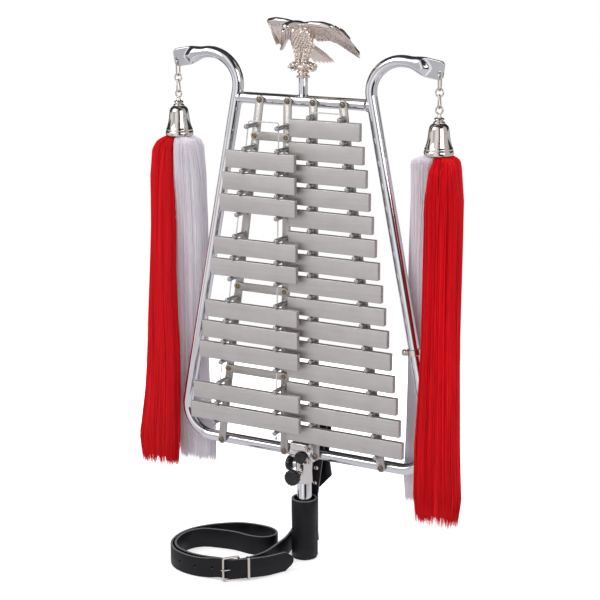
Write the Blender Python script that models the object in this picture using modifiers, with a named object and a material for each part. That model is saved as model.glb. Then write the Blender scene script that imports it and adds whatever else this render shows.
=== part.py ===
"""Bell lyra with its plumes, eagle finial, clamp stem, leather cup and strap.

Metres, +Z up. The origin is the centre of the leather cup's base. The note bars face -Y, and the hoop's tubes
lie in the plane y = 0. Each piece is one named object, with a closed body of its own.
"""
import math

import bmesh
import bpy
from mathutils import Matrix, Vector

# Running gap between pieces that only rest on each other
GAP = 0.0003

# Note bars
BAR_WIDTH = 0.025
BAR_THICKNESS = 0.008
BAR_PITCH = 0.032
NATURAL_COUNT = 15
MIDDLE_NATURAL = 8
MIDDLE_Z = 0.4255
NATURAL_LEFT = -0.009
NATURAL_LEFT_STEP = -0.0005
NATURAL_RIGHT = 0.1017
NATURAL_RIGHT_STEP = 0.005
ACCIDENTAL_PLACES = (5.5, 4.5, 3.5, 1.5, 0.5, -1.5, -2.5, -3.5, -5.5, -6.5)
ACCIDENTAL_LEFT = -0.136
ACCIDENTAL_LEFT_SLOPE = 0.1745
ACCIDENTAL_RIGHT = 0.0095
ACCIDENTAL_RIGHT_SLOPE = -0.015

# Hoop frame
TUBE_RADIUS = 0.00825
CROSS_Z = 0.6848
BOTTOM_Z = 0.1659
SIDE_X = 0.1608
SIDE_SLOPE = 0.199
CORNER_RADIUS = 0.045
ARM_SHOULDER_RISE = 0.010
ARM_SHOULDER_PULL = 0.030
ARM_CREST_X = 0.153
ARM_CREST_Z = 0.7474
ARM_CREST_PULL_IN = 0.026
ARM_CREST_PULL_OUT = 0.014
PLATE_PULL = (0.012, -0.0018)
PLATE_START_X = 0.186
PLATE_END_X = 0.214
PLATE_CENTRE_Z = 0.7395
PLATE_START_RISE = 0.0015
PLATE_END_DROP = 0.0035
PLATE_PRESS_BEFORE = 0.014
PLATE_PRESS_AFTER = 0.008
PLATE_ROUND_LENGTH = 0.009
PLATE_ROUND_SHARE = 0.38
PLATE_HEIGHT = 0.0265
PLATE_THICKNESS = 0.004
PLATE_HOLE_X = 0.2085
PLATE_HOLE_Z = 0.7345
PLATE_HOLE_RADIUS = 0.0026
FINIAL_STEM_RADIUS = 0.00635
FINIAL_STEM_TOP = 0.7175

# Rails, posts, ties and cords
RAIL_WIDTH = 0.0125
RAIL_THICKNESS = 0.003
RAIL_SPACER = 0.0013
RAIL_SPACER_RADIUS = 0.004
SCREW_HEAD_RADIUS = 0.0035
SCREW_HEAD_HEIGHT = 0.0018
NATURAL_LIFT = 0.0055
ACCIDENTAL_LIFT = 0.0195
POST_RADIUS = 0.0031
NATURAL_POST_PROUD = 0.0027
ACCIDENTAL_POST_PROUD = 0.004
TIE_HEIGHT = 0.012
TIE_THICKNESS = 0.003
TIE_PLACES = (6.5, -0.5, -4.5)
EYELET_RADIUS = 0.0034
EYELET_HEIGHT = 0.0014
CORD_RADIUS = 0.001
CORD_CLEARANCE = 0.0005
CORD_CROSSING_RISE = 0.0075
CORD_CORNER = 0.0025
CORD_TAIL = 0.006
CORD_KNOT_RADIUS = 0.0026

# Mallet clip collar on the right side tube
CLIP_Z = 0.343
CLIP_WALL = 0.0026
CLIP_HEIGHT = 0.009
CLIP_BOSS_RADIUS = 0.003
CLIP_BOSS_LENGTH = 0.007
CLIP_KNOB_RADIUS = 0.0042
CLIP_KNOB_LENGTH = 0.005

# Clamp casting and stem
CLAMP_HALF_WIDTH = 0.0175
SADDLE_WALL = 0.005
SADDLE_CLEARANCE = 0.0004
HOOD_FRONT = -0.020
HOOD_LOW = 0.1718
HOOD_HIGH = 0.1842
HOOD_INSET = 0.0004
HOOD_BACK = -0.002
HOOD_EDGE = 0.0025
SHOULDER_RADIUS = 0.0132
SHOULDER_SINK = 0.006
SHOULDER_BELOW_LUG = 0.004
LUG_INNER_X = 0.004
FRONT_BOSS_RADIUS = 0.0048
FRONT_BOSS_FRONT = -0.0185
CLAMP_SCREW_HOLE_END = -0.004
HEIGHT_SCREW_HOLE_END = -0.010
TILT_SCREW_HOLE_END = -0.0118
HOLE_START = -0.04
SLEEVE_RADIUS = 0.0128
SLEEVE_LOW = 0.1187
SLEEVE_BORE_TOP = 0.150
LUG_RADIUS = 0.0055
LUG_PROUD = 0.0015
LUG_Z = 0.1445
LOWER_TUBE_RADIUS = 0.011
LOWER_TUBE_TOP = 0.148
SLOT_WIDTH = 0.003
SLOT_DEPTH = 0.0025
SLOT_LENGTH = 0.040
SLOT_BELOW_TOP = 0.040
SLOT_HEADING = math.radians(-118.0)
TUBE_EDGE = 0.0012
HEIGHT_KNOB_Z = 0.1365
HEIGHT_KNOB_RADIUS = 0.0120
HEIGHT_KNOB_THICKNESS = 0.0095
HEIGHT_KNOB_BACK = -0.032
HEIGHT_SCREW_LENGTH = 0.0204
CLAMP_KNOB_X = 0.004
CLAMP_KNOB_Z = 0.1625
CLAMP_KNOB_RADIUS = 0.0093
CLAMP_KNOB_THICKNESS = 0.006
CLAMP_KNOB_BACK = -0.0165
CLAMP_SCREW_LENGTH = 0.0035
TILT_KNOB_RADIUS = 0.0118
TILT_KNOB_THICKNESS = 0.0068
TILT_KNOB_INNER = 0.0206
TILT_SCREW_LENGTH = 0.0080
KNOB_SCREW_RADIUS = 0.0022
KNOB_FLUTES = 14
KNOB_FLUTE_DEPTH = 0.045
KNOB_CHAMFER = 0.0012
KNOB_CROWN_LOW = 0.0022
KNOB_CROWN_SHARE = 0.93
KNOB_FACE_SHARE = 0.86
KNOB_NECK_SHARE = 0.55
KNOB_NECK_LENGTH = 0.0012
KNOB_OVERLAP = 0.001

# Leather cup and back strap
CUP_RADIUS = 0.0195
CUP_HEIGHT = 0.0937
CUP_MOUTH_RADIUS = 0.0158
CUP_FLOOR = 0.008
CUP_SEAT_DEPTH = 0.022
CUP_MOUTH_DEPTH = 0.020
CUP_RIM_EDGE = 0.0007
CUP_FOOT_EDGE = 0.0012
BACK_STRAP_WIDTH = 0.023
BACK_STRAP_THICKNESS = 0.003
BACK_STRAP_LOW = 0.036
BACK_STRAP_HIGH = 0.222
BACK_FOLD_RADIUS = 0.005
FLAP_LOW = 0.111
FLAP_SLANT = 0.010
# Flap behind the strip, below the fold: x, set back and height
FLAP_PATH = ((0.0165, 0.001, 0.192), (0.0125, 0.002, 0.166), (0.0178, 0.003, FLAP_LOW))
BACK_STRAP_LEAN = 0.14
BACK_STRAP_STRAIGHT = 0.02
RIVET_RADIUS = 0.0032
RIVET_HEIGHT = 0.0014
RIVET_TIP_SHARE = 0.6
RIVET_SINK = 0.001
RIVET_PLACES = ((0.0069, 0.111), (0.0094, 0.1353))

# Carrying strap, on edge on the floor
STRAP_HEIGHT = 0.030
STRAP_THICKNESS = 0.0036
BUCKLE_LIFT = 0.0042
# Route of the strap's middle, from the cup's back to the tongue: x, y, height of its lower edge
STRAP_ROUTE = (
    (0.009, 0.0250, 0.018), (-0.002, 0.0250, 0.017), (-0.0130, 0.0254, 0.014), (-0.0228, 0.0195, 0.009),
    (-0.0262, 0.0060, 0.003), (-0.0250, -0.016, 0.0), (-0.0240, -0.042, 0.0), (-0.0245, -0.072, 0.0),
    (-0.031, -0.094, 0.0), (-0.041, -0.113, 0.0), (-0.056, -0.1245, 0.0), (-0.074, -0.1265, 0.0),
    (-0.094, -0.1305, 0.0),
    (-0.114, -0.1315, 0.0), (-0.132, -0.1278, 0.0), (-0.149, -0.1200, 0.0), (-0.1625, -0.104, 0.0),
    (-0.1688, -0.080, 0.0), (-0.1655, -0.0585, 0.0), (-0.1525, -0.0425, 0.0), (-0.129, -0.035, 0.0),
    (-0.103, -0.031, 0.0), (-0.076, -0.033, 0.0), (-0.057, -0.029, 0.0), (-0.046, -0.0175, 0.0),
    (-0.0465, -0.003, 0.0), (-0.060, 0.008, 0.0), (-0.083, 0.011, 0.0), (-0.111, 0.006, 0.0),
    (-0.133, -0.007, 0.0), (-0.154, -0.027, 0.0), (-0.169, -0.052, 0.0), (-0.1735, -0.080, 0.0),
    (-0.167, -0.108, 0.0), (-0.150, -0.128, 0.0), (-0.130, -0.1375, 0.0), (-0.107, -0.1405, 0.0),
    (-0.086, -0.1385, 0.001), (-0.068, -0.1365, BUCKLE_LIFT), (-0.055, -0.1355, BUCKLE_LIFT),
    (-0.044, -0.131, BUCKLE_LIFT), (-0.033, -0.122, BUCKLE_LIFT), (-0.0235, -0.110, 0.003),
    (-0.0125, -0.092, 0.001), (-0.003, -0.072, 0.0), (0.0017, -0.0633, 0.0),
)
STRAP_HOLES = (34.85, 36.1, 37.5)
STRAP_HOLE_RADIUS = 0.002
TONGUE_LENGTH = 0.014
TONGUE_TIP = (0.36, 0.64)
BUCKLE_FRONT_PLACE = 38.8
BUCKLE_BACK_PLACE = 40.5
BUCKLE_WIRE = 0.0016
BUCKLE_MARGIN = 0.0008
BUCKLE_FRONT_MARGIN = 0.0026
BUCKLE_CORNER = 0.003
PRONG_RADIUS = 0.0009
PRONG_BEND = 0.005
PRONG_TIP_PLACE = BUCKLE_FRONT_PLACE + 0.75
PRONG_TIP_LIFT = 0.0015
KEEPER_PLACE = 41.4
KEEPER_WIDTH = 0.0036
KEEPER_WALL = 0.0014
KEEPER_SIDE_CLEARANCE = 0.0011
KEEPER_EDGE_CLEARANCE = 0.0008

# Plume chain, in the plane y = 0 under the arm plates
HOOK_WIRE = 0.0012
HOOK_HALF_DEPTH = 0.0042
HOOK_DROP = 0.0240
RING_WIRE = 0.0011
RING_RADIUS = 0.0055
LINK_WIRE = 0.0011
LINK_LENGTH = 0.0181
LINK_HALF_TOP = 0.0026
LINK_HALF_LOW = 0.0044
EYE_RADIUS = 0.0050
EYE_WIRE = 0.0012
EYE_NECK_LENGTH = 0.0046
EYE_NECK_RADIUS = 0.0026
EYE_NECK_OVERLAP = 0.001
BELL_HEIGHT = 0.0505
BELL_WALL = 0.0014
BELL_CROWN_WALL = 0.0012
BELL_INNER_DROP = 0.0006
# Outer radius of the bell cap, and how far down it is as a share of the bell's height
BELL_PROFILE = (
    (0.0030, 0.000), (0.0062, 0.020), (0.0072, 0.059), (0.0060, 0.103), (0.0085, 0.154),
    (0.0118, 0.218), (0.0139, 0.297), (0.0146, 0.406), (0.0152, 0.525), (0.0166, 0.653),
    (0.0186, 0.782), (0.0197, 0.881), (0.0203, 0.941), (0.0200, 1.000),
)

# Roots of the hair inside the bell: share of its height above the rim, distance from its axis,
# half width and half depth
HAIR_ROOT = ((0.713, 0.0055, 0.0045, 0.0085), (0.317, 0.0075, 0.0060, 0.0120), (0.0, 0.0075, 0.0066, 0.0140))
# Hair lobes of the plumes below the bell: drop from its rim, centre x, centre y, half width and half depth
LEFT_RED = (
    (0.004, -0.2235, 0.000, 0.0140, 0.0230), (0.012, -0.2250, -0.001, 0.0158, 0.0225),
    (0.034, -0.2315, -0.004, 0.0165, 0.0190), (0.069, -0.2350, -0.007, 0.0175, 0.0185),
    (0.147, -0.2370, -0.008, 0.0182, 0.0180), (0.252, -0.2425, -0.008, 0.0200, 0.0180),
    (0.333, -0.2460, -0.008, 0.0215, 0.0180), (0.414, -0.2510, -0.008, 0.0240, 0.0180),
    (0.469, -0.2510, -0.008, 0.0355, 0.0180), (0.512, -0.2505, -0.008, 0.0325, 0.0150),
)
LEFT_WHITE = (
    (0.004, -0.1935, 0.001, 0.0140, 0.0230), (0.012, -0.1930, 0.004, 0.0148, 0.0225),
    (0.034, -0.1980, 0.011, 0.0180, 0.0200), (0.069, -0.2000, 0.016, 0.0235, 0.0200),
    (0.147, -0.2055, 0.022, 0.0270, 0.0190), (0.252, -0.2125, 0.0295, 0.0270, 0.0175),
    (0.333, -0.2140, 0.0305, 0.0270, 0.0175), (0.414, -0.2130, 0.0305, 0.0290, 0.0175),
    (0.469, -0.2070, 0.0305, 0.0330, 0.0175), (0.510, -0.2060, 0.0305, 0.0320, 0.0150),
)
RIGHT_RED = (
    (0.004, 0.2235, -0.001, 0.0140, 0.0230), (0.012, 0.2245, -0.004, 0.0158, 0.0225),
    (0.034, 0.2215, -0.010, 0.0190, 0.0210), (0.069, 0.2220, -0.011, 0.0245, 0.0230),
    (0.155, 0.2235, -0.013, 0.0262, 0.0230), (0.253, 0.2265, -0.022, 0.0270, 0.0210),
    (0.327, 0.2285, -0.0285, 0.0295, 0.0190), (0.404, 0.2280, -0.0305, 0.0320, 0.0185),
    (0.481, 0.2300, -0.0305, 0.0350, 0.0185), (0.514, 0.2290, -0.0305, 0.0320, 0.0160),
)
RIGHT_WHITE = (
    (0.004, 0.1935, 0.001, 0.0138, 0.0220), (0.012, 0.1925, 0.007, 0.0140, 0.0190),
    (0.034, 0.1885, 0.0170, 0.0165, 0.0150), (0.069, 0.1830, 0.022, 0.0185, 0.0140),
    (0.155, 0.1755, 0.0250, 0.0195, 0.0140), (0.253, 0.1760, 0.0255, 0.0195, 0.0140),
    (0.327, 0.1755, 0.0255, 0.0190, 0.0140), (0.404, 0.1735, 0.0255, 0.0175, 0.0140),
    (0.481, 0.1665, 0.0255, 0.0140, 0.0130), (0.508, 0.1660, 0.0255, 0.0110, 0.0100),
)
LOBE_SIDES = 22
LOBE_FLUTES = 7
LOBE_FLUTE_DEPTH = 0.055
LOBE_FLUTES_START = 0.016
LOBE_FLUTES_FULL = 0.044
LOBE_TWIST = 0.25
LOBE_TIP_WAVE = 0.004
LOBE_TIP_DROP = 0.005

# Eagle finial
FINIAL_NECK_RADIUS = 0.0085
FINIAL_NECK_HEIGHT = 0.014
EAGLE_WING_THICKNESS = 0.0034
EAGLE_WING_CROWN = (0.0, 0.003, 0.003)
EAGLE_PERCH = ((0.0, 0.0, 0.738), (0.021, 0.012, 0.0072))
EAGLE_SCROLL_X = 0.0165
EAGLE_SCROLL_Z = 0.736
EAGLE_SCROLL_RADIUS = 0.0052
EAGLE_SCROLL_HALF_DEPTH = 0.009
EAGLE_ANKLE = (0.0062, -0.004, 0.742)
EAGLE_ANKLE_RADIUS = 0.0046
EAGLE_HIP = (0.0088, 0.000, 0.764)
EAGLE_HIP_RADIUS = 0.0080
# Rounded masses of the bird: centre, half sizes and turns
EAGLE_BODY = ((0.0, 0.002, 0.7735), (0.0128, 0.0150, 0.0215), (0.45, 0.0, 0.0))
EAGLE_NECK = ((-0.0045, -0.019, 0.7935), (0.0076, 0.0170, 0.0066), (-0.05, 0.0, -0.3))
EAGLE_HEAD = ((-0.0095, -0.0325, 0.7940), (0.0058, 0.0078, 0.0058), (0.35, 0.0, -0.25))
EAGLE_BEAK = ((-0.0112, -0.0380, 0.7920), (-0.0132, -0.0422, 0.7860))
EAGLE_BEAK_RADII = (0.0028, 0.0006)
EAGLE_TAIL = ((0.0, 0.010, 0.7620), (0.005, 0.056, 0.7350))
EAGLE_TAIL_RADII = (0.0085, 0.0135)
EAGLE_TAIL_FLATTEN = (1.15, 1.0, 0.34)
EAGLE_TAIL_SLOPE = math.radians(-30.4)
EAGLE_TAIL_MIDDLE = (0.0025, 0.033, 0.7485)
# Wing sheet, from the body outwards: leading edge point and trailing edge point (x, y, z)
WING_STATIONS = (
    ((0.004, -0.012, 0.7925), (0.006, 0.010, 0.7680)),
    ((0.020, -0.015, 0.7960), (0.018, 0.017, 0.7680)),
    ((0.036, -0.014, 0.7968), (0.031, 0.022, 0.7690)),
    ((0.049, -0.011, 0.7955), (0.040, 0.027, 0.7670)),
    ((0.057, 0.003, 0.7900), (0.048, 0.035, 0.7610)),
    ((0.062, 0.021, 0.7775), (0.056, 0.043, 0.7545)),
    ((0.0655, 0.044, 0.7530), (0.0625, 0.0475, 0.7490)),
)

RED_HAIR = ("red hair", (0.62, 0.01, 0.02), 0.55, 0.0)
WHITE_HAIR = ("white hair", (0.70, 0.68, 0.71), 0.55, 0.0)
CHROME = ("chrome", (0.72, 0.71, 0.72), 0.08, 1.0)
NICKEL = ("nickel", (0.62, 0.57, 0.52), 0.22, 1.0)
BAR_METAL = ("satin bar metal", (0.46, 0.44, 0.42), 0.38, 1.0)
RAIL_METAL = ("zinc plated steel", (0.40, 0.38, 0.37), 0.40, 1.0)
LEATHER = ("black leather", (0.022, 0.018, 0.022), 0.55, 0.0)
KNOB_PLASTIC = ("black knob plastic", (0.030, 0.028, 0.032), 0.45, 0.0)
CORD_FIBRE = ("pale cord", (0.55, 0.54, 0.53), 0.8, 0.0)
BRASS = ("brass", (0.55, 0.38, 0.16), 0.30, 1.0)


def clear_scene():
    """Remove every object of the open scene."""
    for obj in list(bpy.data.objects):
        bpy.data.objects.remove(obj, do_unlink=True)


def collection(name):
    """Make a collection under the scene."""
    group = bpy.data.collections.new(name)
    bpy.context.scene.collection.children.link(group)
    return group


clear_scene()
PARTS = collection("bell_lyra")
TOOLS = collection("cutters")


def material(look):
    """Give the named Principled material, made on first use."""
    name, colour, roughness, metallic = look
    found = bpy.data.materials.get(name)
    if found:
        return found
    made = bpy.data.materials.new(name)
    made.use_nodes = True
    shader = made.node_tree.nodes["Principled BSDF"]
    shader.inputs["Base Color"].default_value = (*colour, 1.0)
    shader.inputs["Roughness"].default_value = roughness
    shader.inputs["Metallic"].default_value = metallic
    return made


def as_object(name, mesh, look):
    """Put a mesh in the parts collection under its node's name."""
    obj = bpy.data.objects.new(name, mesh)
    PARTS.objects.link(obj)
    mesh.materials.clear()
    mesh.materials.append(material(look))
    mesh.shade_smooth()
    mesh.set_sharp_from_angle(angle=math.radians(35.0))
    return obj


def finished(name, bm, look):
    """Turn a bmesh into a part."""
    mesh = bpy.data.meshes.new(name)
    bm.to_mesh(mesh)
    bm.free()
    return as_object(name, mesh, look)


def as_tool(obj):
    """Keep an object as a Boolean operand only."""
    obj.hide_render = True
    obj.display_type = 'WIRE'
    PARTS.objects.unlink(obj)
    TOOLS.objects.link(obj)
    return obj


def boolean(target, tool, operation):
    """Join a tool to the target or cut it away."""
    step = target.modifiers.new(operation.lower(), 'BOOLEAN')
    step.operation = operation
    step.solver = 'EXACT'
    step.object = tool
    return target


def join(target, tool):
    """Join a tool's body to the target."""
    return boolean(target, as_tool(tool), 'UNION')


def cut(target, tool):
    """Cut a tool's body out of the target."""
    return boolean(target, tool, 'DIFFERENCE')


def along(start, end):
    """Matrix that lays +Z from start to end, centred between them."""
    start = Vector(start)
    end = Vector(end)
    turn = (end - start).to_track_quat('Z', 'Y').to_matrix().to_4x4()
    return Matrix.Translation((start + end) / 2.0) @ turn


def add_rod(bm, radius, start, end, sides=16, end_radius=None):
    """Add a closed rod or cone between two points."""
    length = (Vector(end) - Vector(start)).length
    bmesh.ops.create_cone(
        bm, cap_ends=True, segments=sides, radius1=radius,
        radius2=radius if end_radius is None else end_radius, depth=length, matrix=along(start, end))


def add_box(bm, low, high):
    """Add a box between two corners."""
    low = Vector(low)
    high = Vector(high)
    size = Matrix.Diagonal((*(high - low), 1.0))
    bmesh.ops.create_cube(bm, size=1.0, matrix=Matrix.Translation((low + high) / 2.0) @ size)


def rod(name, radius, start, end, look, sides=16, end_radius=None):
    """Make a rod as an object."""
    bm = bmesh.new()
    add_rod(bm, radius, start, end, sides, end_radius)
    return finished(name, bm, look)


def box(name, low, high, look):
    """Make a box as an object."""
    bm = bmesh.new()
    add_box(bm, low, high)
    return finished(name, bm, look)


def ellipsoid(name, centre, radii, look, turn=(0.0, 0.0, 0.0), segments=12, rings=8):
    """Make an ellipsoid with its own turn, in radians about X, Y and Z."""
    bm = bmesh.new()
    rotation = Matrix.Rotation(turn[2], 4, 'Z') @ Matrix.Rotation(turn[1], 4, 'Y')
    rotation = rotation @ Matrix.Rotation(turn[0], 4, 'X')
    matrix = Matrix.Translation(centre) @ rotation @ Matrix.Diagonal((*radii, 1.0))
    bmesh.ops.create_uvsphere(bm, u_segments=segments, v_segments=rings, radius=1.0, matrix=matrix)
    return finished(name, bm, look)


def turned(name, profile, centre, look, sides=24):
    """Turn a profile of radius and height about +Z at a centre, from its top down its outer side."""
    bm = bmesh.new()
    previous = None
    for radius, height in profile:
        vert = bm.verts.new((radius, 0.0, height))
        if previous is not None:
            bm.edges.new((previous, vert))
        previous = vert
    obj = finished(name, bm, look)
    obj.location = centre
    screw = obj.modifiers.new("turn", 'SCREW')
    screw.axis = 'Z'
    screw.steps = sides
    screw.render_steps = sides
    screw.use_merge_vertices = True
    screw.merge_threshold = 0.00002
    return obj


def swept(name, points, radius, look, sides_step=2, closed=False):
    """Make a round wire or tube through points, as a mesh with welded caps."""
    curve = bpy.data.curves.new(name, 'CURVE')
    curve.dimensions = '3D'
    curve.bevel_depth = radius
    curve.bevel_resolution = sides_step
    curve.use_fill_caps = not closed
    spline = curve.splines.new('POLY')
    spline.points.add(len(points) - 1)
    for knot, point in zip(spline.points, points):
        knot.co = (*point, 1.0)
    spline.use_cyclic_u = closed
    holder = bpy.data.objects.new(name + "_path", curve)
    PARTS.objects.link(holder)
    bpy.context.view_layer.update()
    mesh = bpy.data.meshes.new_from_object(holder.evaluated_get(bpy.context.evaluated_depsgraph_get()))
    bm = bmesh.new()
    bm.from_mesh(mesh)
    bmesh.ops.remove_doubles(bm, verts=bm.verts, dist=0.00002)
    bmesh.ops.recalc_face_normals(bm, faces=bm.faces)
    bpy.data.objects.remove(holder, do_unlink=True)
    bpy.data.meshes.remove(mesh)
    bpy.data.curves.remove(curve)
    return finished(name, bm, look)


def smooth_route(points, parts):
    """Points of a smooth curve through the given ones, each span in equal parts."""
    points = [Vector(point) for point in points]
    padded = [points[0] * 2.0 - points[1]] + points + [points[-1] * 2.0 - points[-2]]
    route = []
    for i in range(len(points) - 1):
        a, b, c, d = padded[i:i + 4]
        for j in range(parts):
            t = j / parts
            route.append(0.5 * (2.0 * b + (c - a) * t + (2.0 * a - 5.0 * b + 4.0 * c - d) * t * t
                                + (3.0 * b - a - 3.0 * c + d) * t * t * t))
    route.append(points[-1])
    return route


def rail_front():
    """The y of the rails' front face."""
    return -(TUBE_RADIUS + RAIL_SPACER + RAIL_THICKNESS)


def side_tube_x(z):
    """Distance of a side tube's axis from the middle plane."""
    return SIDE_X - SIDE_SLOPE * (z - MIDDLE_Z)


# Middle line of each rail: x at the middle bar's height, and its slope up the frame
RAILS = {
    "outer_accidental_rail": (-0.1002, 0.139),
    "inner_accidental_rail": (-0.0234, 0.0172),
    "inner_natural_rail": (0.0234, -0.0057),
    "outer_natural_rail": (0.1003, -0.1222),
}


def rail_x(name, z):
    """The x of a rail's middle line at a height."""
    middle, slope = RAILS[name]
    return middle + slope * (z - MIDDLE_Z)


def is_natural(name):
    """Whether a rail carries the natural row."""
    return "natural" in name


def bar_back(natural):
    """The y of the back face of a row of bars."""
    return rail_front() - (NATURAL_LIFT if natural else ACCIDENTAL_LIFT)


def cord_y(natural):
    """The y of a row's cord, in the middle of its bars' thickness."""
    return bar_back(natural) - BAR_THICKNESS / 2.0


def post_heights(natural):
    """Heights of the posts of a row, one between each two bars and one past each end."""
    if natural:
        first = MIDDLE_NATURAL - 0.5
        return [MIDDLE_Z + BAR_PITCH * (first - i) for i in range(NATURAL_COUNT + 1)]
    return [MIDDLE_Z + BAR_PITCH * (7 - i) for i in range(NATURAL_COUNT)]


def cord_ways():
    """Make one cutter along each rail, for the cord's holes through bars and posts."""
    ways = {}
    for name in RAILS:
        y = cord_y(is_natural(name))
        low = BOTTOM_Z
        high = CROSS_Z
        way = rod(name + "_cord_way", CORD_RADIUS + CORD_CLEARANCE, (rail_x(name, low), y, low),
                  (rail_x(name, high), y, high), RAIL_METAL, sides=6)
        ways[name] = as_tool(way)
    return ways


def make_bar(name, left, right, z, natural, ways):
    """Make one note bar with its two cord holes."""
    back = bar_back(natural)
    half = BAR_WIDTH / 2.0
    bar = box(name, (left, back - BAR_THICKNESS, z - half), (right, back, z + half), BAR_METAL)
    for rail, way in ways.items():
        if is_natural(rail) == natural:
            cut(bar, way)
    return bar


def make_bars(ways):
    """Make both rows of note bars, each bar a node."""
    for k in range(1, NATURAL_COUNT + 1):
        z = MIDDLE_Z + BAR_PITCH * (MIDDLE_NATURAL - k)
        left = NATURAL_LEFT + NATURAL_LEFT_STEP * (k - 1)
        right = NATURAL_RIGHT + NATURAL_RIGHT_STEP * (k - 1)
        make_bar("natural_bar_%02d" % k, left, right, z, True, ways)
    for k, place in enumerate(ACCIDENTAL_PLACES, 1):
        z = MIDDLE_Z + BAR_PITCH * place
        left = ACCIDENTAL_LEFT + ACCIDENTAL_LEFT_SLOPE * (z - MIDDLE_Z)
        right = ACCIDENTAL_RIGHT + ACCIDENTAL_RIGHT_SLOPE * (z - MIDDLE_Z)
        make_bar("accidental_bar_%02d" % k, left, right, z, False, ways)


def strip_mesh(start, end, width, front, thickness, arc_steps=8):
    """A flat strip with round ends in a plane of constant y, as a bmesh."""
    start = Vector(start)
    end = Vector(end)
    heading = math.atan2(end.y - start.y, end.x - start.x)
    bm = bmesh.new()
    verts = []
    for centre, base in ((start, heading + math.pi / 2.0), (end, heading - math.pi / 2.0)):
        for i in range(arc_steps + 1):
            angle = base + math.pi * i / arc_steps
            verts.append(bm.verts.new((centre.x + width / 2.0 * math.cos(angle), front,
                                       centre.y + width / 2.0 * math.sin(angle))))
    face = bm.faces.new(verts)
    grown = bmesh.ops.extrude_face_region(bm, geom=[face])
    moved = [item for item in grown["geom"] if isinstance(item, bmesh.types.BMVert)]
    bmesh.ops.translate(bm, verts=moved, vec=(0.0, thickness, 0.0))
    bmesh.ops.recalc_face_normals(bm, faces=bm.faces)
    return bm


def make_rail(name, way):
    """Make a rail with its posts, end screws and spacers."""
    natural = is_natural(name)
    front = rail_front()
    ends = [(rail_x(name, z), z) for z in (BOTTOM_Z, CROSS_Z)]
    rail = finished(name, strip_mesh(ends[0], ends[1], RAIL_WIDTH, front, RAIL_THICKNESS), RAIL_METAL)
    proud = NATURAL_POST_PROUD if natural else ACCIDENTAL_POST_PROUD
    tip = bar_back(natural) - BAR_THICKNESS - proud
    bm = bmesh.new()
    for z in post_heights(natural):
        x = rail_x(name, z)
        add_rod(bm, POST_RADIUS, (x, front + RAIL_THICKNESS / 2.0, z), (x, tip, z), sides=8)
    for x, z in ends:
        add_rod(bm, SCREW_HEAD_RADIUS, (x, front + RAIL_THICKNESS / 2.0, z),
                (x, front - SCREW_HEAD_HEIGHT, z), 12)
        add_rod(bm, RAIL_SPACER_RADIUS, (x, front + RAIL_THICKNESS / 2.0, z), (x, -TUBE_RADIUS - GAP, z), 12)
    join(rail, finished(name + "_posts", bm, RAIL_METAL))
    cut(rail, way)
    return rail


def make_ties():
    """Make the strips that tie the two accidental rails, with an eyelet over each rail."""
    front = rail_front() - GAP - TIE_THICKNESS
    for i, place in enumerate(TIE_PLACES, 1):
        z = MIDDLE_Z + BAR_PITCH * place
        ends = [(rail_x(name, z), z) for name in ("outer_accidental_rail", "inner_accidental_rail")]
        strip = strip_mesh(ends[0], ends[1], TIE_HEIGHT, front, TIE_THICKNESS)
        tie = finished("rail_tie_%d" % i, strip, RAIL_METAL)
        bm = bmesh.new()
        for x, height in ends:
            middle = (x, front + TIE_THICKNESS / 2.0, height)
            add_rod(bm, EYELET_RADIUS, middle, (x, front - EYELET_HEIGHT, height), 12)
        join(tie, finished("rail_tie_eyelets_%d" % i, bm, BRASS))


def make_cord(name, inner, outer):
    """Make a cord: up the inner rail's posts, across above the top post and down the outer rail's posts."""
    natural = is_natural(inner)
    y = cord_y(natural)
    heights = post_heights(natural)
    low = heights[-1] - POST_RADIUS - CORD_TAIL
    high = heights[0] + CORD_CROSSING_RISE
    corner = CORD_CORNER
    points = [(rail_x(inner, low), y, low), (rail_x(inner, high - corner), y, high - corner)]
    direction = 1.0 if rail_x(outer, high) > rail_x(inner, high) else -1.0
    points.append((rail_x(inner, high) + direction * corner * 0.3, y, high - corner * 0.3))
    points.append((rail_x(inner, high) + direction * corner, y, high))
    points.append((rail_x(outer, high) - direction * corner, y, high))
    points.append((rail_x(outer, high) - direction * corner * 0.3, y, high - corner * 0.3))
    points += [(rail_x(outer, high - corner), y, high - corner), (rail_x(outer, low), y, low)]
    cord = swept(name, points, CORD_RADIUS, CORD_FIBRE, sides_step=1)
    knots = bmesh.new()
    for rail in (inner, outer):
        place = Matrix.Translation((rail_x(rail, low), y, low))
        bmesh.ops.create_uvsphere(knots, u_segments=8, v_segments=6, radius=CORD_KNOT_RADIUS, matrix=place)
    return join(cord, finished(name + "_knots", knots, CORD_FIBRE))


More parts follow.
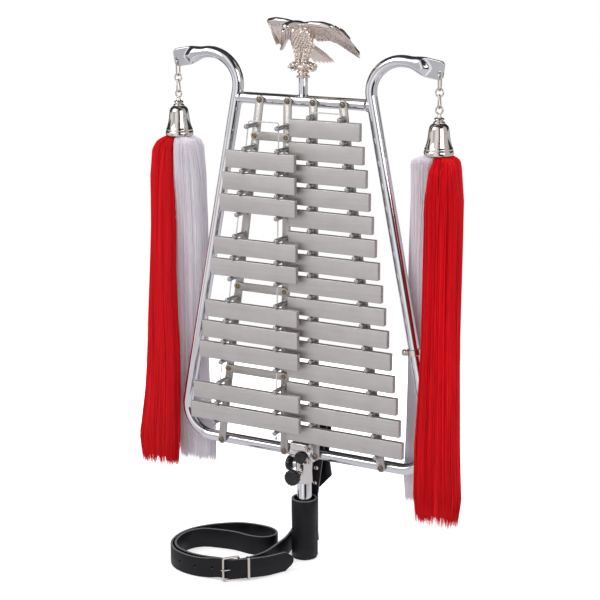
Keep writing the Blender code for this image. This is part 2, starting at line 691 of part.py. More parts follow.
def hoop_points():
    """Centre line of the bent tube, from the left arm's plate round the bottom to the right one."""
    half = []
    half.append((0.0, BOTTOM_Z))
    slope = math.atan(SIDE_SLOPE)
    turn = math.pi / 2.0 + slope
    vertex_x = side_tube_x(BOTTOM_Z)
    tangent = CORNER_RADIUS * math.tan(turn / 2.0)
    for i in range(11):
        angle = -math.pi / 2.0 + turn * i / 10
        half.append((vertex_x - tangent + CORNER_RADIUS * math.cos(angle),
                     BOTTOM_Z + CORNER_RADIUS + CORNER_RADIUS * math.sin(angle)))
    shoulder_z = CROSS_Z + ARM_SHOULDER_RISE
    start = Vector((side_tube_x(shoulder_z), shoulder_z))
    half.append(tuple(start))
    crest = Vector((ARM_CREST_X, ARM_CREST_Z))
    plate = Vector((PLATE_START_X, PLATE_CENTRE_Z + PLATE_START_RISE))
    rise = start + Vector((-SIDE_SLOPE, 1.0)) * ARM_SHOULDER_PULL
    half += bezier(start, rise, crest - Vector((ARM_CREST_PULL_IN, 0.0)), crest, 10)
    half += bezier(crest, crest + Vector((ARM_CREST_PULL_OUT, 0.0)), plate - Vector(PLATE_PULL), plate, 4)
    run = PLATE_END_X - plate.x
    drop = (PLATE_CENTRE_Z - PLATE_END_DROP - plate.y) / run
    for share in (0.27, 0.5, 0.7, 0.83, 0.93, 1.0):
        half.append((plate.x + run * share, plate.y + drop * run * share))
    left = [(-x, z) for x, z in reversed(half[1:])]
    return left + half


def bezier(a, b, c, d, steps):
    """Points of a cubic curve after its start."""
    points = []
    for i in range(1, steps + 1):
        t = i / steps
        point = a * (1 - t) ** 3 + b * 3 * t * (1 - t) ** 2 + c * 3 * t * t * (1 - t) + d * t ** 3
        points.append(tuple(point))
    return points


def flatten_ends(mesh):
    """Press the ends of the arms to upright plates with rounded outer corners."""
    reach = PLATE_START_X - PLATE_PRESS_BEFORE
    for vert in mesh.vertices:
        x = abs(vert.co.x)
        if x < reach or vert.co.z < CROSS_Z:
            continue
        t = min(1.0, (x - reach) / (PLATE_START_X + PLATE_PRESS_AFTER - reach))
        ease = t * t * (3.0 - 2.0 * t)
        middle = plate_line(x)
        height = 1.0 + ease * (PLATE_HEIGHT / 2.0 / TUBE_RADIUS - 1.0)
        round_start = PLATE_END_X - PLATE_ROUND_LENGTH
        if x > round_start:
            s = min(1.0, (x - round_start) / PLATE_ROUND_LENGTH)
            height *= 1.0 - PLATE_ROUND_SHARE * (1.0 - math.sqrt(1.0 - s * s))
        vert.co.z = middle + (vert.co.z - middle) * height
        vert.co.y *= 1.0 - ease * (1.0 - PLATE_THICKNESS / 2.0 / TUBE_RADIUS)


def plate_line(x):
    """Height of the arm's middle line at a distance from the middle plane, past the crest."""
    points = [point for point in hoop_points() if point[0] >= ARM_CREST_X and point[1] > CROSS_Z]
    points.sort()
    for (x0, z0), (x1, z1) in zip(points, points[1:]):
        if x <= x1:
            return z0 + (z1 - z0) * max(0.0, (x - x0) / max(1e-9, x1 - x0))
    return points[-1][1]


def make_hoop():
    """Make the hoop frame: bent tube, cross tube and finial stem, with a hole in each plate."""
    hoop = swept("hoop_frame", [(x, 0.0, z) for x, z in hoop_points()], TUBE_RADIUS, CHROME, sides_step=3)
    flatten_ends(hoop.data)
    bm = bmesh.new()
    reach = side_tube_x(CROSS_Z)
    add_rod(bm, TUBE_RADIUS - 0.0002, (-reach, 0.0, CROSS_Z), (reach, 0.0, CROSS_Z), 16)
    join(hoop, finished("cross_tube", bm, CHROME))
    join(hoop, rod("finial_stem", FINIAL_STEM_RADIUS, (0.0, 0.0, CROSS_Z), (0.0, 0.0, FINIAL_STEM_TOP),
                   CHROME, 16))
    bm = bmesh.new()
    for side in (-1.0, 1.0):
        x = side * PLATE_HOLE_X
        add_rod(bm, PLATE_HOLE_RADIUS, (x, -TUBE_RADIUS, PLATE_HOLE_Z), (x, TUBE_RADIUS, PLATE_HOLE_Z), 14)
    return cut(hoop, as_tool(finished("plate_holes", bm, CHROME)))


def make_clip_collar():
    """Make the mallet clip's collar round the right side tube, with its thumb screw."""
    lean = math.atan(SIDE_SLOPE)
    axis = Vector((-math.sin(lean), 0.0, math.cos(lean)))
    side = Vector((-math.cos(lean), 0.0, -math.sin(lean)))
    centre = Vector((side_tube_x(CLIP_Z), 0.0, CLIP_Z))
    outer = TUBE_RADIUS + GAP + CLIP_WALL
    half = axis * (CLIP_HEIGHT / 2.0)
    collar = rod("clip_collar", outer, centre - half, centre + half, NICKEL, 20)
    boss_end = centre + side * (outer + CLIP_BOSS_LENGTH)
    join(collar, rod("clip_screw", CLIP_BOSS_RADIUS, centre + side * (outer - 0.0015), boss_end, NICKEL, 10))
    join(collar, rod("clip_knob", CLIP_KNOB_RADIUS, boss_end - side * CLIP_KNOB_LENGTH, boss_end, NICKEL, 12))
    bore = rod("clip_bore", TUBE_RADIUS + GAP, centre - half * 2.0, centre + half * 2.0, NICKEL, 20)
    return cut(collar, as_tool(bore))


def make_clamp():
    """Make the clamp casting: saddle round the bottom tube, hood, lugs and the sleeve with its bore."""
    saddle_radius = TUBE_RADIUS + SADDLE_CLEARANCE + SADDLE_WALL
    width = CLAMP_HALF_WIDTH
    clamp = rod("stem_clamp", saddle_radius, (-width, 0.0, BOTTOM_Z), (width, 0.0, BOTTOM_Z), NICKEL, 28)
    hood = box("hood", (HOOD_INSET - width, HOOD_FRONT, HOOD_LOW), (width - HOOD_INSET, HOOD_BACK, HOOD_HIGH),
               NICKEL)
    edge = hood.modifiers.new("edge", 'BEVEL')
    edge.width = HOOD_EDGE
    edge.segments = 2
    join(clamp, hood)
    join(clamp, rod("shoulder", SLEEVE_RADIUS, (0.0, 0.0, LUG_Z - SHOULDER_BELOW_LUG),
                    (0.0, 0.0, BOTTOM_Z - SHOULDER_SINK), NICKEL, 24, end_radius=SHOULDER_RADIUS))
    join(clamp, rod("sleeve", SLEEVE_RADIUS, (0.0, 0.0, SLEEVE_LOW), (0.0, 0.0, LUG_Z), NICKEL, 24))
    join(clamp, rod("lug", LUG_RADIUS, (-width - LUG_PROUD, 0.0, LUG_Z), (LUG_INNER_X, 0.0, LUG_Z),
                    NICKEL, 14))
    join(clamp, rod("front_boss", FRONT_BOSS_RADIUS, (0.0, FRONT_BOSS_FRONT, HEIGHT_KNOB_Z),
                    (0.0, 0.0, HEIGHT_KNOB_Z), NICKEL, 14))
    cut(clamp, as_tool(rod("tube_seat", TUBE_RADIUS + SADDLE_CLEARANCE, (-width * 1.5, 0.0, BOTTOM_Z),
                           (width * 1.5, 0.0, BOTTOM_Z), NICKEL, 28)))
    cut(clamp, as_tool(rod("sleeve_bore", LOWER_TUBE_RADIUS + GAP, (0.0, 0.0, CUP_HEIGHT),
                           (0.0, 0.0, SLEEVE_BORE_TOP), NICKEL, 24)))
    screw = KNOB_SCREW_RADIUS + GAP
    cut(clamp, as_tool(rod("clamp_screw_hole", screw, (CLAMP_KNOB_X, HOLE_START, CLAMP_KNOB_Z),
                           (CLAMP_KNOB_X, CLAMP_SCREW_HOLE_END, CLAMP_KNOB_Z), NICKEL, 10)))
    cut(clamp, as_tool(rod("height_screw_hole", screw, (0.0, HOLE_START, HEIGHT_KNOB_Z),
                           (0.0, HEIGHT_SCREW_HOLE_END, HEIGHT_KNOB_Z), NICKEL, 10)))
    cut(clamp, as_tool(rod("tilt_screw_hole", screw, (HOLE_START, 0.0, LUG_Z),
                           (TILT_SCREW_HOLE_END, 0.0, LUG_Z), NICKEL, 10)))
    return clamp


def knob_mesh(radius, thickness, screw_length):
    """A fluted knob about +Z, with its outer face at z = 0 and its screw running down."""
    bm = bmesh.new()
    rim = []
    count = KNOB_FLUTES * 4
    for i in range(count):
        angle = 2.0 * math.pi * i / count
        reach = radius * (1.0 - KNOB_FLUTE_DEPTH * (0.5 - 0.5 * math.cos(KNOB_FLUTES * angle)))
        rim.append(bm.verts.new((reach * math.cos(angle), reach * math.sin(angle), -KNOB_CHAMFER)))
    face = bm.faces.new(rim)
    grown = bmesh.ops.extrude_face_region(bm, geom=[face])
    moved = [item for item in grown["geom"] if isinstance(item, bmesh.types.BMVert)]
    bmesh.ops.translate(bm, verts=moved, vec=(0.0, 0.0, KNOB_CHAMFER - thickness))
    bmesh.ops.recalc_face_normals(bm, faces=bm.faces)
    add_rod(bm, radius * KNOB_CROWN_SHARE, (0.0, 0.0, -KNOB_CROWN_LOW), (0.0, 0.0, 0.0), 24,
            end_radius=radius * KNOB_FACE_SHARE)
    inside = (0.0, 0.0, KNOB_OVERLAP - thickness)
    add_rod(bm, radius * KNOB_NECK_SHARE, inside, (0.0, 0.0, -thickness - KNOB_NECK_LENGTH), 16)
    add_rod(bm, KNOB_SCREW_RADIUS, inside, (0.0, 0.0, -thickness - screw_length), 8)
    return bm


def make_knob(name, radius, thickness, screw_length, face_centre, outward):
    """Make a knob with its outer face at a point and looking outward."""
    bm = knob_mesh(radius, thickness, screw_length)
    turn = Vector(outward).to_track_quat('Z', 'X').to_matrix().to_4x4()
    bmesh.ops.transform(bm, matrix=Matrix.Translation(face_centre) @ turn, verts=bm.verts)
    bodies = finished(name + "_bodies", bm, KNOB_PLASTIC)
    core = rod(name, KNOB_SCREW_RADIUS * 0.8, Vector(face_centre) - Vector(outward) * (thickness * 0.3),
               Vector(face_centre) - Vector(outward) * (thickness * 0.8), KNOB_PLASTIC, 8)
    join(core, bodies)
    core.modifiers[-1].use_self = True
    return core


def make_lower_tube():
    """Make the slotted lower tube, which carries the sleeve."""
    tube = rod("lower_tube", LOWER_TUBE_RADIUS, (0.0, 0.0, CUP_FLOOR + GAP), (0.0, 0.0, LOWER_TUBE_TOP),
               CHROME, 24)
    edge = tube.modifiers.new("edge", 'BEVEL')
    edge.width = TUBE_EDGE
    edge.segments = 1
    edge.angle_limit = math.radians(60.0)
    heading = Vector((math.cos(SLOT_HEADING), math.sin(SLOT_HEADING), 0.0))
    across = Vector((-heading.y, heading.x, 0.0)) * (SLOT_WIDTH / 2.0)
    bm = bmesh.new()
    inner = heading * (LOWER_TUBE_RADIUS - SLOT_DEPTH)
    outer = heading * (LOWER_TUBE_RADIUS + SLOT_DEPTH)
    base = [bm.verts.new(point + Vector((0.0, 0.0, LOWER_TUBE_TOP - SLOT_BELOW_TOP)))
            for point in (inner - across, outer - across, outer + across, inner + across)]
    face = bm.faces.new(base)
    grown = bmesh.ops.extrude_face_region(bm, geom=[face])
    moved = [item for item in grown["geom"] if isinstance(item, bmesh.types.BMVert)]
    bmesh.ops.translate(bm, verts=moved, vec=(0.0, 0.0, -SLOT_LENGTH))
    bmesh.ops.recalc_face_normals(bm, faces=bm.faces)
    return cut(tube, as_tool(finished("slot", bm, CHROME)))


def make_cup():
    """Make the leather cup, whose hollow narrows to the lower tube's seat."""
    seat = LOWER_TUBE_RADIUS + GAP
    profile = (
        (0.0, CUP_FLOOR), (seat, CUP_FLOOR), (seat, CUP_FLOOR + CUP_SEAT_DEPTH),
        (CUP_MOUTH_RADIUS, CUP_HEIGHT - CUP_MOUTH_DEPTH), (CUP_MOUTH_RADIUS, CUP_HEIGHT),
        (CUP_RADIUS - CUP_RIM_EDGE, CUP_HEIGHT), (CUP_RADIUS, CUP_HEIGHT - CUP_RIM_EDGE),
        (CUP_RADIUS, CUP_FOOT_EDGE), (CUP_RADIUS - CUP_FOOT_EDGE, 0.0), (0.0, 0.0))
    return turned("leather_cup", profile, (0.0, 0.0, 0.0), LEATHER, sides=32)


def back_strap_path():
    """Middle line of the back strap from its low front end up and over to the flap: x, y, z and slant."""
    front = CUP_RADIUS + GAP + BACK_STRAP_THICKNESS / 2.0
    straight_top = BACK_STRAP_HIGH - BACK_STRAP_STRAIGHT
    reach = BACK_STRAP_LEAN * (straight_top - CUP_HEIGHT)
    points = [(0.0, front, BACK_STRAP_LOW, 0.0), (0.0, front, CUP_HEIGHT, 0.0)]
    points.append((reach, front, straight_top, 0.0))
    for i in range(9):
        angle = math.pi * i / 8
        points.append((reach + (FLAP_PATH[0][0] - reach) * i / 8,
                       front + BACK_FOLD_RADIUS * (1.0 - math.cos(angle)),
                       BACK_STRAP_HIGH + BACK_FOLD_RADIUS * math.sin(angle), 0.0))
    back = front + 2.0 * BACK_FOLD_RADIUS
    flap = [(x, back + setback, z, 0.0) for x, setback, z in FLAP_PATH]
    return points + flap[:-1] + [(*flap[-1][:3], FLAP_SLANT)]


def make_back_strap():
    """Make the leather strip behind the stem, folded over at its top, with two rivets."""
    bm = bmesh.new()
    rows = []
    for x, y, z, slant in back_strap_path():
        sides = ((-BACK_STRAP_WIDTH / 2.0, -slant), (BACK_STRAP_WIDTH / 2.0, slant))
        rows.append([bm.verts.new((x + across, y, z + lift)) for across, lift in sides])
    for first, second in zip(rows, rows[1:]):
        bm.faces.new((first[0], first[1], second[1], second[0]))
    obj = finished("back_strap", bm, LEATHER)
    wall = obj.modifiers.new("wall", 'SOLIDIFY')
    wall.thickness = BACK_STRAP_THICKNESS
    wall.offset = 0.0
    bm = bmesh.new()
    y = CUP_RADIUS + GAP
    for x, z in RIVET_PLACES:
        add_rod(bm, RIVET_RADIUS, (x, y + RIVET_SINK, z), (x, y - RIVET_HEIGHT, z), 12,
                end_radius=RIVET_RADIUS * RIVET_TIP_SHARE)
    return join(obj, finished("rivets", bm, NICKEL))


def strap_frame(place):
    """Point, heading and outward side of the strap's route at a place, counted in route points."""
    index = min(int(place), len(STRAP_ROUTE) - 2)
    here = Vector(STRAP_ROUTE[index]).lerp(Vector(STRAP_ROUTE[index + 1]), place - index)
    before = Vector(STRAP_ROUTE[max(0, index - 1)]).lerp(Vector(STRAP_ROUTE[index]), place - index)
    after = Vector(STRAP_ROUTE[index + 1])
    after = after.lerp(Vector(STRAP_ROUTE[min(index + 2, len(STRAP_ROUTE) - 1)]), place - index)
    heading = after - before
    heading.z = 0.0
    heading.normalize()
    return here, heading, Vector((heading.y, -heading.x, 0.0))


def make_strap():
    """Make the carrying strap on edge, with its holes and pointed tongue."""
    route = smooth_route(STRAP_ROUTE, 2)
    bm = bmesh.new()
    rows = []
    for point in route:
        rows.append([bm.verts.new((point.x, point.y, max(0.0, point.z) + part * STRAP_HEIGHT))
                     for part in (0.0, 1.0)])
    end = route[-1]
    heading = (end - route[-2])
    heading.z = 0.0
    heading.normalize()
    tip = end + heading * TONGUE_LENGTH
    rows.append([bm.verts.new((tip.x, tip.y, STRAP_HEIGHT * part)) for part in TONGUE_TIP])
    for first, second in zip(rows, rows[1:]):
        bm.faces.new((first[0], second[0], second[1], first[1]))
    strap = finished("strap", bm, LEATHER)
    wall = strap.modifiers.new("wall", 'SOLIDIFY')
    wall.thickness = STRAP_THICKNESS
    wall.offset = 0.0
    bm = bmesh.new()
    for place in STRAP_HOLES:
        here, _, out = strap_frame(place)
        middle = here + Vector((0.0, 0.0, STRAP_HEIGHT / 2.0))
        reach = out * (STRAP_THICKNESS * 0.8)
        add_rod(bm, STRAP_HOLE_RADIUS, middle - reach, middle + reach, 8)
    return cut(strap, as_tool(finished("strap_holes", bm, LEATHER)))


def buckle_bar(place, margin, side):
    """Middle of a buckle bar beside the strap, outside it (1) or inside it (-1), and its heading."""
    here, heading, out = strap_frame(place)
    offset = STRAP_THICKNESS / 2.0 + margin + BUCKLE_WIRE
    middle = Vector((here.x, here.y, here.z + STRAP_HEIGHT / 2.0))
    return middle + out * (offset * side), heading, out


def make_buckle():
    """Make the buckle frame, a wire ring with one bar over the strap and one bar behind it."""
    front, _, _ = buckle_bar(BUCKLE_FRONT_PLACE, BUCKLE_FRONT_MARGIN, 1.0)
    back, _, _ = buckle_bar(BUCKLE_BACK_PLACE, BUCKLE_MARGIN, -1.0)
    half_height = STRAP_HEIGHT / 2.0 + BUCKLE_MARGIN + BUCKLE_WIRE
    points = []
    for middle, up_sign in ((front, 1.0), (front, -1.0), (back, -1.0), (back, 1.0)):
        points.append(middle + Vector((0.0, 0.0, half_height * up_sign)))
    ring = []
    for i, point in enumerate(points):
        before = (points[i - 1] - point).normalized()
        after = (points[(i + 1) % 4] - point).normalized()
        ring.append(point + before * BUCKLE_CORNER)
        ring.append(point + (before + after) * (BUCKLE_CORNER * 0.3))
        ring.append(point + after * BUCKLE_CORNER)
    return swept("buckle_frame", ring, BUCKLE_WIRE, NICKEL, sides_step=2, closed=True)


def make_prong():
    """Make the buckle prong: an eye round the front bar and a pin along the strap's face."""
    bar, heading, out = buckle_bar(BUCKLE_FRONT_PLACE, BUCKLE_FRONT_MARGIN, 1.0)
    reach = BUCKLE_WIRE + GAP + PRONG_RADIUS
    points = []
    for i in range(11):
        angle = math.radians(-120.0 + 24.0 * i)
        points.append(bar - heading * (math.cos(angle) * reach) + out * (math.sin(angle) * reach))
    points.append(bar + heading * PRONG_BEND)
    tip, _, tip_out = strap_frame(PRONG_TIP_PLACE)
    points.append(Vector((tip.x, tip.y, bar.z)) + tip_out * (STRAP_THICKNESS / 2.0 + PRONG_TIP_LIFT))
    return swept("buckle_prong", points, PRONG_RADIUS, NICKEL, sides_step=1)


def make_keeper():
    """Make the metal keeper, a flat loop round the strap."""
    here, heading, out = strap_frame(KEEPER_PLACE)
    centre = Vector((here.x, here.y, here.z + STRAP_HEIGHT / 2.0))
    frame = Matrix.Translation(centre) @ Matrix((
        (heading.x, out.x, 0.0, 0.0), (heading.y, out.y, 0.0, 0.0),
        (0.0, 0.0, 1.0, 0.0), (0.0, 0.0, 0.0, 1.0)))
    inner_depth = STRAP_THICKNESS / 2.0 + KEEPER_SIDE_CLEARANCE
    inner_height = STRAP_HEIGHT / 2.0 + KEEPER_EDGE_CLEARANCE
    sizes = ((KEEPER_WIDTH / 2.0, inner_depth + KEEPER_WALL, inner_height + KEEPER_WALL),
             (KEEPER_WIDTH, inner_depth, inner_height))
    made = []
    for name, (along_half, depth, height) in zip(("strap_keeper", "keeper_hole"), sizes):
        bm = bmesh.new()
        add_box(bm, (-along_half, -depth, -height), (along_half, depth, height))
        bmesh.ops.transform(bm, matrix=frame, verts=bm.verts)
        bmesh.ops.recalc_face_normals(bm, faces=bm.faces)
        made.append(finished(name, bm, NICKEL))
    return cut(made[0], as_tool(made[1]))


def loop_points(centre, top, low, half_top, half_low, steps=6):
    """Closed loop in the plane x = constant, with round ends of two sizes."""
    points = []
    for i in range(steps + 1):
        angle = math.pi * i / steps
        points.append((centre, half_top * math.cos(angle), top - half_top + half_top * math.sin(angle)))
    for i in range(steps + 1):
        angle = math.pi + math.pi * i / steps
        points.append((centre, half_low * math.cos(angle), low + half_low + half_low * math.sin(angle)))
    return points


def ring_points(centre, height, radius, steps=16):
    """Closed ring in the plane y = 0."""
    return [(centre + radius * math.cos(2.0 * math.pi * i / steps), 0.0,
             height + radius * math.sin(2.0 * math.pi * i / steps)) for i in range(steps)]


def chain_heights():
    """Heights of the wires' middles down the plume's chain."""
    sag = HOOK_HALF_DEPTH - math.sqrt(HOOK_HALF_DEPTH ** 2 - (PLATE_THICKNESS / 2.0) ** 2)
    rest = PLATE_HOLE_Z - (PLATE_HOLE_RADIUS - HOOK_WIRE - 2.0 * GAP)
    heights = {"hook_top": rest + sag, "hook_low": PLATE_HOLE_Z - HOOK_DROP}
    heights["ring_top"] = heights["hook_low"] + HOOK_WIRE + RING_WIRE + GAP
    heights["ring_low"] = heights["ring_top"] - 2.0 * RING_RADIUS
    heights["link_top"] = heights["ring_low"] + RING_WIRE + LINK_WIRE + GAP
    heights["link_low"] = heights["link_top"] - LINK_LENGTH
    heights["eye_top"] = heights["link_low"] + LINK_WIRE + EYE_WIRE + GAP
    heights["bell_top"] = heights["eye_top"] - 2.0 * EYE_RADIUS - EYE_NECK_LENGTH
    heights["bell_rim"] = heights["bell_top"] - BELL_HEIGHT
    return heights


def make_bell(side, x):
    """Make a bell cap: turned thin shell with its eye on top."""
    heights = chain_heights()
    top = heights["bell_top"]
    outer = [(radius, top - share * BELL_HEIGHT) for radius, share in BELL_PROFILE]
    inner = [(radius - BELL_WALL, z - BELL_INNER_DROP) for radius, z in outer[3:-1:2]]
    profile = [(0.0, top)] + outer + [(outer[-1][0] - BELL_WALL, heights["bell_rim"])]
    profile += list(reversed(inner)) + [(0.0, outer[3][1] - BELL_CROWN_WALL)]
    bell = turned("bell_cap_" + side, profile, (x, 0.0, 0.0), NICKEL, sides=18)
    centre_z = heights["eye_top"] - EYE_RADIUS
    loop = ring_points(x, centre_z, EYE_RADIUS, 14)
    join(bell, swept("eye_" + side, loop, EYE_WIRE, NICKEL, 1, closed=True))
    join(bell, rod("eye_neck_" + side, EYE_NECK_RADIUS, (x, 0.0, top - EYE_NECK_OVERLAP),
                   (x, 0.0, top + EYE_NECK_LENGTH + EYE_WIRE / 3.0), NICKEL, 10))
    return bell


def lobe_levels(levels, sign, outward):
    """Levels of a lobe from its root inside the bell down to its tip: height, centre and half sizes."""
    rim = chain_heights()["bell_rim"]
    rows = []
    for share, offset, half_x, half_y in HAIR_ROOT:
        x = sign * (PLATE_HOLE_X + outward * offset)
        rows.append((rim + share * BELL_HEIGHT, x, 0.0, half_x, half_y))
    return rows + [(rim - drop, x, y, half_x, half_y) for drop, x, y, half_x, half_y in levels]


def make_lobe(name, levels, look, phase):
    """Loft a fluted lobe of hair through its levels."""
    rim = chain_heights()["bell_rim"]
    bm = bmesh.new()
    previous = None
    for i, (z, x, y, half_x, half_y) in enumerate(levels):
        ring = []
        flute = LOBE_FLUTE_DEPTH * min(1.0, max(0.0, (rim - LOBE_FLUTES_START - z) / LOBE_FLUTES_FULL))
        for j in range(LOBE_SIDES):
            angle = 2.0 * math.pi * j / LOBE_SIDES
            swell = 1.0 - flute * (0.5 + 0.5 * math.cos(LOBE_FLUTES * angle + phase + LOBE_TWIST * i))
            drop = 0.0
            if i == len(levels) - 1:
                drop = LOBE_TIP_WAVE * math.cos(5.0 * angle + phase)
            place = (x + half_x * swell * math.cos(angle), y + half_y * swell * math.sin(angle), z - drop)
            ring.append(bm.verts.new(place))
        if previous is None:
            bm.faces.new(list(reversed(ring)))
        else:
            for j in range(LOBE_SIDES):
                k = (j + 1) % LOBE_SIDES
                bm.faces.new((previous[j], previous[k], ring[k], ring[j]))
        previous = ring
    centre = Vector((0.0, 0.0, 0.0))
    for vert in previous:
        centre += vert.co / LOBE_SIDES
    middle = bm.verts.new(centre - Vector((0.0, 0.0, LOBE_TIP_DROP)))
    for j in range(LOBE_SIDES):
        bm.faces.new((previous[j], previous[(j + 1) % LOBE_SIDES], middle))
    bmesh.ops.recalc_face_normals(bm, faces=bm.faces)
    return finished(name, bm, look)


def make_plumes():
    """Make both plumes: hook, ring, link, bell cap and the two halves of the hair."""
    heights = chain_heights()
    lobes = {"left": (LEFT_RED, LEFT_WHITE), "right": (RIGHT_RED, RIGHT_WHITE)}
    for side, sign in (("left", -1.0), ("right", 1.0)):
        x = sign * PLATE_HOLE_X
        hook = loop_points(x, heights["hook_top"], heights["hook_low"], HOOK_HALF_DEPTH, HOOK_HALF_DEPTH)
        swept("plume_hook_" + side, hook, HOOK_WIRE, NICKEL, 1, closed=True)
        ring_z = heights["ring_top"] - RING_RADIUS
        swept("plume_ring_" + side, ring_points(x, ring_z, RING_RADIUS), RING_WIRE, NICKEL, 1, closed=True)
        link = loop_points(x, heights["link_top"], heights["link_low"], LINK_HALF_TOP, LINK_HALF_LOW, 5)
        swept("plume_link_" + side, link, LINK_WIRE, NICKEL, 1, closed=True)
        make_bell(side, x)
        red, white = lobes[side]
        make_lobe("red_hair_" + side, lobe_levels(red, sign, 1.0), RED_HAIR, 0.4 * sign)
        make_lobe("white_hair_" + side, lobe_levels(white, sign, -1.0), WHITE_HAIR, 1.3 * sign)


def make_wings():
    """Both wings as one thick sheet that runs through the body."""
    bm = bmesh.new()
    rows = []
    right = [(Vector(lead), Vector(trail)) for lead, trail in WING_STATIONS]
    flip = Vector((-1.0, 1.0, 1.0))
    left = [(lead * flip, trail * flip) for lead, trail in reversed(right)]
    for lead, trail in left + right:
        crown = Vector(EAGLE_WING_CROWN)
        places = [lead.lerp(trail, t) + crown * (4.0 * t * (1.0 - t)) for t in (0.0, 0.33, 0.67, 1.0)]
        row = [bm.verts.new(place) for place in places]
        rows.append(row)
    for first, second in zip(rows, rows[1:]):
        for j in range(3):
            bm.faces.new((first[j], second[j], second[j + 1], first[j + 1]))
    wings = finished("wings", bm, NICKEL)
    wall = wings.modifiers.new("wall", 'SOLIDIFY')
    wall.thickness = EAGLE_WING_THICKNESS
    wall.offset = 0.0
    return wings


def make_tail():
    """Make the tail, a cone flattened square to its slope."""
    tail = rod("tail", EAGLE_TAIL_RADII[0], EAGLE_TAIL[0], EAGLE_TAIL[1], NICKEL, 10,
               end_radius=EAGLE_TAIL_RADII[1])
    place = Matrix.Translation(EAGLE_TAIL_MIDDLE) @ Matrix.Rotation(EAGLE_TAIL_SLOPE, 4, 'X')
    tail.data.transform(place @ Matrix.Diagonal((*EAGLE_TAIL_FLATTEN, 1.0)) @ place.inverted())
    return tail


def make_eagle():
    """Make the eagle finial: collar, neck, scrolled base, legs, body, head, beak, wings and tail."""
    top = FINIAL_STEM_TOP + GAP
    radius = FINIAL_NECK_RADIUS
    neck = top + FINIAL_NECK_HEIGHT
    profile = (
        (0.0, neck + 0.004), (radius - 0.001, neck + 0.003), (radius - 0.0013, neck - 0.001),
        (radius, neck - 0.004), (radius - 0.0023, neck - 0.007), (radius + 0.001, top + 0.003),
        (radius + 0.001, top), (0.0, top))
    eagle = turned("eagle_finial", profile, (0.0, 0.0, 0.0), NICKEL, sides=18)
    join(eagle, ellipsoid("base", *EAGLE_PERCH, NICKEL, segments=16))
    mirror = Vector((-1.0, 1.0, 1.0))
    for side, flip in (("left", mirror), ("right", Vector((1.0, 1.0, 1.0)))):
        curl = Vector((EAGLE_SCROLL_X, 0.0, EAGLE_SCROLL_Z)) * flip
        reach = Vector((0.0, EAGLE_SCROLL_HALF_DEPTH, 0.0))
        join(eagle, rod("scroll_" + side, EAGLE_SCROLL_RADIUS, curl - reach, curl + reach, NICKEL, 10))
        join(eagle, rod("leg_" + side, EAGLE_ANKLE_RADIUS, Vector(EAGLE_ANKLE) * flip,
                        Vector(EAGLE_HIP) * flip, NICKEL, 8, end_radius=EAGLE_HIP_RADIUS))
    for name, (centre, radii, turns) in (("body", EAGLE_BODY), ("neck", EAGLE_NECK), ("head", EAGLE_HEAD)):
        join(eagle, ellipsoid(name, centre, radii, NICKEL, turns))
    join(eagle, rod("beak", EAGLE_BEAK_RADII[0], EAGLE_BEAK[0], EAGLE_BEAK[1], NICKEL, 8,
                    end_radius=EAGLE_BEAK_RADII[1]))
    join(eagle, make_wings())
    join(eagle, make_tail())
    return eagle


def build():
    """Build every piece."""
    ways = cord_ways()
    make_bars(ways)
    for name, way in ways.items():
        make_rail(name, way)
    make_ties()
    make_cord("natural_cord", "inner_natural_rail", "outer_natural_rail")
    make_cord("accidental_cord", "inner_accidental_rail", "outer_accidental_rail")
    make_hoop()
    make_clip_collar()
    make_eagle()
    make_clamp()
    make_knob("clamp_knob", CLAMP_KNOB_RADIUS, CLAMP_KNOB_THICKNESS, CLAMP_SCREW_LENGTH,
              (CLAMP_KNOB_X, CLAMP_KNOB_BACK - CLAMP_KNOB_THICKNESS, CLAMP_KNOB_Z), (0.0, -1.0, 0.0))
    make_knob("height_knob", HEIGHT_KNOB_RADIUS, HEIGHT_KNOB_THICKNESS, HEIGHT_SCREW_LENGTH,
              (0.0, HEIGHT_KNOB_BACK - HEIGHT_KNOB_THICKNESS, HEIGHT_KNOB_Z), (0.0, -1.0, 0.0))
    make_knob("tilt_knob", TILT_KNOB_RADIUS, TILT_KNOB_THICKNESS, TILT_SCREW_LENGTH,
              (-TILT_KNOB_INNER - TILT_KNOB_THICKNESS, 0.0, LUG_Z), (-1.0, 0.0, 0.0))
    make_lower_tube()
    make_cup()
    make_back_strap()
    make_strap()
    make_buckle()
    make_prong()
    make_keeper()
    make_plumes()


build()
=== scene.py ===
"""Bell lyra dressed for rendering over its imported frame.

Metres, +Z up, the origin under the leather cup. The note bars face -Y and the hoop's tubes lie in the plane
y = 0. Each sub-assembly is a class that builds its meshes, gives them their finishes and sets them on their
bodies.
"""

import logging
import math
import random
from dataclasses import dataclass, field
from enum import Enum
from typing import Callable, Sequence

import bmesh
import bpy
import numpy as np
from mathutils import Matrix, Vector
from mathutils.noise import noise


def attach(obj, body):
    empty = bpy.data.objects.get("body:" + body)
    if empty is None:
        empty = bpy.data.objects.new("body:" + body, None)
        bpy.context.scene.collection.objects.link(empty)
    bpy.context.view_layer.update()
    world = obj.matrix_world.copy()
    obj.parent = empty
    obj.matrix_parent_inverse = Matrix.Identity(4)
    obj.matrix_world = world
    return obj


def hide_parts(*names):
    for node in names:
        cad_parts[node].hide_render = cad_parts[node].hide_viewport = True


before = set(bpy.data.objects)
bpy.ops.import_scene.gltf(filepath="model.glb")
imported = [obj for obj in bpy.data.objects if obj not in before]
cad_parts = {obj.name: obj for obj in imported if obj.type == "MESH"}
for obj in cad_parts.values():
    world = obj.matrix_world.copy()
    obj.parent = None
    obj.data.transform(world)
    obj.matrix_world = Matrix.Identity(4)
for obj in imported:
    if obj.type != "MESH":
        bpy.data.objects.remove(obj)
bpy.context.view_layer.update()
LOG = logging.getLogger("bell_lyra")

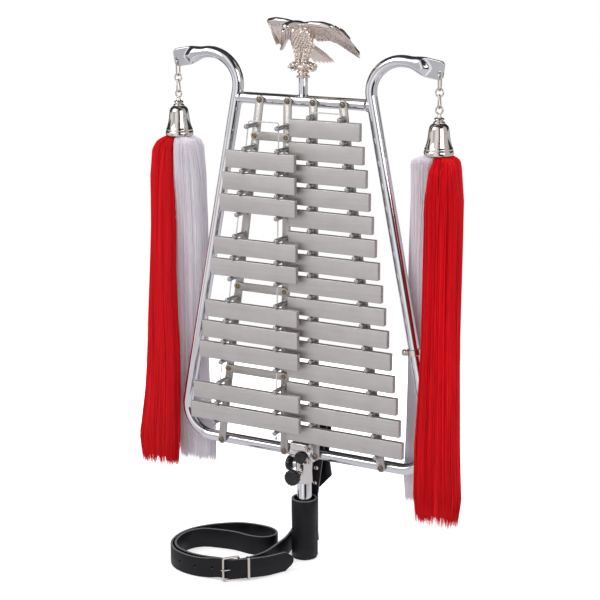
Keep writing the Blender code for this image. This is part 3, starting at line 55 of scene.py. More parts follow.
BMesh = bmesh.types.BMesh
Node = bpy.types.Node
Socket = bpy.types.NodeSocket
Tree = bpy.types.NodeTree
Point = Sequence[float]
Pair = tuple[float, float]
Triple = tuple[float, float, float]
FULL_TURN = 2.0 * math.pi
QUARTER_TURN = math.pi / 2.0
UP = Vector((0.0, 0.0, 1.0))
BACK = Vector((0.0, 1.0, 0.0))
NO_TURN = Matrix.Identity(4)


# Drawing aids


class Sheet:
    """A node tree being drawn, node by node."""

    def __init__(self, tree: Tree) -> None:
        """Take the tree to draw in and empty it."""
        self.tree = tree
        tree.nodes.clear()

    def node(self, kind: str, **settings: object) -> Node:
        """Add a node.

        Args:
            kind: The node's type, without its ShaderNode prefix or with another full name.
            settings: Properties to set on it.

        Returns:
            The new node.
        """
        full = kind if kind.startswith("NodeGroup") else "ShaderNode" + kind
        made = self.tree.nodes.new(full)
        for key, value in settings.items():
            setattr(made, key, value)
        return made

    def wire(self, source: Socket, target: Socket) -> None:
        """Join an output to an input."""
        self.tree.links.new(source, target)

    def feed(self, value: object, target: Socket) -> None:
        """Give an input a number, a colour or another node's output.

        Args:
            value: A number, a colour or an output socket.
            target: The input.
        """
        if isinstance(value, Socket):
            self.wire(value, target)
        else:
            target.default_value = value

    def math(self, operation: str, *values: float | Socket) -> Socket:
        """Add a Math node.

        Args:
            operation: Its operation.
            values: Numbers or output sockets, in the order of its inputs.

        Returns:
            Its output socket.
        """
        made = self.node("Math", operation=operation)
        for socket, value in zip(made.inputs, values):
            self.feed(value, socket)
        return made.outputs[0]

    def weigh(self, *shares: tuple[Socket, float]) -> Socket:
        """Add up sockets, each times its own weight.

        Args:
            shares: Each socket with its weight.

        Returns:
            The sum's socket.
        """
        parts = [self.math('MULTIPLY', socket, weight) for socket, weight in shares]
        total = parts[0]
        for part in parts[1:]:
            total = self.math('ADD', total, part)
        return total

    def cloud(self, place: Socket, scale: float | Socket, detail: float = 2.0,
              roughness: float = 0.5) -> Socket:
        """Add a Noise Texture node and give its value.

        Args:
            place: Where the noise is read.
            scale: Its scale, a number or a socket.
            detail: Its detail.
            roughness: Its roughness.

        Returns:
            The noise's socket.
        """
        made = self.node("TexNoise")
        self.wire(place, made.inputs["Vector"])
        for name, value in (("Scale", scale), ("Detail", detail), ("Roughness", roughness)):
            self.feed(value, made.inputs[name])
        return made.outputs[0]

    def remap(self, value: Socket, low: float, high: float, to_low: float | Socket = 0.0,
              to_high: float | Socket = 1.0) -> Socket:
        """Add a smooth Map Range node.

        Args:
            value: The socket to map.
            low: Start of the range that is read.
            high: End of the range that is read.
            to_low: Number or socket at the start.
            to_high: Number or socket at the end.

        Returns:
            The mapped value's socket.
        """
        made = self.node("MapRange", interpolation_type='SMOOTHSTEP')
        for name, given in (("Value", value), ("From Min", low), ("From Max", high), ("To Min", to_low),
                            ("To Max", to_high)):
            self.feed(given, made.inputs[name])
        return made.outputs["Result"]

    def mixed(self, data: str, kind: str, amount: Socket, ends: Sequence[object]) -> Socket:
        """Add a Mix node between two ends of a kind of data and give its result.

        Args:
            data: The node's kind of data.
            kind: The type of its sockets.
            amount: How much of the second end shows.
            ends: The two ends.

        Returns:
            The result's socket.
        """
        made = self.node("Mix", data_type=data)
        self.wire(amount, made.inputs["Factor"])
        for name, end in zip("AB", ends):
            self.feed(end, next(s for s in made.inputs if s.name == name and s.type == kind))
        return next(s for s in made.outputs if s.type == kind)

    def blend(self, amount: Socket, first: object, second: object) -> Socket:
        """Mix two colours, given as sockets or as RGB triples, by an amount."""
        ends = [end if isinstance(end, Socket) else (*end, 1.0) for end in (first, second)]
        return self.mixed('RGBA', 'RGBA', amount, ends)

    def mix(self, amount: Socket, first: float | Socket, second: float | Socket) -> Socket:
        """Mix two values, given as numbers or sockets, by an amount."""
        return self.mixed('FLOAT', 'VALUE', amount, (first, second))

    def group(self, tree: Tree, **values: object) -> Node:
        """Place a node group with its own values, numbers or sockets by input name.

        Args:
            tree: The node group.
            values: Numbers or sockets by input name, with _ for a space.

        Returns:
            The group's node.
        """
        made = self.node("Group", node_tree=tree)
        for name, value in values.items():
            self.feed(value, made.inputs[name.replace("_", " ")])
        return made


def new_group(name: str, inputs: dict[str, float | None], outputs: Sequence[str],
              draw: Callable[[Sheet, Node, Node], None]) -> Tree:
    """Build a shader node group once.

    Args:
        name: The group's name.
        inputs: Input names with their first values, or None for a vector.
        outputs: Names of the values it puts out.
        draw: Draws the nodes between the group's input and output nodes.

    Returns:
        The node group.
    """
    found = bpy.data.node_groups.get(name)
    if found:
        return found
    tree = bpy.data.node_groups.new(name, 'ShaderNodeTree')
    for label, value in inputs.items():
        kind = 'NodeSocketVector' if value is None else 'NodeSocketFloat'
        socket = tree.interface.new_socket(name=label, in_out='INPUT', socket_type=kind)
        if value is not None:
            socket.default_value = value
    for label in outputs:
        tree.interface.new_socket(name=label, in_out='OUTPUT', socket_type='NodeSocketFloat')
    sheet = Sheet(tree)
    draw(sheet, sheet.node("NodeGroupInput"), sheet.node("NodeGroupOutput"))
    return tree


def streak_group() -> Tree:
    """Long thin lines along one way, for brushed metal, hair and cord.

    Returns:
        The node group.
    """
    def draw(sheet: Sheet, given: Node, result: Node) -> None:
        """Stretch fine noise into lines.

        Args:
            sheet: The node tree to draw in.
            given: The group's input node.
            result: The group's output node.
        """
        stretch = sheet.node("VectorMath", operation='MULTIPLY')
        sheet.wire(given.outputs["Vector"], stretch.inputs[0])
        scales = sheet.node("CombineXYZ")
        for axis in ("X", "Y", "Z"):
            sheet.wire(given.outputs["Scale " + axis], scales.inputs[axis])
        sheet.wire(scales.outputs[0], stretch.inputs[1])
        lines = sheet.cloud(stretch.outputs[0], 1.0, 3.0, 0.65)
        sheet.wire(sheet.remap(lines, 0.30, 0.70), result.inputs["Lines"])
    inputs = {"Vector": None, "Scale X": 40.0, "Scale Y": 2000.0, "Scale Z": 2000.0}
    return new_group("fine streaks", inputs, ("Lines",), draw)


def mottle_group() -> Tree:
    """Soft uneven patches between two values, for handling marks and uneven polish.

    Returns:
        The node group.
    """
    def draw(sheet: Sheet, given: Node, result: Node) -> None:
        """Spread soft patches between the two values.

        Args:
            sheet: The node tree to draw in.
            given: The group's input node.
            result: The group's output node.
        """
        patches = sheet.cloud(given.outputs["Vector"], given.outputs["Scale"], 5.0)
        value = sheet.remap(patches, 0.32, 0.68, given.outputs["Low"], given.outputs["High"])
        sheet.wire(value, result.inputs["Value"])
    inputs = {"Vector": None, "Scale": 60.0, "Low": 0.0, "High": 1.0}
    return new_group("soft mottling", inputs, ("Value",), draw)


def grain_group() -> Tree:
    """Pebbled relief with creases, for leather, cast skin and moulded plastic.

    Returns:
        The node group.
    """
    def draw(sheet: Sheet, given: Node, result: Node) -> None:
        """Raise round pebbles over a slow warp.

        Args:
            sheet: The node tree to draw in.
            given: The group's input node.
            result: The group's output node.
        """
        place = given.outputs["Vector"]
        warp = sheet.cloud(place, sheet.math('MULTIPLY', given.outputs["Scale"], 0.35))
        pebbles = sheet.node("TexVoronoi", feature='F1')
        sheet.wire(place, pebbles.inputs["Vector"])
        sheet.wire(given.outputs["Scale"], pebbles.inputs["Scale"])
        round_tops = sheet.remap(pebbles.outputs["Distance"], 0.05, 0.75, 1.0, 0.0)
        sheet.wire(sheet.weigh((round_tops, 0.7), (warp, 0.6)), result.inputs["Height"])
        # Crease marks the gaps between pebbles; the leather paints shade there with it.
        sheet.wire(sheet.remap(round_tops, 0.0, 0.45, 1.0, 0.0), result.inputs["Crease"])
    return new_group("pebbled grain", {"Vector": None, "Scale": 900.0}, ("Height", "Crease"), draw)


def dust_group() -> Tree:
    """Thin dust that lies where a face looks up, broken up by noise.

    Returns:
        The node group.
    """
    def draw(sheet: Sheet, given: Node, result: Node) -> None:
        """Lay specks where the surface looks up.

        Args:
            sheet: The node tree to draw in.
            given: The group's input node.
            result: The group's output node.
        """
        geometry = sheet.node("NewGeometry")
        parts = sheet.node("SeparateXYZ")
        sheet.wire(geometry.outputs["Normal"], parts.inputs[0])
        specks = sheet.cloud(given.outputs["Vector"], given.outputs["Scale"], 6.0)
        upward = sheet.remap(parts.outputs["Z"], 0.2, 0.95)
        mask = sheet.math('MULTIPLY', upward, sheet.remap(specks, 0.42, 0.72))
        sheet.wire(sheet.math('MULTIPLY', mask, given.outputs["Amount"]), result.inputs["Mask"])
    inputs = {"Vector": None, "Scale": 180.0, "Amount": 0.3}
    return new_group("resting dust", inputs, ("Mask",), draw)


# Finishes

DUST = (0.55, 0.54, 0.52)
DARK_DUST = (0.06, 0.058, 0.056)
WHITE = (1.0, 1.0, 1.0, 1.0)


@dataclass(frozen=True)
class Finish:
    """A material by name, with the name of a slot.

    Attributes:
        name: Name of the material.
        slot: Name of a material slot; not used.
        colour: Linear base colour.
        roughness: Middle roughness.
    """

    name: str
    slot: str
    colour: Triple
    roughness: float

    def material(self) -> bpy.types.Material:
        """Give the finish's material, drawn on first use.

        Returns:
            The material.
        """
        found = bpy.data.materials.get(self.name)
        if found:
            return found
        made = bpy.data.materials.new(self.name)
        made.use_nodes = True
        sheet = Sheet(made.node_tree)
        shader = sheet.node("BsdfPrincipled")
        output = sheet.node("OutputMaterial")
        sheet.wire(shader.outputs["BSDF"], output.inputs["Surface"])
        shader.inputs["Base Color"].default_value = (*self.colour, 1.0)
        shader.inputs["Roughness"].default_value = self.roughness
        place = sheet.node("TexCoord").outputs["Object"]
        self.draw(sheet, shader, place)
        return made

    def draw(self, sheet: Sheet, shader: Node, place: Socket) -> None:
        """Draw what is particular to the finish between the coordinates and the shader."""
        raise NotImplementedError

    @staticmethod
    def relief(sheet: Sheet, shader: Node, height: Socket, strength: float,
               distance: float) -> None:
        """Feed a height through a Bump node to the shader's normal.

        Args:
            sheet: The node tree to draw in.
            shader: The material's shader.
            height: The height's socket.
            strength: Strength of the relief.
            distance: Depth of the relief, in metres.
        """
        bump = sheet.node("Bump")
        bump.inputs["Strength"].default_value = strength
        bump.inputs["Distance"].default_value = distance
        sheet.wire(height, bump.inputs["Height"])
        sheet.wire(bump.outputs["Normal"], shader.inputs["Normal"])

    def shade(self, factor: float) -> Triple:
        """The base colour, lighter or darker by a factor."""
        return tuple(min(1.0, part * factor) for part in self.colour)


@dataclass(frozen=True)
class PlatedFinish(Finish):
    """Bright plated metal with faint handling marks.

    Attributes:
        smudge: How far the roughness rises in the marks.
        ripple: Strength of the slight waviness.
        cast: Strength of a cast skin's fine pits.
    """

    smudge: float = 0.05
    ripple: float = 0.03
    cast: float = 0.0

    def draw(self, sheet: Sheet, shader: Node, place: Socket) -> None:
        """Plate the surface.

        Args:
            sheet: The node tree to draw in.
            shader: The material's shader.
            place: The object coordinates.
        """
        shader.inputs["Metallic"].default_value = 1.0
        marks = sheet.group(mottle_group(), Vector=place, Scale=70.0, Low=self.roughness,
                            High=self.roughness + self.smudge)
        dust = sheet.group(dust_group(), Vector=place, Scale=240.0, Amount=0.10)
        rough = sheet.math('ADD', marks.outputs["Value"], dust.outputs["Mask"])
        sheet.wire(rough, shader.inputs["Roughness"])
        tone = sheet.group(mottle_group(), Vector=place, Scale=28.0)
        colour = sheet.blend(tone.outputs["Value"], self.shade(0.94), self.shade(1.03))
        sheet.wire(colour, shader.inputs["Base Color"])
        waves = sheet.cloud(place, 55.0)
        if self.cast > 0.0:
            skin = sheet.group(grain_group(), Vector=place, Scale=1100.0)
            height = sheet.math('ADD', waves, sheet.math('MULTIPLY', skin.outputs["Height"], self.cast))
            self.relief(sheet, shader, height, 0.30, 0.0004)
        else:
            self.relief(sheet, shader, waves, self.ripple, 0.002)


@dataclass(frozen=True)
class BrushedFinish(Finish):
    """Satin metal with fine brush lines along one axis.

    Attributes:
        along: Scale of the lines along X, Y and Z, the lowest being the brushed way.
        metallic: How metallic the surface is.
        depth: Depth of the lines' relief, in metres.
    """

    along: Triple = (30.0, 2400.0, 2400.0)
    metallic: float = 0.85
    depth: float = 0.00003

    def draw(self, sheet: Sheet, shader: Node, place: Socket) -> None:
        """Brush the surface.

        Args:
            sheet: The node tree to draw in.
            shader: The material's shader.
            place: The object coordinates.
        """
        shader.inputs["Metallic"].default_value = self.metallic
        x, y, z = self.along
        lines = sheet.group(streak_group(), Vector=place, Scale_X=x, Scale_Y=y, Scale_Z=z)
        broad = sheet.group(streak_group(), Vector=place, Scale_X=x * 0.3, Scale_Y=y * 0.12, Scale_Z=z * 0.12)
        patches = sheet.group(mottle_group(), Vector=place, Scale=38.0)
        dust = sheet.group(dust_group(), Vector=place, Scale=300.0, Amount=0.25)
        tone = sheet.weigh((lines.outputs["Lines"], 0.35), (broad.outputs["Lines"], 0.35),
                           (patches.outputs["Value"], 0.30))
        colour = sheet.blend(tone, self.shade(0.90), self.shade(1.09))
        sheet.wire(sheet.blend(dust.outputs["Mask"], colour, DUST), shader.inputs["Base Color"])
        rough = sheet.remap(lines.outputs["Lines"], 0.0, 1.0, self.roughness - 0.05, self.roughness + 0.07)
        sheet.wire(rough, shader.inputs["Roughness"])
        self.relief(sheet, shader, lines.outputs["Lines"], 0.35, self.depth)


@dataclass(frozen=True)
class PlasticFinish(Finish):
    """Moulded plastic with a fine matt skin and rubbed high spots."""

    def draw(self, sheet: Sheet, shader: Node, place: Socket) -> None:
        """Mould the surface.

        Args:
            sheet: The node tree to draw in.
            shader: The material's shader.
            place: The object coordinates.
        """
        skin = sheet.group(grain_group(), Vector=place, Scale=2600.0)
        worn = sheet.group(mottle_group(), Vector=place, Scale=240.0)
        dust = sheet.group(dust_group(), Vector=place, Scale=420.0, Amount=0.35)
        colour = sheet.blend(worn.outputs["Value"], self.shade(0.8), self.shade(1.6))
        sheet.wire(sheet.blend(dust.outputs["Mask"], colour, DARK_DUST), shader.inputs["Base Color"])
        rough = sheet.remap(worn.outputs["Value"], 0.0, 1.0, self.roughness + 0.06, self.roughness - 0.10)
        sheet.wire(rough, shader.inputs["Roughness"])
        self.relief(sheet, shader, skin.outputs["Height"], 0.25, 0.00008)


@dataclass(frozen=True)
class LeatherFinish(Finish):
    """Dyed leather with grain, rubbed patches, painted shade in the grain's creases and pale cut edges.

    Attributes:
        edge_colour: Linear colour of the cut edges, where the attribute cut_edge is 1.
    """

    edge_colour: Triple = (0.16, 0.155, 0.17)

    def draw(self, sheet: Sheet, shader: Node, place: Socket) -> None:
        """Tan the surface.

        Args:
            sheet: The node tree to draw in.
            shader: The material's shader.
            place: The object coordinates.
        """
        grain = sheet.group(grain_group(), Vector=place, Scale=1050.0)
        coarse = sheet.group(grain_group(), Vector=place, Scale=420.0)
        rub = sheet.group(mottle_group(), Vector=place, Scale=34.0)
        cut = sheet.node("Attribute", attribute_name="cut_edge").outputs["Fac"]
        fibre = sheet.group(mottle_group(), Vector=place, Scale=900.0, Low=0.6, High=1.15)
        rubbed_tone_and_crease_shade = sheet.blend(rub.outputs["Value"], self.shade(0.75), self.shade(1.5))
        # Painted shade: the grain's creases are darkened towards a third of the base colour.
        rubbed_tone_and_crease_shade = sheet.blend(sheet.math('MULTIPLY', grain.outputs["Crease"], 0.55), rubbed_tone_and_crease_shade, self.shade(0.35))
        dark_fibre = tuple(part * 0.45 for part in self.edge_colour)
        raw = sheet.blend(fibre.outputs["Value"], dark_fibre, self.edge_colour)
        sheet.wire(sheet.blend(cut, rubbed_tone_and_crease_shade, raw), shader.inputs["Base Color"])
        rough = sheet.remap(rub.outputs["Value"], 0.0, 1.0, self.roughness + 0.08, self.roughness - 0.10)
        rough = sheet.math('ADD', rough, sheet.math('MULTIPLY', cut, 0.25))
        sheet.wire(rough, shader.inputs["Roughness"])
        shader.inputs["Specular IOR Level"].default_value = 0.32
        height = sheet.weigh((grain.outputs["Height"], 0.6), (coarse.outputs["Height"], 0.4))
        self.relief(sheet, shader, height, 0.38, 0.00022)


@dataclass(frozen=True)
class HairFinish(Finish):
    """Long hair: a tint for each strand and streaks down its length.

    Attributes:
        dark: Linear colour of the darkest strands.
        light: Linear colour of the lightest strands.
    """

    dark: Triple = (0.1, 0.1, 0.1)
    light: Triple = (0.9, 0.9, 0.9)

    def draw(self, sheet: Sheet, shader: Node, place: Socket) -> None:
        """Dye the hair.

        Args:
            sheet: The node tree to draw in.
            shader: The material's shader.
            place: The object coordinates.
        """
        # The tint is random for each strand and low on the core, where it is painted shade.
        tint = sheet.node("Attribute", attribute_name="tint").outputs["Fac"]
        streaks = sheet.group(streak_group(), Vector=place, Scale_X=520.0, Scale_Y=520.0, Scale_Z=9.0)
        locks = sheet.group(streak_group(), Vector=place, Scale_X=120.0, Scale_Y=120.0, Scale_Z=4.0)
        lines = streaks.outputs["Lines"]
        mixed = sheet.weigh((tint, 0.45), (lines, 0.25), (locks.outputs["Lines"], 0.30))
        sheet.wire(sheet.blend(mixed, self.dark, self.light), shader.inputs["Base Color"])
        rough = sheet.remap(lines, 0.0, 1.0, self.roughness - 0.06, self.roughness + 0.10)
        sheet.wire(rough, shader.inputs["Roughness"])
        shader.inputs["Specular IOR Level"].default_value = 0.15
        self.relief(sheet, shader, lines, 0.25, 0.0002)


@dataclass(frozen=True)
class CordFinish(Finish):
    """Pale twisted cord with fine fibres and a little soil."""

    def draw(self, sheet: Sheet, shader: Node, place: Socket) -> None:
        """Twist the cord.

        Args:
            sheet: The node tree to draw in.
            shader: The material's shader.
            place: The object coordinates.
        """
        fibres = sheet.group(streak_group(), Vector=place, Scale_X=1500.0, Scale_Y=1500.0, Scale_Z=500.0)
        soil = sheet.group(mottle_group(), Vector=place, Scale=90.0)
        lines = fibres.outputs["Lines"]
        tone = sheet.weigh((lines, 0.5), (soil.outputs["Value"], 0.5))
        sheet.wire(sheet.blend(tone, self.shade(0.78), self.shade(1.06)), shader.inputs["Base Color"])
        rough = sheet.remap(lines, 0.0, 1.0, self.roughness, self.roughness + 0.15)
        sheet.wire(rough, shader.inputs["Roughness"])
        self.relief(sheet, shader, lines, 0.5, 0.00012)


CHROME = PlatedFinish("polished chrome", "chrome", (0.78, 0.78, 0.80), 0.05, smudge=0.05, ripple=0.02)
NICKEL = PlatedFinish("warm nickel plate", "nickel", (0.74, 0.685, 0.63), 0.06, smudge=0.08, ripple=0.03)
CAST_NICKEL = PlatedFinish("nickel plated casting", "nickel", (0.82, 0.715, 0.635), 0.22, smudge=0.10,
                           cast=0.25)
CLAMP_METAL = PlatedFinish("polished clamp casting", "nickel", (0.74, 0.715, 0.685), 0.10, smudge=0.10,
                           ripple=0.10)
BAR_METAL = BrushedFinish("satin bar metal", "bar_metal", (0.585, 0.563, 0.548), 0.46)
RAIL_METAL = BrushedFinish("zinc plated strip", "rail_metal", (0.52, 0.50, 0.475), 0.42,
                           along=(1500.0, 1500.0, 30.0))
POST_METAL = BrushedFinish("grey plated post", "rail_metal", (0.44, 0.43, 0.44), 0.30,
                           along=(900.0, 300.0, 900.0))
BRASS = PlatedFinish("aged brass eyelet", "rail_metal", (0.42, 0.31, 0.17), 0.24, smudge=0.15, ripple=0.05)
SCREW_METAL = PlatedFinish("grey brown screw", "rail_metal", (0.27, 0.225, 0.18), 0.28, smudge=0.15,
                           ripple=0.05)
KNOB_PLASTIC = PlasticFinish("black moulded knob", "knob_plastic", (0.0065, 0.0058, 0.0075), 0.34)
LEATHER = LeatherFinish("black leather", "leather", (0.0030, 0.0020, 0.0034), 0.46)
CORD_FIBRE = CordFinish("pale braided cord", "cord", (0.72, 0.71, 0.70), 0.55)
RED_HAIR = HairFinish("red hair", "red_hair", (0.7, 0.01, 0.02), 0.52, dark=(0.47, 0.0008, 0.0050),
                      light=(0.95, 0.007, 0.016))
WHITE_HAIR = HairFinish("white hair", "white_hair", (0.7, 0.7, 0.75), 0.50, dark=(0.76, 0.71, 0.79),
                        light=(0.95, 0.92, 0.97))


# Shaping aids


def add_rod(bm: BMesh, start: Point, end: Point, radius: float, end_radius: float | None = None,
            segments: int = 20, edge: float = 0.0) -> None:
    """Add a round bar or cone between two points.

    Args:
        bm: The mesh to add to.
        start: Centre of the first end.
        end: Centre of the other end.
        radius: Radius at the start.
        end_radius: Radius at the end, the same if left out.
        segments: Number of sides.
        edge: Width of the bevel round both ends.
    """
    first = Vector(start)
    run = Vector(end) - first
    place = Matrix.Translation(first + run / 2.0) @ run.to_track_quat('Z', 'Y').to_matrix().to_4x4()
    far_radius = radius if end_radius is None else end_radius
    made = bmesh.ops.create_cone(bm, cap_ends=True, segments=segments, radius1=radius, radius2=far_radius,
                                 depth=run.length, matrix=place)
    if edge > 0.0:
        rims = {e for v in made["verts"] for e in v.link_edges if any(len(f.verts) > 4 for f in e.link_faces)}
        bevel(bm, rims, edge)


def bevel(bm: BMesh, edges: set[bmesh.types.BMEdge] | list[bmesh.types.BMEdge], offset: float,
          segments: int = 2) -> None:
    """Round edges off."""
    bmesh.ops.bevel(bm, geom=list(edges), offset=offset, segments=segments, profile=0.5, affect='EDGES',
                    material=-1)


def add_block(bm: BMesh, low: Point, high: Point, edge: float = 0.0, segments: int = 2,
              place: Matrix | None = None) -> None:
    """Add a box between two corners, bevelled and then moved by a matrix.

    Args:
        bm: The mesh to add to.
        low: Its lowest corner.
        high: Its highest corner.
        edge: Radius of its edges.
        segments: Steps of its edges.
        place: Where it is moved.
    """
    low_corner = Vector(low)
    size = Vector(high) - low_corner
    made = bmesh.ops.create_cube(bm, size=1.0)
    bmesh.ops.scale(bm, vec=size, verts=made["verts"])
    bmesh.ops.translate(bm, vec=low_corner + size / 2.0, verts=made["verts"])
    if place is not None:
        bmesh.ops.transform(bm, matrix=place, verts=made["verts"])
    if edge > 0.0:
        bevel(bm, {e for v in made["verts"] for e in v.link_edges}, edge, segments)


def add_ball(bm: BMesh, centre: Point, radii: Point, turn: Matrix | None = None,
             segments: int = 16) -> list[bmesh.types.BMVert]:
    """Add an ellipsoid with its own turn and give its vertices.

    Args:
        bm: The mesh to add to.
        centre: Its centre.
        radii: Its three half sizes.
        turn: Its turn.
        segments: Number of its sides.

    Returns:
        Its vertices.
    """
    place = Matrix.Translation(Vector(centre)) @ (turn or NO_TURN) @ Matrix.Diagonal((*radii, 1.0))
    rings = max(6, segments * 5 // 8)
    made = bmesh.ops.create_uvsphere(bm, u_segments=segments, v_segments=rings, radius=1.0, matrix=place)
    return made["verts"]


def add_turned(bm: BMesh, profile: Sequence[Pair], place: Matrix, steps: int = 24) -> None:
    """Spin a profile of radius and height about an axis.

    Args:
        bm: The mesh to add to.
        profile: Radius and height of each point, from one pole to the other.
        place: Where the axis stands; it runs along the matrix's own Z.
        steps: Number of sides.
    """
    made = bmesh.new()
    verts = [made.verts.new((radius, 0.0, height)) for radius, height in profile]
    edges = [made.edges.new(pair) for pair in zip(verts, verts[1:])]
    bmesh.ops.spin(made, geom=verts + edges, cent=(0.0, 0.0, 0.0), axis=(0.0, 0.0, 1.0), angle=FULL_TURN,
                   steps=steps, use_merge=True, use_duplicate=False)
    bmesh.ops.remove_doubles(made, verts=made.verts, dist=0.000002)
    bmesh.ops.recalc_face_normals(made, faces=made.faces)
    bmesh.ops.transform(made, matrix=place, verts=made.verts)
    add_mesh(bm, made)


def add_mesh(bm: BMesh, other: BMesh) -> None:
    """Add another mesh's geometry and free it.

    Args:
        bm: The mesh to add to.
        other: The mesh to add, which is freed.
    """
    holder = bpy.data.meshes.new("holder")
    other.to_mesh(holder)
    other.free()
    bm.from_mesh(holder)
    bpy.data.meshes.remove(holder)


def smooth_route(points: Sequence[Point], parts: int, closed: bool = False) -> list[Vector]:
    """Points of a smooth curve through the given ones, each span in equal parts.

    Args:
        points: The points it passes.
        parts: Parts of each span.
        closed: Whether its end runs on into its start.

    Returns:
        The curve's points.
    """
    knots = [Vector(point) for point in points]
    if closed:
        padded = [knots[-1]] + knots + knots[:2]
    else:
        padded = [knots[0] * 2.0 - knots[1]] + knots + [knots[-1] * 2.0 - knots[-2]]
    route = []
    for i in range(len(padded) - 3):
        a, b, c, d = padded[i:i + 4]
        for j in range(parts):
            t = j / parts
            route.append(0.5 * (2.0 * b + (c - a) * t + (2.0 * a - 5.0 * b + 4.0 * c - d) * t * t
                                + (3.0 * b - a - 3.0 * c + d) * t * t * t))
    if not closed:
        route.append(knots[-1])
    return route


def route_frames(points: Sequence[Vector], closed: bool = False, side: Vector | None = None) -> list[Matrix]:
    """Frames along a route that don't twist: local Z runs along it.

    Args:
        points: The route.
        closed: Whether its end runs on into its start.
        side: Wanted direction of local Y, kept square to the route.

    Returns:
        A matrix at each point.
    """
    count = len(points)
    ways = []
    for i in range(count):
        before = points[i - 1] if i > 0 or closed else points[0]
        after = points[(i + 1) % count] if i < count - 1 or closed else points[-1]
        ways.append((after - before).normalized())
    hint = side if side is not None else ways[0].orthogonal()
    frames = []
    for i, way in enumerate(ways):
        if side is None and i > 0:
            hint = ways[i - 1].rotation_difference(way) @ hint
        flat = (hint - way * hint.dot(way)).normalized()
        across = flat.cross(way)
        turn = Matrix((across, flat, way)).transposed().to_4x4()
        frames.append(Matrix.Translation(points[i]) @ turn)
    return frames


def add_sweep(bm: BMesh, outline: Sequence[Pair], frames: Sequence[Matrix],
              closed: bool = False) -> None:
    """Carry a closed outline along frames by extruding its edge loop from each to the next.

    Args:
        bm: The mesh to add to.
        outline: Points of the outline in a frame's own X and Y.
        frames: Where it stands along the route.
        closed: Whether the last ring joins the first; open ends are filled.
    """
    made = bmesh.new()
    ring = [made.verts.new(frames[0] @ Vector((u, v, 0.0))) for u, v in outline]
    edges = [made.edges.new(pair) for pair in zip(ring, ring[1:] + ring[:1])]
    first = list(edges)
    for before, after in zip(frames, frames[1:]):
        grown = bmesh.ops.extrude_edge_only(made, edges=edges)["geom"]
        verts = [item for item in grown if isinstance(item, bmesh.types.BMVert)]
        fresh = set(verts)
        edges = [item for item in grown if isinstance(item, bmesh.types.BMEdge) and set(item.verts) <= fresh]
        bmesh.ops.transform(made, matrix=after @ before.inverted(), verts=verts)
    if closed:
        bmesh.ops.bridge_loops(made, edges=first + edges)
    else:
        bmesh.ops.edgeloop_fill(made, edges=first)
        bmesh.ops.edgeloop_fill(made, edges=edges)
    bmesh.ops.recalc_face_normals(made, faces=made.faces)
    add_mesh(bm, made)


def circle(radius: float, sides: int) -> list[Pair]:
    """A round outline."""
    return [(radius * math.cos(FULL_TURN * i / sides), radius * math.sin(FULL_TURN * i / sides))
            for i in range(sides)]


def ring_of(centre: Vector, first: Vector, second: Vector, count: int) -> list[Vector]:
    """Points of a ring about a centre, from two square radii."""
    angles = [FULL_TURN * i / count for i in range(count)]
    return [centre + first * math.cos(angle) + second * math.sin(angle) for angle in angles]


def sized(place: Matrix, size: float) -> Matrix:
    """A frame with its outline made larger or smaller."""
    return place @ Matrix.Diagonal((size, size, 1.0, 1.0))


def eased(share: float) -> float:
    """A share held between 0 and 1, slow at both ends."""
    held = min(1.0, max(0.0, share))
    return held * held * (3.0 - 2.0 * held)


def rounded_outline(width: float, height: float, corner: float, steps: int = 3) -> list[Pair]:
    """A rectangle with round corners, as an outline about its middle.

    Args:
        width: Size along X.
        height: Size along Y.
        corner: Radius of the corners.
        steps: Steps of a corner.

    Returns:
        The outline's points.
    """
    outline = []
    for quarter, (sx, sy) in enumerate(((1, 1), (-1, 1), (-1, -1), (1, -1))):
        for i in range(steps + 1):
            angle = QUARTER_TURN * (quarter + i / steps)
            outline.append((sx * (width / 2.0 - corner) + corner * math.cos(angle),
                            sy * (height / 2.0 - corner) + corner * math.sin(angle)))
    return outline


def carve(bm: BMesh, cutter: BMesh) -> BMesh:
    """Cut one closed mesh away from another with the exact solver and give the result.

    Args:
        bm: The mesh to cut, which is freed.
        cutter: What is cut away, which is freed.

    Returns:
        The cut mesh.
    """
    meshes = []
    for name, source in (("blank", bm), ("cutter", cutter)):
        mesh = bpy.data.meshes.new(name)
        source.to_mesh(mesh)
        source.free()
        meshes.append(mesh)
    objects = [bpy.data.objects.new(mesh.name, mesh) for mesh in meshes]
    for obj in objects:
        bpy.context.scene.collection.objects.link(obj)
    step = objects[0].modifiers.new("carve", 'BOOLEAN')
    step.operation = 'DIFFERENCE'
    step.solver = 'EXACT'
    step.object = objects[1]
    bpy.context.view_layer.update()
    evaluated = objects[0].evaluated_get(bpy.context.evaluated_depsgraph_get())
    carved = bpy.data.meshes.new_from_object(evaluated)
    result = bmesh.new()
    result.from_mesh(carved)
    for obj in objects:
        bpy.data.objects.remove(obj, do_unlink=True)
    for mesh in meshes + [carved]:
        bpy.data.meshes.remove(mesh)
    return result


def finish_piece(name: str, bm: BMesh, finish: Finish, body: str, nodes: Sequence[str] = (),
                 smooth: float = 38.0) -> bpy.types.Object:
    """Turn a mesh into a finished piece.

    Args:
        name: The piece's name.
        bm: Its mesh, in place.
        finish: Its finish.
        body: The body it moves with.
        nodes: The frame's nodes it stands for.
        smooth: Angle in degrees up to which edges look smooth.

    Returns:
        The piece's object.
    """
    mesh = bpy.data.meshes.new(name)
    bm.to_mesh(mesh)
    bm.free()
    return dress_mesh(name, mesh, finish, body, nodes, smooth)


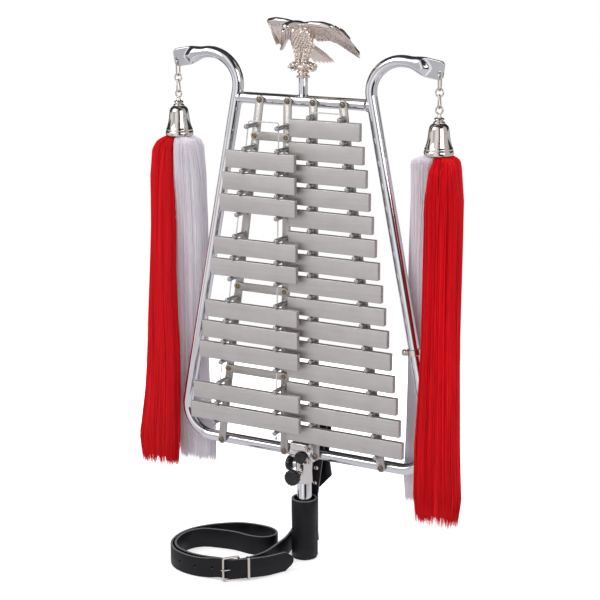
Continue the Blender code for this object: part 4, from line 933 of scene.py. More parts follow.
def dress_mesh(name: str, mesh: bpy.types.Mesh, finish: Finish, body: str, nodes: Sequence[str] = (),
               smooth: float = 38.0) -> bpy.types.Object:
    """Make a piece of a finished mesh: shading, finish, body and the nodes it stands for.

    Args:
        name: The piece's name.
        mesh: Its mesh.
        finish: Its finish.
        body: The body it moves with.
        nodes: The frame's nodes it stands for.
        smooth: Angle in degrees up to which edges look smooth.

    Returns:
        The piece's object.
    """
    mesh.materials.clear()
    mesh.materials.append(finish.material())
    mesh.shade_smooth()
    mesh.set_sharp_from_angle(angle=math.radians(smooth))
    piece = bpy.data.objects.new(name, mesh)
    bpy.context.scene.collection.objects.link(piece)
    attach(piece, body)
    if nodes:
        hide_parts(*nodes)
    LOG.info("%s: %d faces, on %s", name, len(mesh.polygons), body)
    return piece


# Shared layout


class Side(Enum):
    """Left or right plume, with its sign along X."""

    LEFT = -1.0
    RIGHT = 1.0

    @property
    def word(self) -> str:
        """The side's name in lower case."""
        return self.name.lower()


class Row(Enum):
    """The two rows of note bars."""

    NATURAL = "natural"
    ACCIDENTAL = "accidental"


@dataclass(frozen=True)
class Layout:
    """Sizes that several sub-assemblies share.

    Attributes:
        gap: Running gap between pieces that rest on each other.
        tube: Radius of the hoop's tube.
        cross_z: Height of the cross tube.
        bottom_z: Height of the bottom tube.
        middle_z: Height of the middle natural bar.
        side_x: Distance of a side tube from the middle plane at that height.
        side_slope: How much closer it comes for each metre up.
        pitch: Distance between two bars.
        thickness: Thickness of a bar.
        rail_thickness: Thickness of a rail.
        spacer: Height of the rails' spacers on the tubes.
        post: Radius of a cord post.
        lifts: How far the backs of the natural and of the accidental bars stand off the rails.
        rails: Each rail's x at the middle height, and its slope.
    """

    gap: float = 0.0003
    tube: float = 0.00825
    cross_z: float = 0.6848
    bottom_z: float = 0.1659
    middle_z: float = 0.4255
    side_x: float = 0.1608
    side_slope: float = 0.199
    pitch: float = 0.032
    thickness: float = 0.008
    rail_thickness: float = 0.003
    spacer: float = 0.0013
    post: float = 0.0031
    lifts: Pair = (0.0055, 0.0195)
    rails: dict[str, Pair] = field(default_factory=lambda: {
        "outer_accidental_rail": (-0.1002, 0.139), "inner_accidental_rail": (-0.0234, 0.0172),
        "inner_natural_rail": (0.0234, -0.0057), "outer_natural_rail": (0.1003, -0.1222)})

    def side_tube_x(self, z: float) -> float:
        """Distance of a side tube's axis from the middle plane."""
        return self.side_x - self.side_slope * (z - self.middle_z)

    def rail_x(self, rail: str, z: float) -> float:
        """The x of a rail's middle line at a height."""
        middle, slope = self.rails[rail]
        return middle + slope * (z - self.middle_z)

    @property
    def rail_front(self) -> float:
        """The y of the rails' front faces."""
        return -(self.tube + self.spacer + self.rail_thickness)

    def bar_back(self, row: Row) -> float:
        """The y of the back faces of a row's bars."""
        return self.rail_front - self.lifts[0 if row is Row.NATURAL else 1]

    def cord_y(self, row: Row) -> float:
        """The y of a row's cord."""
        return self.bar_back(row) - self.thickness / 2.0

    def post_heights(self, row: Row) -> list[float]:
        """Heights of a row's posts, from the top.

        Args:
            row: The row of bars.

        Returns:
            The heights.
        """
        if row is Row.NATURAL:
            return [self.middle_z + self.pitch * (7.5 - i) for i in range(16)]
        return [self.middle_z + self.pitch * (7 - i) for i in range(15)]

    def rails_of(self, row: Row) -> list[str]:
        """The names of a row's two rails."""
        return [rail for rail in self.rails if row.value in rail]


LAYOUT = Layout()


# Sub-assemblies


@dataclass
class NoteBars:
    """Both rows of tuned bars, each a satin bar with rounded edges and two drilled cord holes.

    Attributes:
        width: Width of a bar.
        edge: Radius of its edges.
        hole: Radius of a cord hole.
        natural_left: Left end of the top natural bar, and how much further out each lower one's lies.
        natural_right: The same for its right end.
        accidental_left: Left end of an accidental bar at the middle height, and its change for each metre up.
        accidental_right: The same for its right end.
        accidental_places: Places of the accidental bars, in pitches above the middle bar.
    """

    width: float = 0.025
    edge: float = 0.0011
    hole: float = 0.0017
    natural_left: Pair = (-0.009, 0.0005)
    natural_right: Pair = (0.1017, 0.005)
    accidental_left: Pair = (-0.136, 0.1745)
    accidental_right: Pair = (0.0095, 0.015)
    accidental_places: tuple[float, ...] = (5.5, 4.5, 3.5, 1.5, 0.5, -1.5, -2.5, -3.5, -5.5, -6.5)

    def build(self) -> None:
        """Build every bar of both rows."""
        for k in range(15):
            left = self.natural_left[0] - self.natural_left[1] * k
            right = self.natural_right[0] + self.natural_right[1] * k
            z = LAYOUT.middle_z + LAYOUT.pitch * (7 - k)
            self.bar("natural_bar_%02d" % (k + 1), left, right, z, Row.NATURAL)
        for k, place in enumerate(self.accidental_places, 1):
            rise = LAYOUT.pitch * place
            left = self.accidental_left[0] + self.accidental_left[1] * rise
            right = self.accidental_right[0] - self.accidental_right[1] * rise
            self.bar("accidental_bar_%02d" % k, left, right, LAYOUT.middle_z + rise, Row.ACCIDENTAL)

    def bar(self, node: str, left: float, right: float, z: float, row: Row) -> None:
        """Build one bar.

        Args:
            node: The frame's node it stands for.
            left: Its left end.
            right: Its right end.
            z: Height of its middle.
            row: The row it belongs to.
        """
        back = LAYOUT.bar_back(row)
        half = self.width / 2.0
        bm = bmesh.new()
        add_block(bm, (left, back - LAYOUT.thickness, z - half), (right, back, z + half), self.edge, 3)
        drills = bmesh.new()
        low = z - self.width
        high = z + self.width
        y = LAYOUT.cord_y(row)
        for rail in LAYOUT.rails_of(row):
            add_rod(drills, (LAYOUT.rail_x(rail, low), y, low), (LAYOUT.rail_x(rail, high), y, high),
                    self.hole, segments=14)
        bm = carve(bm, drills)
        finish_piece(node.replace("bar", "note_bar"), bm, BAR_METAL, "lyre", (node,), smooth=40.0)


@dataclass
class RailSet:
    """The four rails with their cord posts and screws, and the ties between the accidental rails.

    Attributes:
        width: Width of a rail.
        tie_height: Width of a tie, across its run.
        tie_places: Heights of the ties, in pitches above the middle bar.
        rim: Bevel round a strip's faces.
        foot: Radius of a post's foot.
        tip: Radius of a post's rounded tip.
        stand: How far a natural and an accidental post's tip stand in front of the bars.
        spacer: Radius of the spacers behind the rails.
        slot_tilt: Tilt of the screws' slots, in degrees.
        screw: Radius and height of a screw head with its washer.
        eyelet: Radius and height of an eyelet.
    """

    width: float = 0.0125
    tie_height: float = 0.012
    tie_places: tuple[float, ...] = (6.5, -0.5, -4.5)
    rim: float = 0.0005
    foot: float = 0.0044
    tip: float = 0.0034
    stand: Pair = (0.0027, 0.004)
    spacer: float = 0.004
    slot_tilt: float = 35.0
    screw: tuple[Pair, ...] = (
        (0.0, -0.0002), (0.0046, -0.0002), (0.0046, 0.0005), (0.0041, 0.0007), (0.0036, 0.0007),
        (0.0036, 0.0012), (0.0031, 0.0019), (0.0020, 0.0023), (0.0, 0.0024))
    eyelet: tuple[Pair, ...] = (
        (0.0, 0.0001), (0.0018, 0.0001), (0.0019, 0.0011), (0.0025, 0.0016), (0.0032, 0.0013),
        (0.0036, 0.0006), (0.0037, -0.0006), (0.0, -0.0006))

    def build(self) -> None:
        """Build the rails, posts, screws and ties."""
        for rail in LAYOUT.rails:
            self.rail(rail)
        for i, place in enumerate(self.tie_places, 1):
            self.tie(i, LAYOUT.middle_z + LAYOUT.pitch * place)

    def strip(self, start: Pair, end: Pair, width: float,
              front: float) -> BMesh:
        """Make a flat strip with round ends in a plane of constant y.

        Args:
            start: The x and height of its first end.
            end: The x and height of its other end.
            width: Its width.
            front: The y of its front face.

        Returns:
            The strip's mesh.
        """
        first = Vector((start[0], 0.0, start[1]))
        last = Vector((end[0], 0.0, end[1]))
        run = last - first
        thickness = LAYOUT.rail_thickness
        bm = bmesh.new()
        made = bmesh.ops.create_cube(bm, size=1.0)
        bmesh.ops.scale(bm, vec=(run.length + width, width, thickness), verts=made["verts"])
        corners = [e for e in bm.edges if abs((e.verts[0].co - e.verts[1].co).z) > thickness * 0.5]
        bevel(bm, corners, width * 0.499, 10)
        bevel(bm, [e for e in bm.edges if any(len(f.verts) > 8 for f in e.link_faces)], self.rim)
        way = run.normalized()
        turn = Matrix((way, -BACK.cross(way), -BACK)).transposed().to_4x4()
        middle = (first + last) / 2.0 + BACK * (front + thickness / 2.0)
        bmesh.ops.transform(bm, matrix=Matrix.Translation(middle) @ turn, verts=bm.verts)
        return bm

    @staticmethod
    def facing(x: float, y: float, z: float) -> Matrix:
        """A place whose own Z looks out of the front of the bars."""
        return Matrix.Translation((x, y, z)) @ Matrix.Rotation(QUARTER_TURN, 4, 'X')

    def rail(self, rail: str) -> None:
        """Build one rail, its posts and its two end screws.

        Args:
            rail: The rail's name.
        """
        row = Row.NATURAL if "natural" in rail else Row.ACCIDENTAL
        ends = [(LAYOUT.rail_x(rail, z), z) for z in (LAYOUT.bottom_z, LAYOUT.cross_z)]
        strip = self.strip(ends[0], ends[1], self.width, LAYOUT.rail_front)
        finish_piece(rail + "_strip", strip, RAIL_METAL, "lyre", (rail,))
        posts = bmesh.new()
        for z in LAYOUT.post_heights(row):
            self.post(posts, LAYOUT.rail_x(rail, z), z, row)
        finish_piece(rail + "_posts", posts, POST_METAL, "lyre", smooth=50.0)
        screws = bmesh.new()
        for x, z in ends:
            self.end_screw(screws, x, z)
        finish_piece(rail + "_screws", screws, SCREW_METAL, "lyre")

    def post(self, bm: BMesh, x: float, z: float, row: Row) -> None:
        """Add a post: foot, shaft, groove at the cord and rounded tip.

        Args:
            bm: The mesh to add to.
            x: The post's x.
            z: Its height.
            row: The row of bars.
        """
        front = LAYOUT.rail_front
        groove = front - LAYOUT.cord_y(row)
        stand = self.stand[0 if row is Row.NATURAL else 1]
        top = front - LAYOUT.bar_back(row) + LAYOUT.thickness + stand
        shaft = LAYOUT.post
        profile = [(0.0, -0.0012), (self.foot, -0.0012), (self.foot, 0.0008), (self.foot - 0.0006, 0.0014),
                   (shaft, 0.0018), (shaft, groove - 0.0022), (shaft - 0.0007, groove - 0.0013),
                   (shaft - 0.0007, groove + 0.0013), (self.tip, groove + 0.0024), (self.tip, top - 0.0020),
                   (self.tip - 0.0005, top - 0.0009), (self.tip - 0.0015, top - 0.0002), (0.0, top)]
        add_turned(bm, profile, self.facing(x, front, z), steps=20)

    def end_screw(self, bm: BMesh, x: float, z: float) -> None:
        """Add a slotted screw head with its washer in front of the rail, and its spacer behind.

        Args:
            bm: The mesh to add to.
            x: The screw's x.
            z: Its height.
        """
        front = LAYOUT.rail_front
        head = bmesh.new()
        add_turned(head, self.screw, self.facing(x, front, z), steps=24)
        slot = bmesh.new()
        tilt = Matrix.Rotation(math.radians(self.slot_tilt), 4, 'Y')
        add_block(slot, (-0.005, -0.0014, -0.00045), (0.005, 0.0014, 0.00045),
                  place=Matrix.Translation((x, front - 0.0029, z)) @ tilt)
        add_mesh(bm, carve(head, slot))
        add_rod(bm, (x, front + 0.0028, z), (x, -LAYOUT.tube - LAYOUT.gap, z), self.spacer, segments=20)

    def tie(self, number: int, z: float) -> None:
        """Build one tie with a brass eyelet over each accidental rail.

        Args:
            number: The tie's number, from the top.
            z: Its height.
        """
        front = LAYOUT.rail_front - LAYOUT.gap - LAYOUT.rail_thickness
        ends = [(LAYOUT.rail_x(rail, z), z) for rail in LAYOUT.rails_of(Row.ACCIDENTAL)]
        strip = self.strip(ends[0], ends[1], self.tie_height, front)
        finish_piece("tie_strip_%d" % number, strip, RAIL_METAL, "lyre", ("rail_tie_%d" % number,))
        bm = bmesh.new()
        for x, height in ends:
            add_turned(bm, self.eyelet, self.facing(x, front, height), steps=24)
        finish_piece("tie_eyelets_%d" % number, bm, BRASS, "lyre")


@dataclass
class SuspensionCords:
    """The two cords threaded through posts and bars.

    Attributes:
        radius: Radius of a cord.
        rise: Height of the crossing above the top post.
        corner: Size of the crossing's bends.
        knot: Radius of the knot below the last post.
    """

    radius: float = 0.00095
    rise: float = 0.0075
    corner: float = 0.0025
    knot: float = 0.0023

    def build(self) -> None:
        """Build both cords."""
        for row in Row:
            self.cord(row)

    def cord(self, row: Row) -> None:
        """Build a row's cord, with a knot at each end.

        Args:
            row: The row of bars.
        """
        rails = LAYOUT.rails_of(row)
        inner = next(rail for rail in rails if "inner" in rail)
        outer = next(rail for rail in rails if "outer" in rail)
        y = LAYOUT.cord_y(row)
        heights = LAYOUT.post_heights(row)
        low = heights[-1] - LAYOUT.post - 0.006
        high = heights[0] + self.rise
        bend = high - self.corner
        shoulder = high - self.corner * 0.3
        inner_x = LAYOUT.rail_x(inner, high)
        outer_x = LAYOUT.rail_x(outer, high)
        reach = self.corner if outer_x > inner_x else -self.corner
        route = ((LAYOUT.rail_x(inner, low), low), (LAYOUT.rail_x(inner, bend), bend),
                 (inner_x + reach * 0.3, shoulder), (inner_x + reach, high), (outer_x - reach, high),
                 (outer_x - reach * 0.3, shoulder), (LAYOUT.rail_x(outer, bend), bend),
                 (LAYOUT.rail_x(outer, low), low))
        points = [Vector((x, y, z)) for x, z in route]
        bm = bmesh.new()
        add_sweep(bm, circle(self.radius, 10), route_frames(points, side=BACK))
        for end in (points[0], points[-1]):
            self.tie_off(bm, end)
        finish_piece(row.value + "_suspension_cord", bm, CORD_FIBRE, "lyre", (row.value + "_cord",),
                     smooth=60.0)

    def tie_off(self, bm: BMesh, end: Vector) -> None:
        """Add an overhand knot with its short tail.

        Args:
            bm: The mesh to add to.
            end: The cord's end.
        """
        loop = []
        for i in range(36):
            angle = FULL_TURN * i / 36
            spread = 1.0 + 0.35 * math.cos(3.0 * angle)
            loop.append(end + Vector((math.cos(2.0 * angle) * spread, 0.8 * math.sin(3.0 * angle),
                                      math.sin(2.0 * angle) * spread)) * (self.knot * 0.55))
        add_sweep(bm, circle(self.radius * 0.8, 8), route_frames(loop, closed=True), closed=True)
        add_rod(bm, end, end + Vector((0.0008, -0.0006, -0.0042)), self.radius * 0.9, self.radius * 0.7, 8)


@dataclass
class HoopFrame:
    """The bent chromed hoop with its flattened arm ends, cross tube and finial stem.

    Attributes:
        corner: Radius of the lower corners.
        crest: Top of an arm's bend.
        plate_start: Where the plate begins, from the middle plane.
        plate_end: Where it ends.
        plate_z: Height of its middle line.
        plate_height: Height of the plate.
        plate_thickness: Thickness of the plate.
        hole: The plume hole's x, z and radius.
        shoulder: How far above the cross tube an arm's bend begins.
        handles: Lengths of the bend's handles at its start, its crest and the plate.
        press_start: How far before the plate the tube begins to turn flat.
        press_run: Length over which the tube grows to the plate's height.
        corners: Radii of the plate's lower and upper outer corners.
        crease: Depth of the crease at the shoulder.
        weld: Height of the weld beads.
        stem: Radius of the finial stem.
        stem_top: Height of its top.
        sides: Number of sides of the tube.
    """

    corner: float = 0.045
    crest: Pair = (0.153, 0.7474)
    plate_start: float = 0.186
    plate_end: float = 0.214
    plate_z: float = 0.7395
    plate_height: float = 0.0265
    plate_thickness: float = 0.004
    hole: Triple = (0.2085, 0.7345, 0.0026)
    shoulder: float = 0.010
    handles: tuple[float, float, float, float] = (0.030, 0.026, 0.014, 0.012)
    press_start: float = 0.010
    press_run: float = 0.012
    corners: Pair = (0.010, 0.003)
    crease: float = 0.009
    weld: float = 0.0012
    stem: float = 0.00635
    stem_top: float = 0.7175
    sides: int = 36

    def half_line(self) -> list[Pair]:
        """Centre line of the right half, from the middle of the bottom tube to the plate's end.

        Returns:
            The line's points, each an x and a height.
        """
        line = [(0.0, LAYOUT.bottom_z), (0.06, LAYOUT.bottom_z)]
        turn = QUARTER_TURN + math.atan(LAYOUT.side_slope)
        tangent = self.corner * math.tan(turn / 2.0)
        centre_x = LAYOUT.side_tube_x(LAYOUT.bottom_z) - tangent
        for i in range(25):
            angle = -QUARTER_TURN + turn * i / 24
            line.append((centre_x + self.corner * math.cos(angle),
                         LAYOUT.bottom_z + self.corner + self.corner * math.sin(angle)))
        shoulder_z = LAYOUT.cross_z + self.shoulder
        start = Vector((LAYOUT.side_tube_x(shoulder_z), shoulder_z))
        for i in range(1, 6):
            z = 0.25 + (shoulder_z - 0.25) * i / 6
            line.append((LAYOUT.side_tube_x(z), z))
        line.append(tuple(start))
        crest = Vector(self.crest)
        plate = Vector((self.plate_start, self.plate_z + 0.0015))
        rise, before, after, landing = self.handles
        line += self.bezier(start, start + Vector((-LAYOUT.side_slope, 1.0)) * rise,
                            crest - Vector((before, 0.0)), crest, 26)
        line += self.bezier(crest, crest + Vector((after, 0.0)), plate - Vector((landing, -0.0018)), plate,
                            18)
        drop = (self.plate_z - 0.0035 - plate.y) / (self.plate_end - plate.x)
        for i in range(1, 17):
            x = plate.x + (self.plate_end - plate.x) * math.sin(QUARTER_TURN * i / 16)
            line.append((x, plate.y + drop * (x - plate.x)))
        return line

    @staticmethod
    def bezier(a: Vector, b: Vector, c: Vector, d: Vector, steps: int) -> list[Pair]:
        """Points of a cubic curve after its start.

        Args:
            a: Its start.
            b: The start's handle.
            c: The end's handle.
            d: Its end.
            steps: Number of points.

        Returns:
            The points.
        """
        points = []
        for i in range(1, steps + 1):
            t = i / steps
            back = 1 - t
            points.append(tuple(a * back ** 3 + b * 3 * t * back ** 2 + c * 3 * t * t * back + d * t ** 3))
        return points

    def line_z(self, line: Sequence[Pair], x: float) -> float:
        """Height of an arm's middle line past its crest.

        Args:
            line: Centre line of the right half.
            x: Distance from the middle plane.

        Returns:
            The height.
        """
        arm = [point for point in line if point[0] >= self.crest[0] - 0.001 and point[1] > LAYOUT.cross_z]
        xs = [point[0] for point in arm]
        zs = [point[1] for point in arm]
        return float(np.interp(x, xs, zs))

    def build(self) -> None:
        """Build the hoop with its cross tube and stem."""
        half = self.half_line()
        points = [Vector((-x, 0.0, z)) for x, z in reversed(half[1:])]
        points += [Vector((x, 0.0, z)) for x, z in half]
        bm = bmesh.new()
        add_sweep(bm, circle(LAYOUT.tube, self.sides), route_frames(points, side=BACK))
        self.press_plates(bm, half)
        drills = bmesh.new()
        hole_x, hole_z, radius = self.hole
        for side in Side:
            x = side.value * hole_x
            add_rod(drills, (x, -0.01, hole_z), (x, 0.01, hole_z), radius, segments=24)
        bm = carve(bm, drills)
        cross_z = LAYOUT.cross_z
        reach = LAYOUT.side_tube_x(cross_z)
        add_rod(bm, (-reach, 0.0, cross_z), (reach, 0.0, cross_z), LAYOUT.tube - 0.0002, segments=36)
        for side in Side:
            near = side.value * (reach - LAYOUT.tube + 0.0005)
            add_rod(bm, (near, 0.0, cross_z), (near - side.value * 0.0026, 0.0, cross_z),
                    LAYOUT.tube + self.weld, LAYOUT.tube - 0.0001, segments=36)
        foot = cross_z + LAYOUT.tube - 0.0010
        add_rod(bm, (0.0, 0.0, cross_z), (0.0, 0.0, self.stem_top), self.stem, segments=28, edge=0.0004)
        add_rod(bm, (0.0, 0.0, foot), (0.0, 0.0, foot + 0.0022), self.stem + self.weld, self.stem, 28)
        finish_piece("chromed_hoop", bm, CHROME, "lyre", ("hoop_frame",), smooth=45.0)

    def press_plates(self, bm: BMesh, line: Sequence[Pair]) -> None:
        """Press the arms' ends flat, with a creased shoulder and rounded outer corners.

        Args:
            bm: The hoop's mesh.
            line: Centre line of its right half.
        """
        reach = self.plate_start - self.press_start
        full = self.plate_start + 0.002
        flat = self.plate_thickness / 2.0
        for vert in bm.verts:
            x = abs(vert.co.x)
            if x < reach - self.press_run or vert.co.z < LAYOUT.cross_z:
                continue
            middle = self.line_z(line, min(x, self.plate_end))
            rise = eased((x - reach + self.press_run) / (full - reach + self.press_run))
            height = 1.0 + rise * (self.plate_height / 2.0 / LAYOUT.tube - 1.0)
            corner = self.corners[0 if vert.co.z < middle else 1]
            s = min(1.0, max(0.0, (x - self.plate_end + corner) / (corner + 0.0002)))
            height *= 1.0 - 2.0 * corner / self.plate_height * (1.0 - math.sqrt(1.0 - s * s)) * 0.9
            crease = self.crease * (1.0 - min(1.0, abs(vert.co.z - middle) / LAYOUT.tube))
            press = eased((x - reach - crease) / (full - reach))
            pressed = math.copysign(min(flat, abs(vert.co.y) * 0.62), vert.co.y)
            vert.co.z = middle + (vert.co.z - middle) * height
            vert.co.y = vert.co.y * (1.0 - press) + pressed * press


@dataclass
class MalletClip:
    """The split collar with its thumb screw on the right side tube.

    Attributes:
        z: Height of the collar.
        wall: Its wall.
        height: Its length along the tube.
        chamfer: Size of its chamfers.
        reach: How far its screw stands out.
        shank: Radius of the screw's shank.
        grip: Radius and length of its knurled grip.
        ribs: Number of the grip's ribs.
    """

    z: float = 0.343
    wall: float = 0.0026
    height: float = 0.009
    chamfer: float = 0.0006
    reach: float = 0.007
    shank: float = 0.003
    grip: Pair = (0.0042, 0.005)
    ribs: int = 16

    def build(self) -> None:
        """Build the collar and its screw."""
        lean = math.atan(LAYOUT.side_slope)
        way = Vector((-math.sin(lean), 0.0, math.cos(lean)))
        inward = Vector((-math.cos(lean), 0.0, -math.sin(lean)))
        centre = Vector((LAYOUT.side_tube_x(self.z), 0.0, self.z))
        turn = way.to_track_quat('Z', 'Y').to_matrix().to_4x4()
        inner = LAYOUT.tube + LAYOUT.gap
        outer = inner + self.wall
        half = self.height / 2.0
        edge = self.chamfer
        profile = [(inner, -half), (outer - edge, -half), (outer, -half + edge), (outer, half - edge),
                   (outer - edge, half), (inner, half), (inner, -half)]
        bm = bmesh.new()
        add_turned(bm, profile, Matrix.Translation(centre) @ turn, steps=32)
        tip = centre + inward * (outer + self.reach)
        add_rod(bm, centre + inward * (outer - 0.0015), tip, self.shank, segments=16)
        radius, length = self.grip
        foot = tip - inward * length
        add_rod(bm, foot, tip, radius, segments=20, edge=0.0005)
        rib = radius - 0.0001
        side = inward.cross(BACK)
        for start in ring_of(foot, BACK * rib, side * rib, self.ribs):
            add_rod(bm, start + inward * 0.0006, start + inward * (length - 0.0006), 0.0004, segments=6)
        finish_piece("mallet_clip_collar", bm, NICKEL, "lyre", ("clip_collar",))


@dataclass(frozen=True)
class FeatherRow:
    """A row of long feathers on a wing's sheet, from the body outwards.

    Attributes:
        count: Number of feathers.
        root: Where the first one's root lies on the sheet, as u and v.
        tip: Where its tip lies.
        spread: How far further out the last one's root and tip lie.
        width: Half width of a feather.
        lift: How far the row stands off the sheet, in steps of a layer.
        stagger: How much further every other feather stands.
    """

    count: int
    root: Pair
    tip: Pair
    spread: Pair
    width: float
    lift: float
    stagger: float


@dataclass
class EagleFinial:
    """The cast eagle on its scrolled base, its long feathers running along swept wings.

    Attributes:
        foot: Height of the claws.
        top: Height of the stem's top.
        wing: Stations of a wing's sheet from the body outwards, leading then trailing edge.
        droop: How much lower each station lies on the right wing, leading then trailing edge.
        rows: The flight feathers and the two rows of coverts.
        layer: A step off the sheet.
        beads: The base's leaves and beads: x, y, rise and size.
    """

    foot: float = 0.7445
    top: float = 0.7175
    wing: tuple[tuple[Point, Point], ...] = (
        ((0.004, -0.012, 0.7925), (0.006, 0.010, 0.7680)), ((0.020, -0.015, 0.7960), (0.018, 0.017, 0.7680)),
        ((0.036, -0.014, 0.7968), (0.031, 0.022, 0.7690)), ((0.049, -0.011, 0.7955), (0.040, 0.027, 0.7670)),
        ((0.057, 0.003, 0.7900), (0.048, 0.035, 0.7610)), ((0.062, 0.021, 0.7775), (0.056, 0.043, 0.7545)),
        ((0.0665, 0.046, 0.7530), (0.0640, 0.0485, 0.7490)))
    droop: tuple[Pair, ...] = (
        (0.0010, 0.0), (0.0025, 0.0), (0.0040, 0.0), (0.0055, 0.0020), (0.0070, 0.0035), (0.0085, 0.0045),
        (0.0070, 0.0055))
    rows: tuple[FeatherRow, ...] = (
        FeatherRow(15, (0.01, 0.20), (0.16, 1.0), (0.40, 0.84), 0.0019, 1.0, 0.5),
        FeatherRow(13, (0.02, 0.14), (0.12, 0.66), (0.45, 0.68), 0.0017, 1.75, 0.5),
        FeatherRow(14, (0.02, 0.08), (0.08, 0.40), (0.60, 0.70), 0.0016, 2.3, 0.4))
    layer: float = 0.0013
    beads: tuple[tuple[float, ...], ...] = (
        (0.006, -0.006, 0.0012, 0.0040), (0.0125, -0.0062, -0.0006, 0.0034),
        (0.0185, -0.0055, -0.0030, 0.0028), (0.0085, 0.006, 0.0012, 0.0036),
        (0.0160, 0.0055, -0.0015, 0.0032), (0.0195, 0.0, 0.0002, 0.0024))

    def build(self) -> None:
        """Build the bird, its base and its collar."""
        bm = bmesh.new()
        self.collar(bm)
        self.base(bm)
        self.torso(bm)
        for sign in (-1.0, 1.0):
            self.wing_sheet(bm, sign)
            self.wing_feathers(bm, sign)
            self.leg(bm, sign)
        self.tail(bm)
        finish_piece("eagle_casting", bm, CAST_NICKEL, "lyre", ("eagle_finial",), smooth=55.0)
        arms = bmesh.new()
        for sign in (-1.0, 1.0):
            self.wing_arm(arms, sign)
        self.head(arms)
        finish_piece("eagle_head_and_arms", arms, NICKEL, "lyre", smooth=60.0)

    def collar(self, bm: BMesh) -> None:
        """Add the turned collar that sits on the stem.

        Args:
            bm: The mesh to add to.
        """
        low = self.top + LAYOUT.gap
        profile = [(0.0, 0.0), (0.0090, 0.0), (0.0096, 0.0008), (0.0094, 0.0022), (0.0066, 0.0032),
                   (0.0058, 0.0052), (0.0080, 0.0064), (0.0086, 0.0078), (0.0078, 0.0092),
                   (0.0054, 0.0104), (0.0064, 0.0134), (0.0092, 0.0160), (0.0, 0.0180)]
        add_turned(bm, [(radius, low + rise) for radius, rise in profile], NO_TURN, steps=28)

    def base(self, bm: BMesh) -> None:
        """Add the scrolled perch: a curled branch to each side, with leaves and beads.

        Args:
            bm: The mesh to add to.
        """
        height = self.foot - 0.0090
        for sign in (-1.0, 1.0):
            curl = []
            for i in range(30):
                t = i / 29
                past = max(0.0, t - 0.25)
                angle = math.pi * 0.5 - 2.35 * math.pi * past / 0.75
                reach = 0.0052 * (1.0 - 0.72 * past / 0.75)
                x = 0.0140 * t / 0.25
                z = height + 0.0012 - 0.0010 * t
                if t >= 0.25:
                    x = 0.0140 + reach * math.cos(angle)
                    z = height - 0.0040 + reach * math.sin(angle) + 0.0004
                curl.append(Vector((sign * x, 0.0, z)))
            frames = route_frames(curl, side=BACK)
            frames = [sized(place, 1.0 - 0.45 * i / 29) for i, place in enumerate(frames)]
            add_sweep(bm, [(u, v * 2.6) for u, v in circle(0.0024, 14)], frames)
            for x, y, rise, size in self.beads:
                add_ball(bm, (sign * x, y, height + rise), (size * 1.2, size * 0.75, size * 0.75),
                         Matrix.Rotation(sign * 0.5, 4, 'Y'), 12)
        add_ball(bm, (0.0, 0.0, height - 0.003), (0.011, 0.0095, 0.0058), segments=20)

    def head(self, bm: BMesh) -> None:
        """Add the smooth arched neck, the bent head, its eyes and the hooked beak.

        Args:
            bm: The mesh to add to.
        """
        arch = smooth_route([(0.0035, -0.001, 0.7850), (0.0005, -0.0080, 0.7895), (-0.0030, -0.0165, 0.7915),
                             (-0.0062, -0.0250, 0.7915), (-0.0088, -0.0315, 0.7890),
                             (-0.0098, -0.0352, 0.7852)], 5)
        frames = []
        for i, place in enumerate(route_frames(arch)):
            t = i / (len(arch) - 1)
            size = 0.0078 - 0.0022 * min(1.0, t / 0.6) + 0.0008 * math.exp(-((t - 0.78) / 0.12) ** 2)
            size *= math.sqrt(max(0.02, 1.0 - max(0.0, (t - 0.80) / 0.20) ** 2))
            frames.append(sized(place, size))
        add_sweep(bm, circle(1.0, 24), frames)
        beak = smooth_route([(-0.0096, -0.0350, 0.7858), (-0.0100, -0.0378, 0.7842),
                             (-0.0100, -0.0392, 0.7815), (-0.0096, -0.0388, 0.7785)], 4)
        frames = [sized(place, 1.0 - 0.86 * (i / 12) ** 1.2) for i, place in enumerate(route_frames(beak))]
        add_sweep(bm, circle(0.0029, 12), frames)
        for sign in (-1.0, 1.0):
            eye = (-0.0090 + sign * 0.0046, -0.0330, 0.7878)
            brow = (-0.0088 + sign * 0.0042, -0.0326, 0.7896)
            add_ball(bm, eye, (0.0011, 0.0014, 0.0012), segments=10)
            add_ball(bm, brow, (0.0018, 0.0034, 0.0010), segments=10)

    def torso(self, bm: BMesh) -> None:
        """Add breast and shoulders with overlapping feathers, and the ruff under the neck.

        Args:
            bm: The mesh to add to.
        """
        add_ball(bm, (0.0, 0.002, 0.7735), (0.0128, 0.0150, 0.0205), Matrix.Rotation(0.45, 4, 'X'), 24)
        add_ball(bm, (0.0, -0.004, 0.7850), (0.0140, 0.0125, 0.0085), Matrix.Rotation(-0.2, 4, 'X'), 24)
        rng = random.Random(5)
        for level in range(10):
            t = level / 9
            centre = Vector((0.0, -0.0115 + 0.012 * t, 0.7860 - 0.029 * t))
            width = 0.0142 * math.sin(math.pi * (0.30 + 0.50 * t))
            for j in range(9):
                angle = math.radians(-175.0 + 170.0 * (j + 0.5 * (level % 2)) / 8.5)
                cos = math.cos(angle)
                sin = math.sin(angle)
                spot = centre + Vector((cos * width, sin * width * 0.50 + 0.003, 0.0))
                self.feather(bm, spot, Vector((cos * 0.22, -0.20, -1.0)), Vector((cos, sin, 0.25)),
                             0.0085, 0.0027, 0.0009, rng.uniform(-0.08, 0.08))
        for j in range(13):
            angle = math.radians(-185.0 + 190.0 * j / 12)
            cos = math.cos(angle)
            sin = math.sin(angle)
            spot = Vector((-0.0015 + cos * 0.0080, -0.0120, 0.7885 + sin * 0.0060))
            self.feather(bm, spot, Vector((cos * 0.7, 0.55, sin * 0.8 - 0.2)), Vector((cos, -0.4, sin)),
                         0.0085, 0.0017, 0.0008, 0.0)

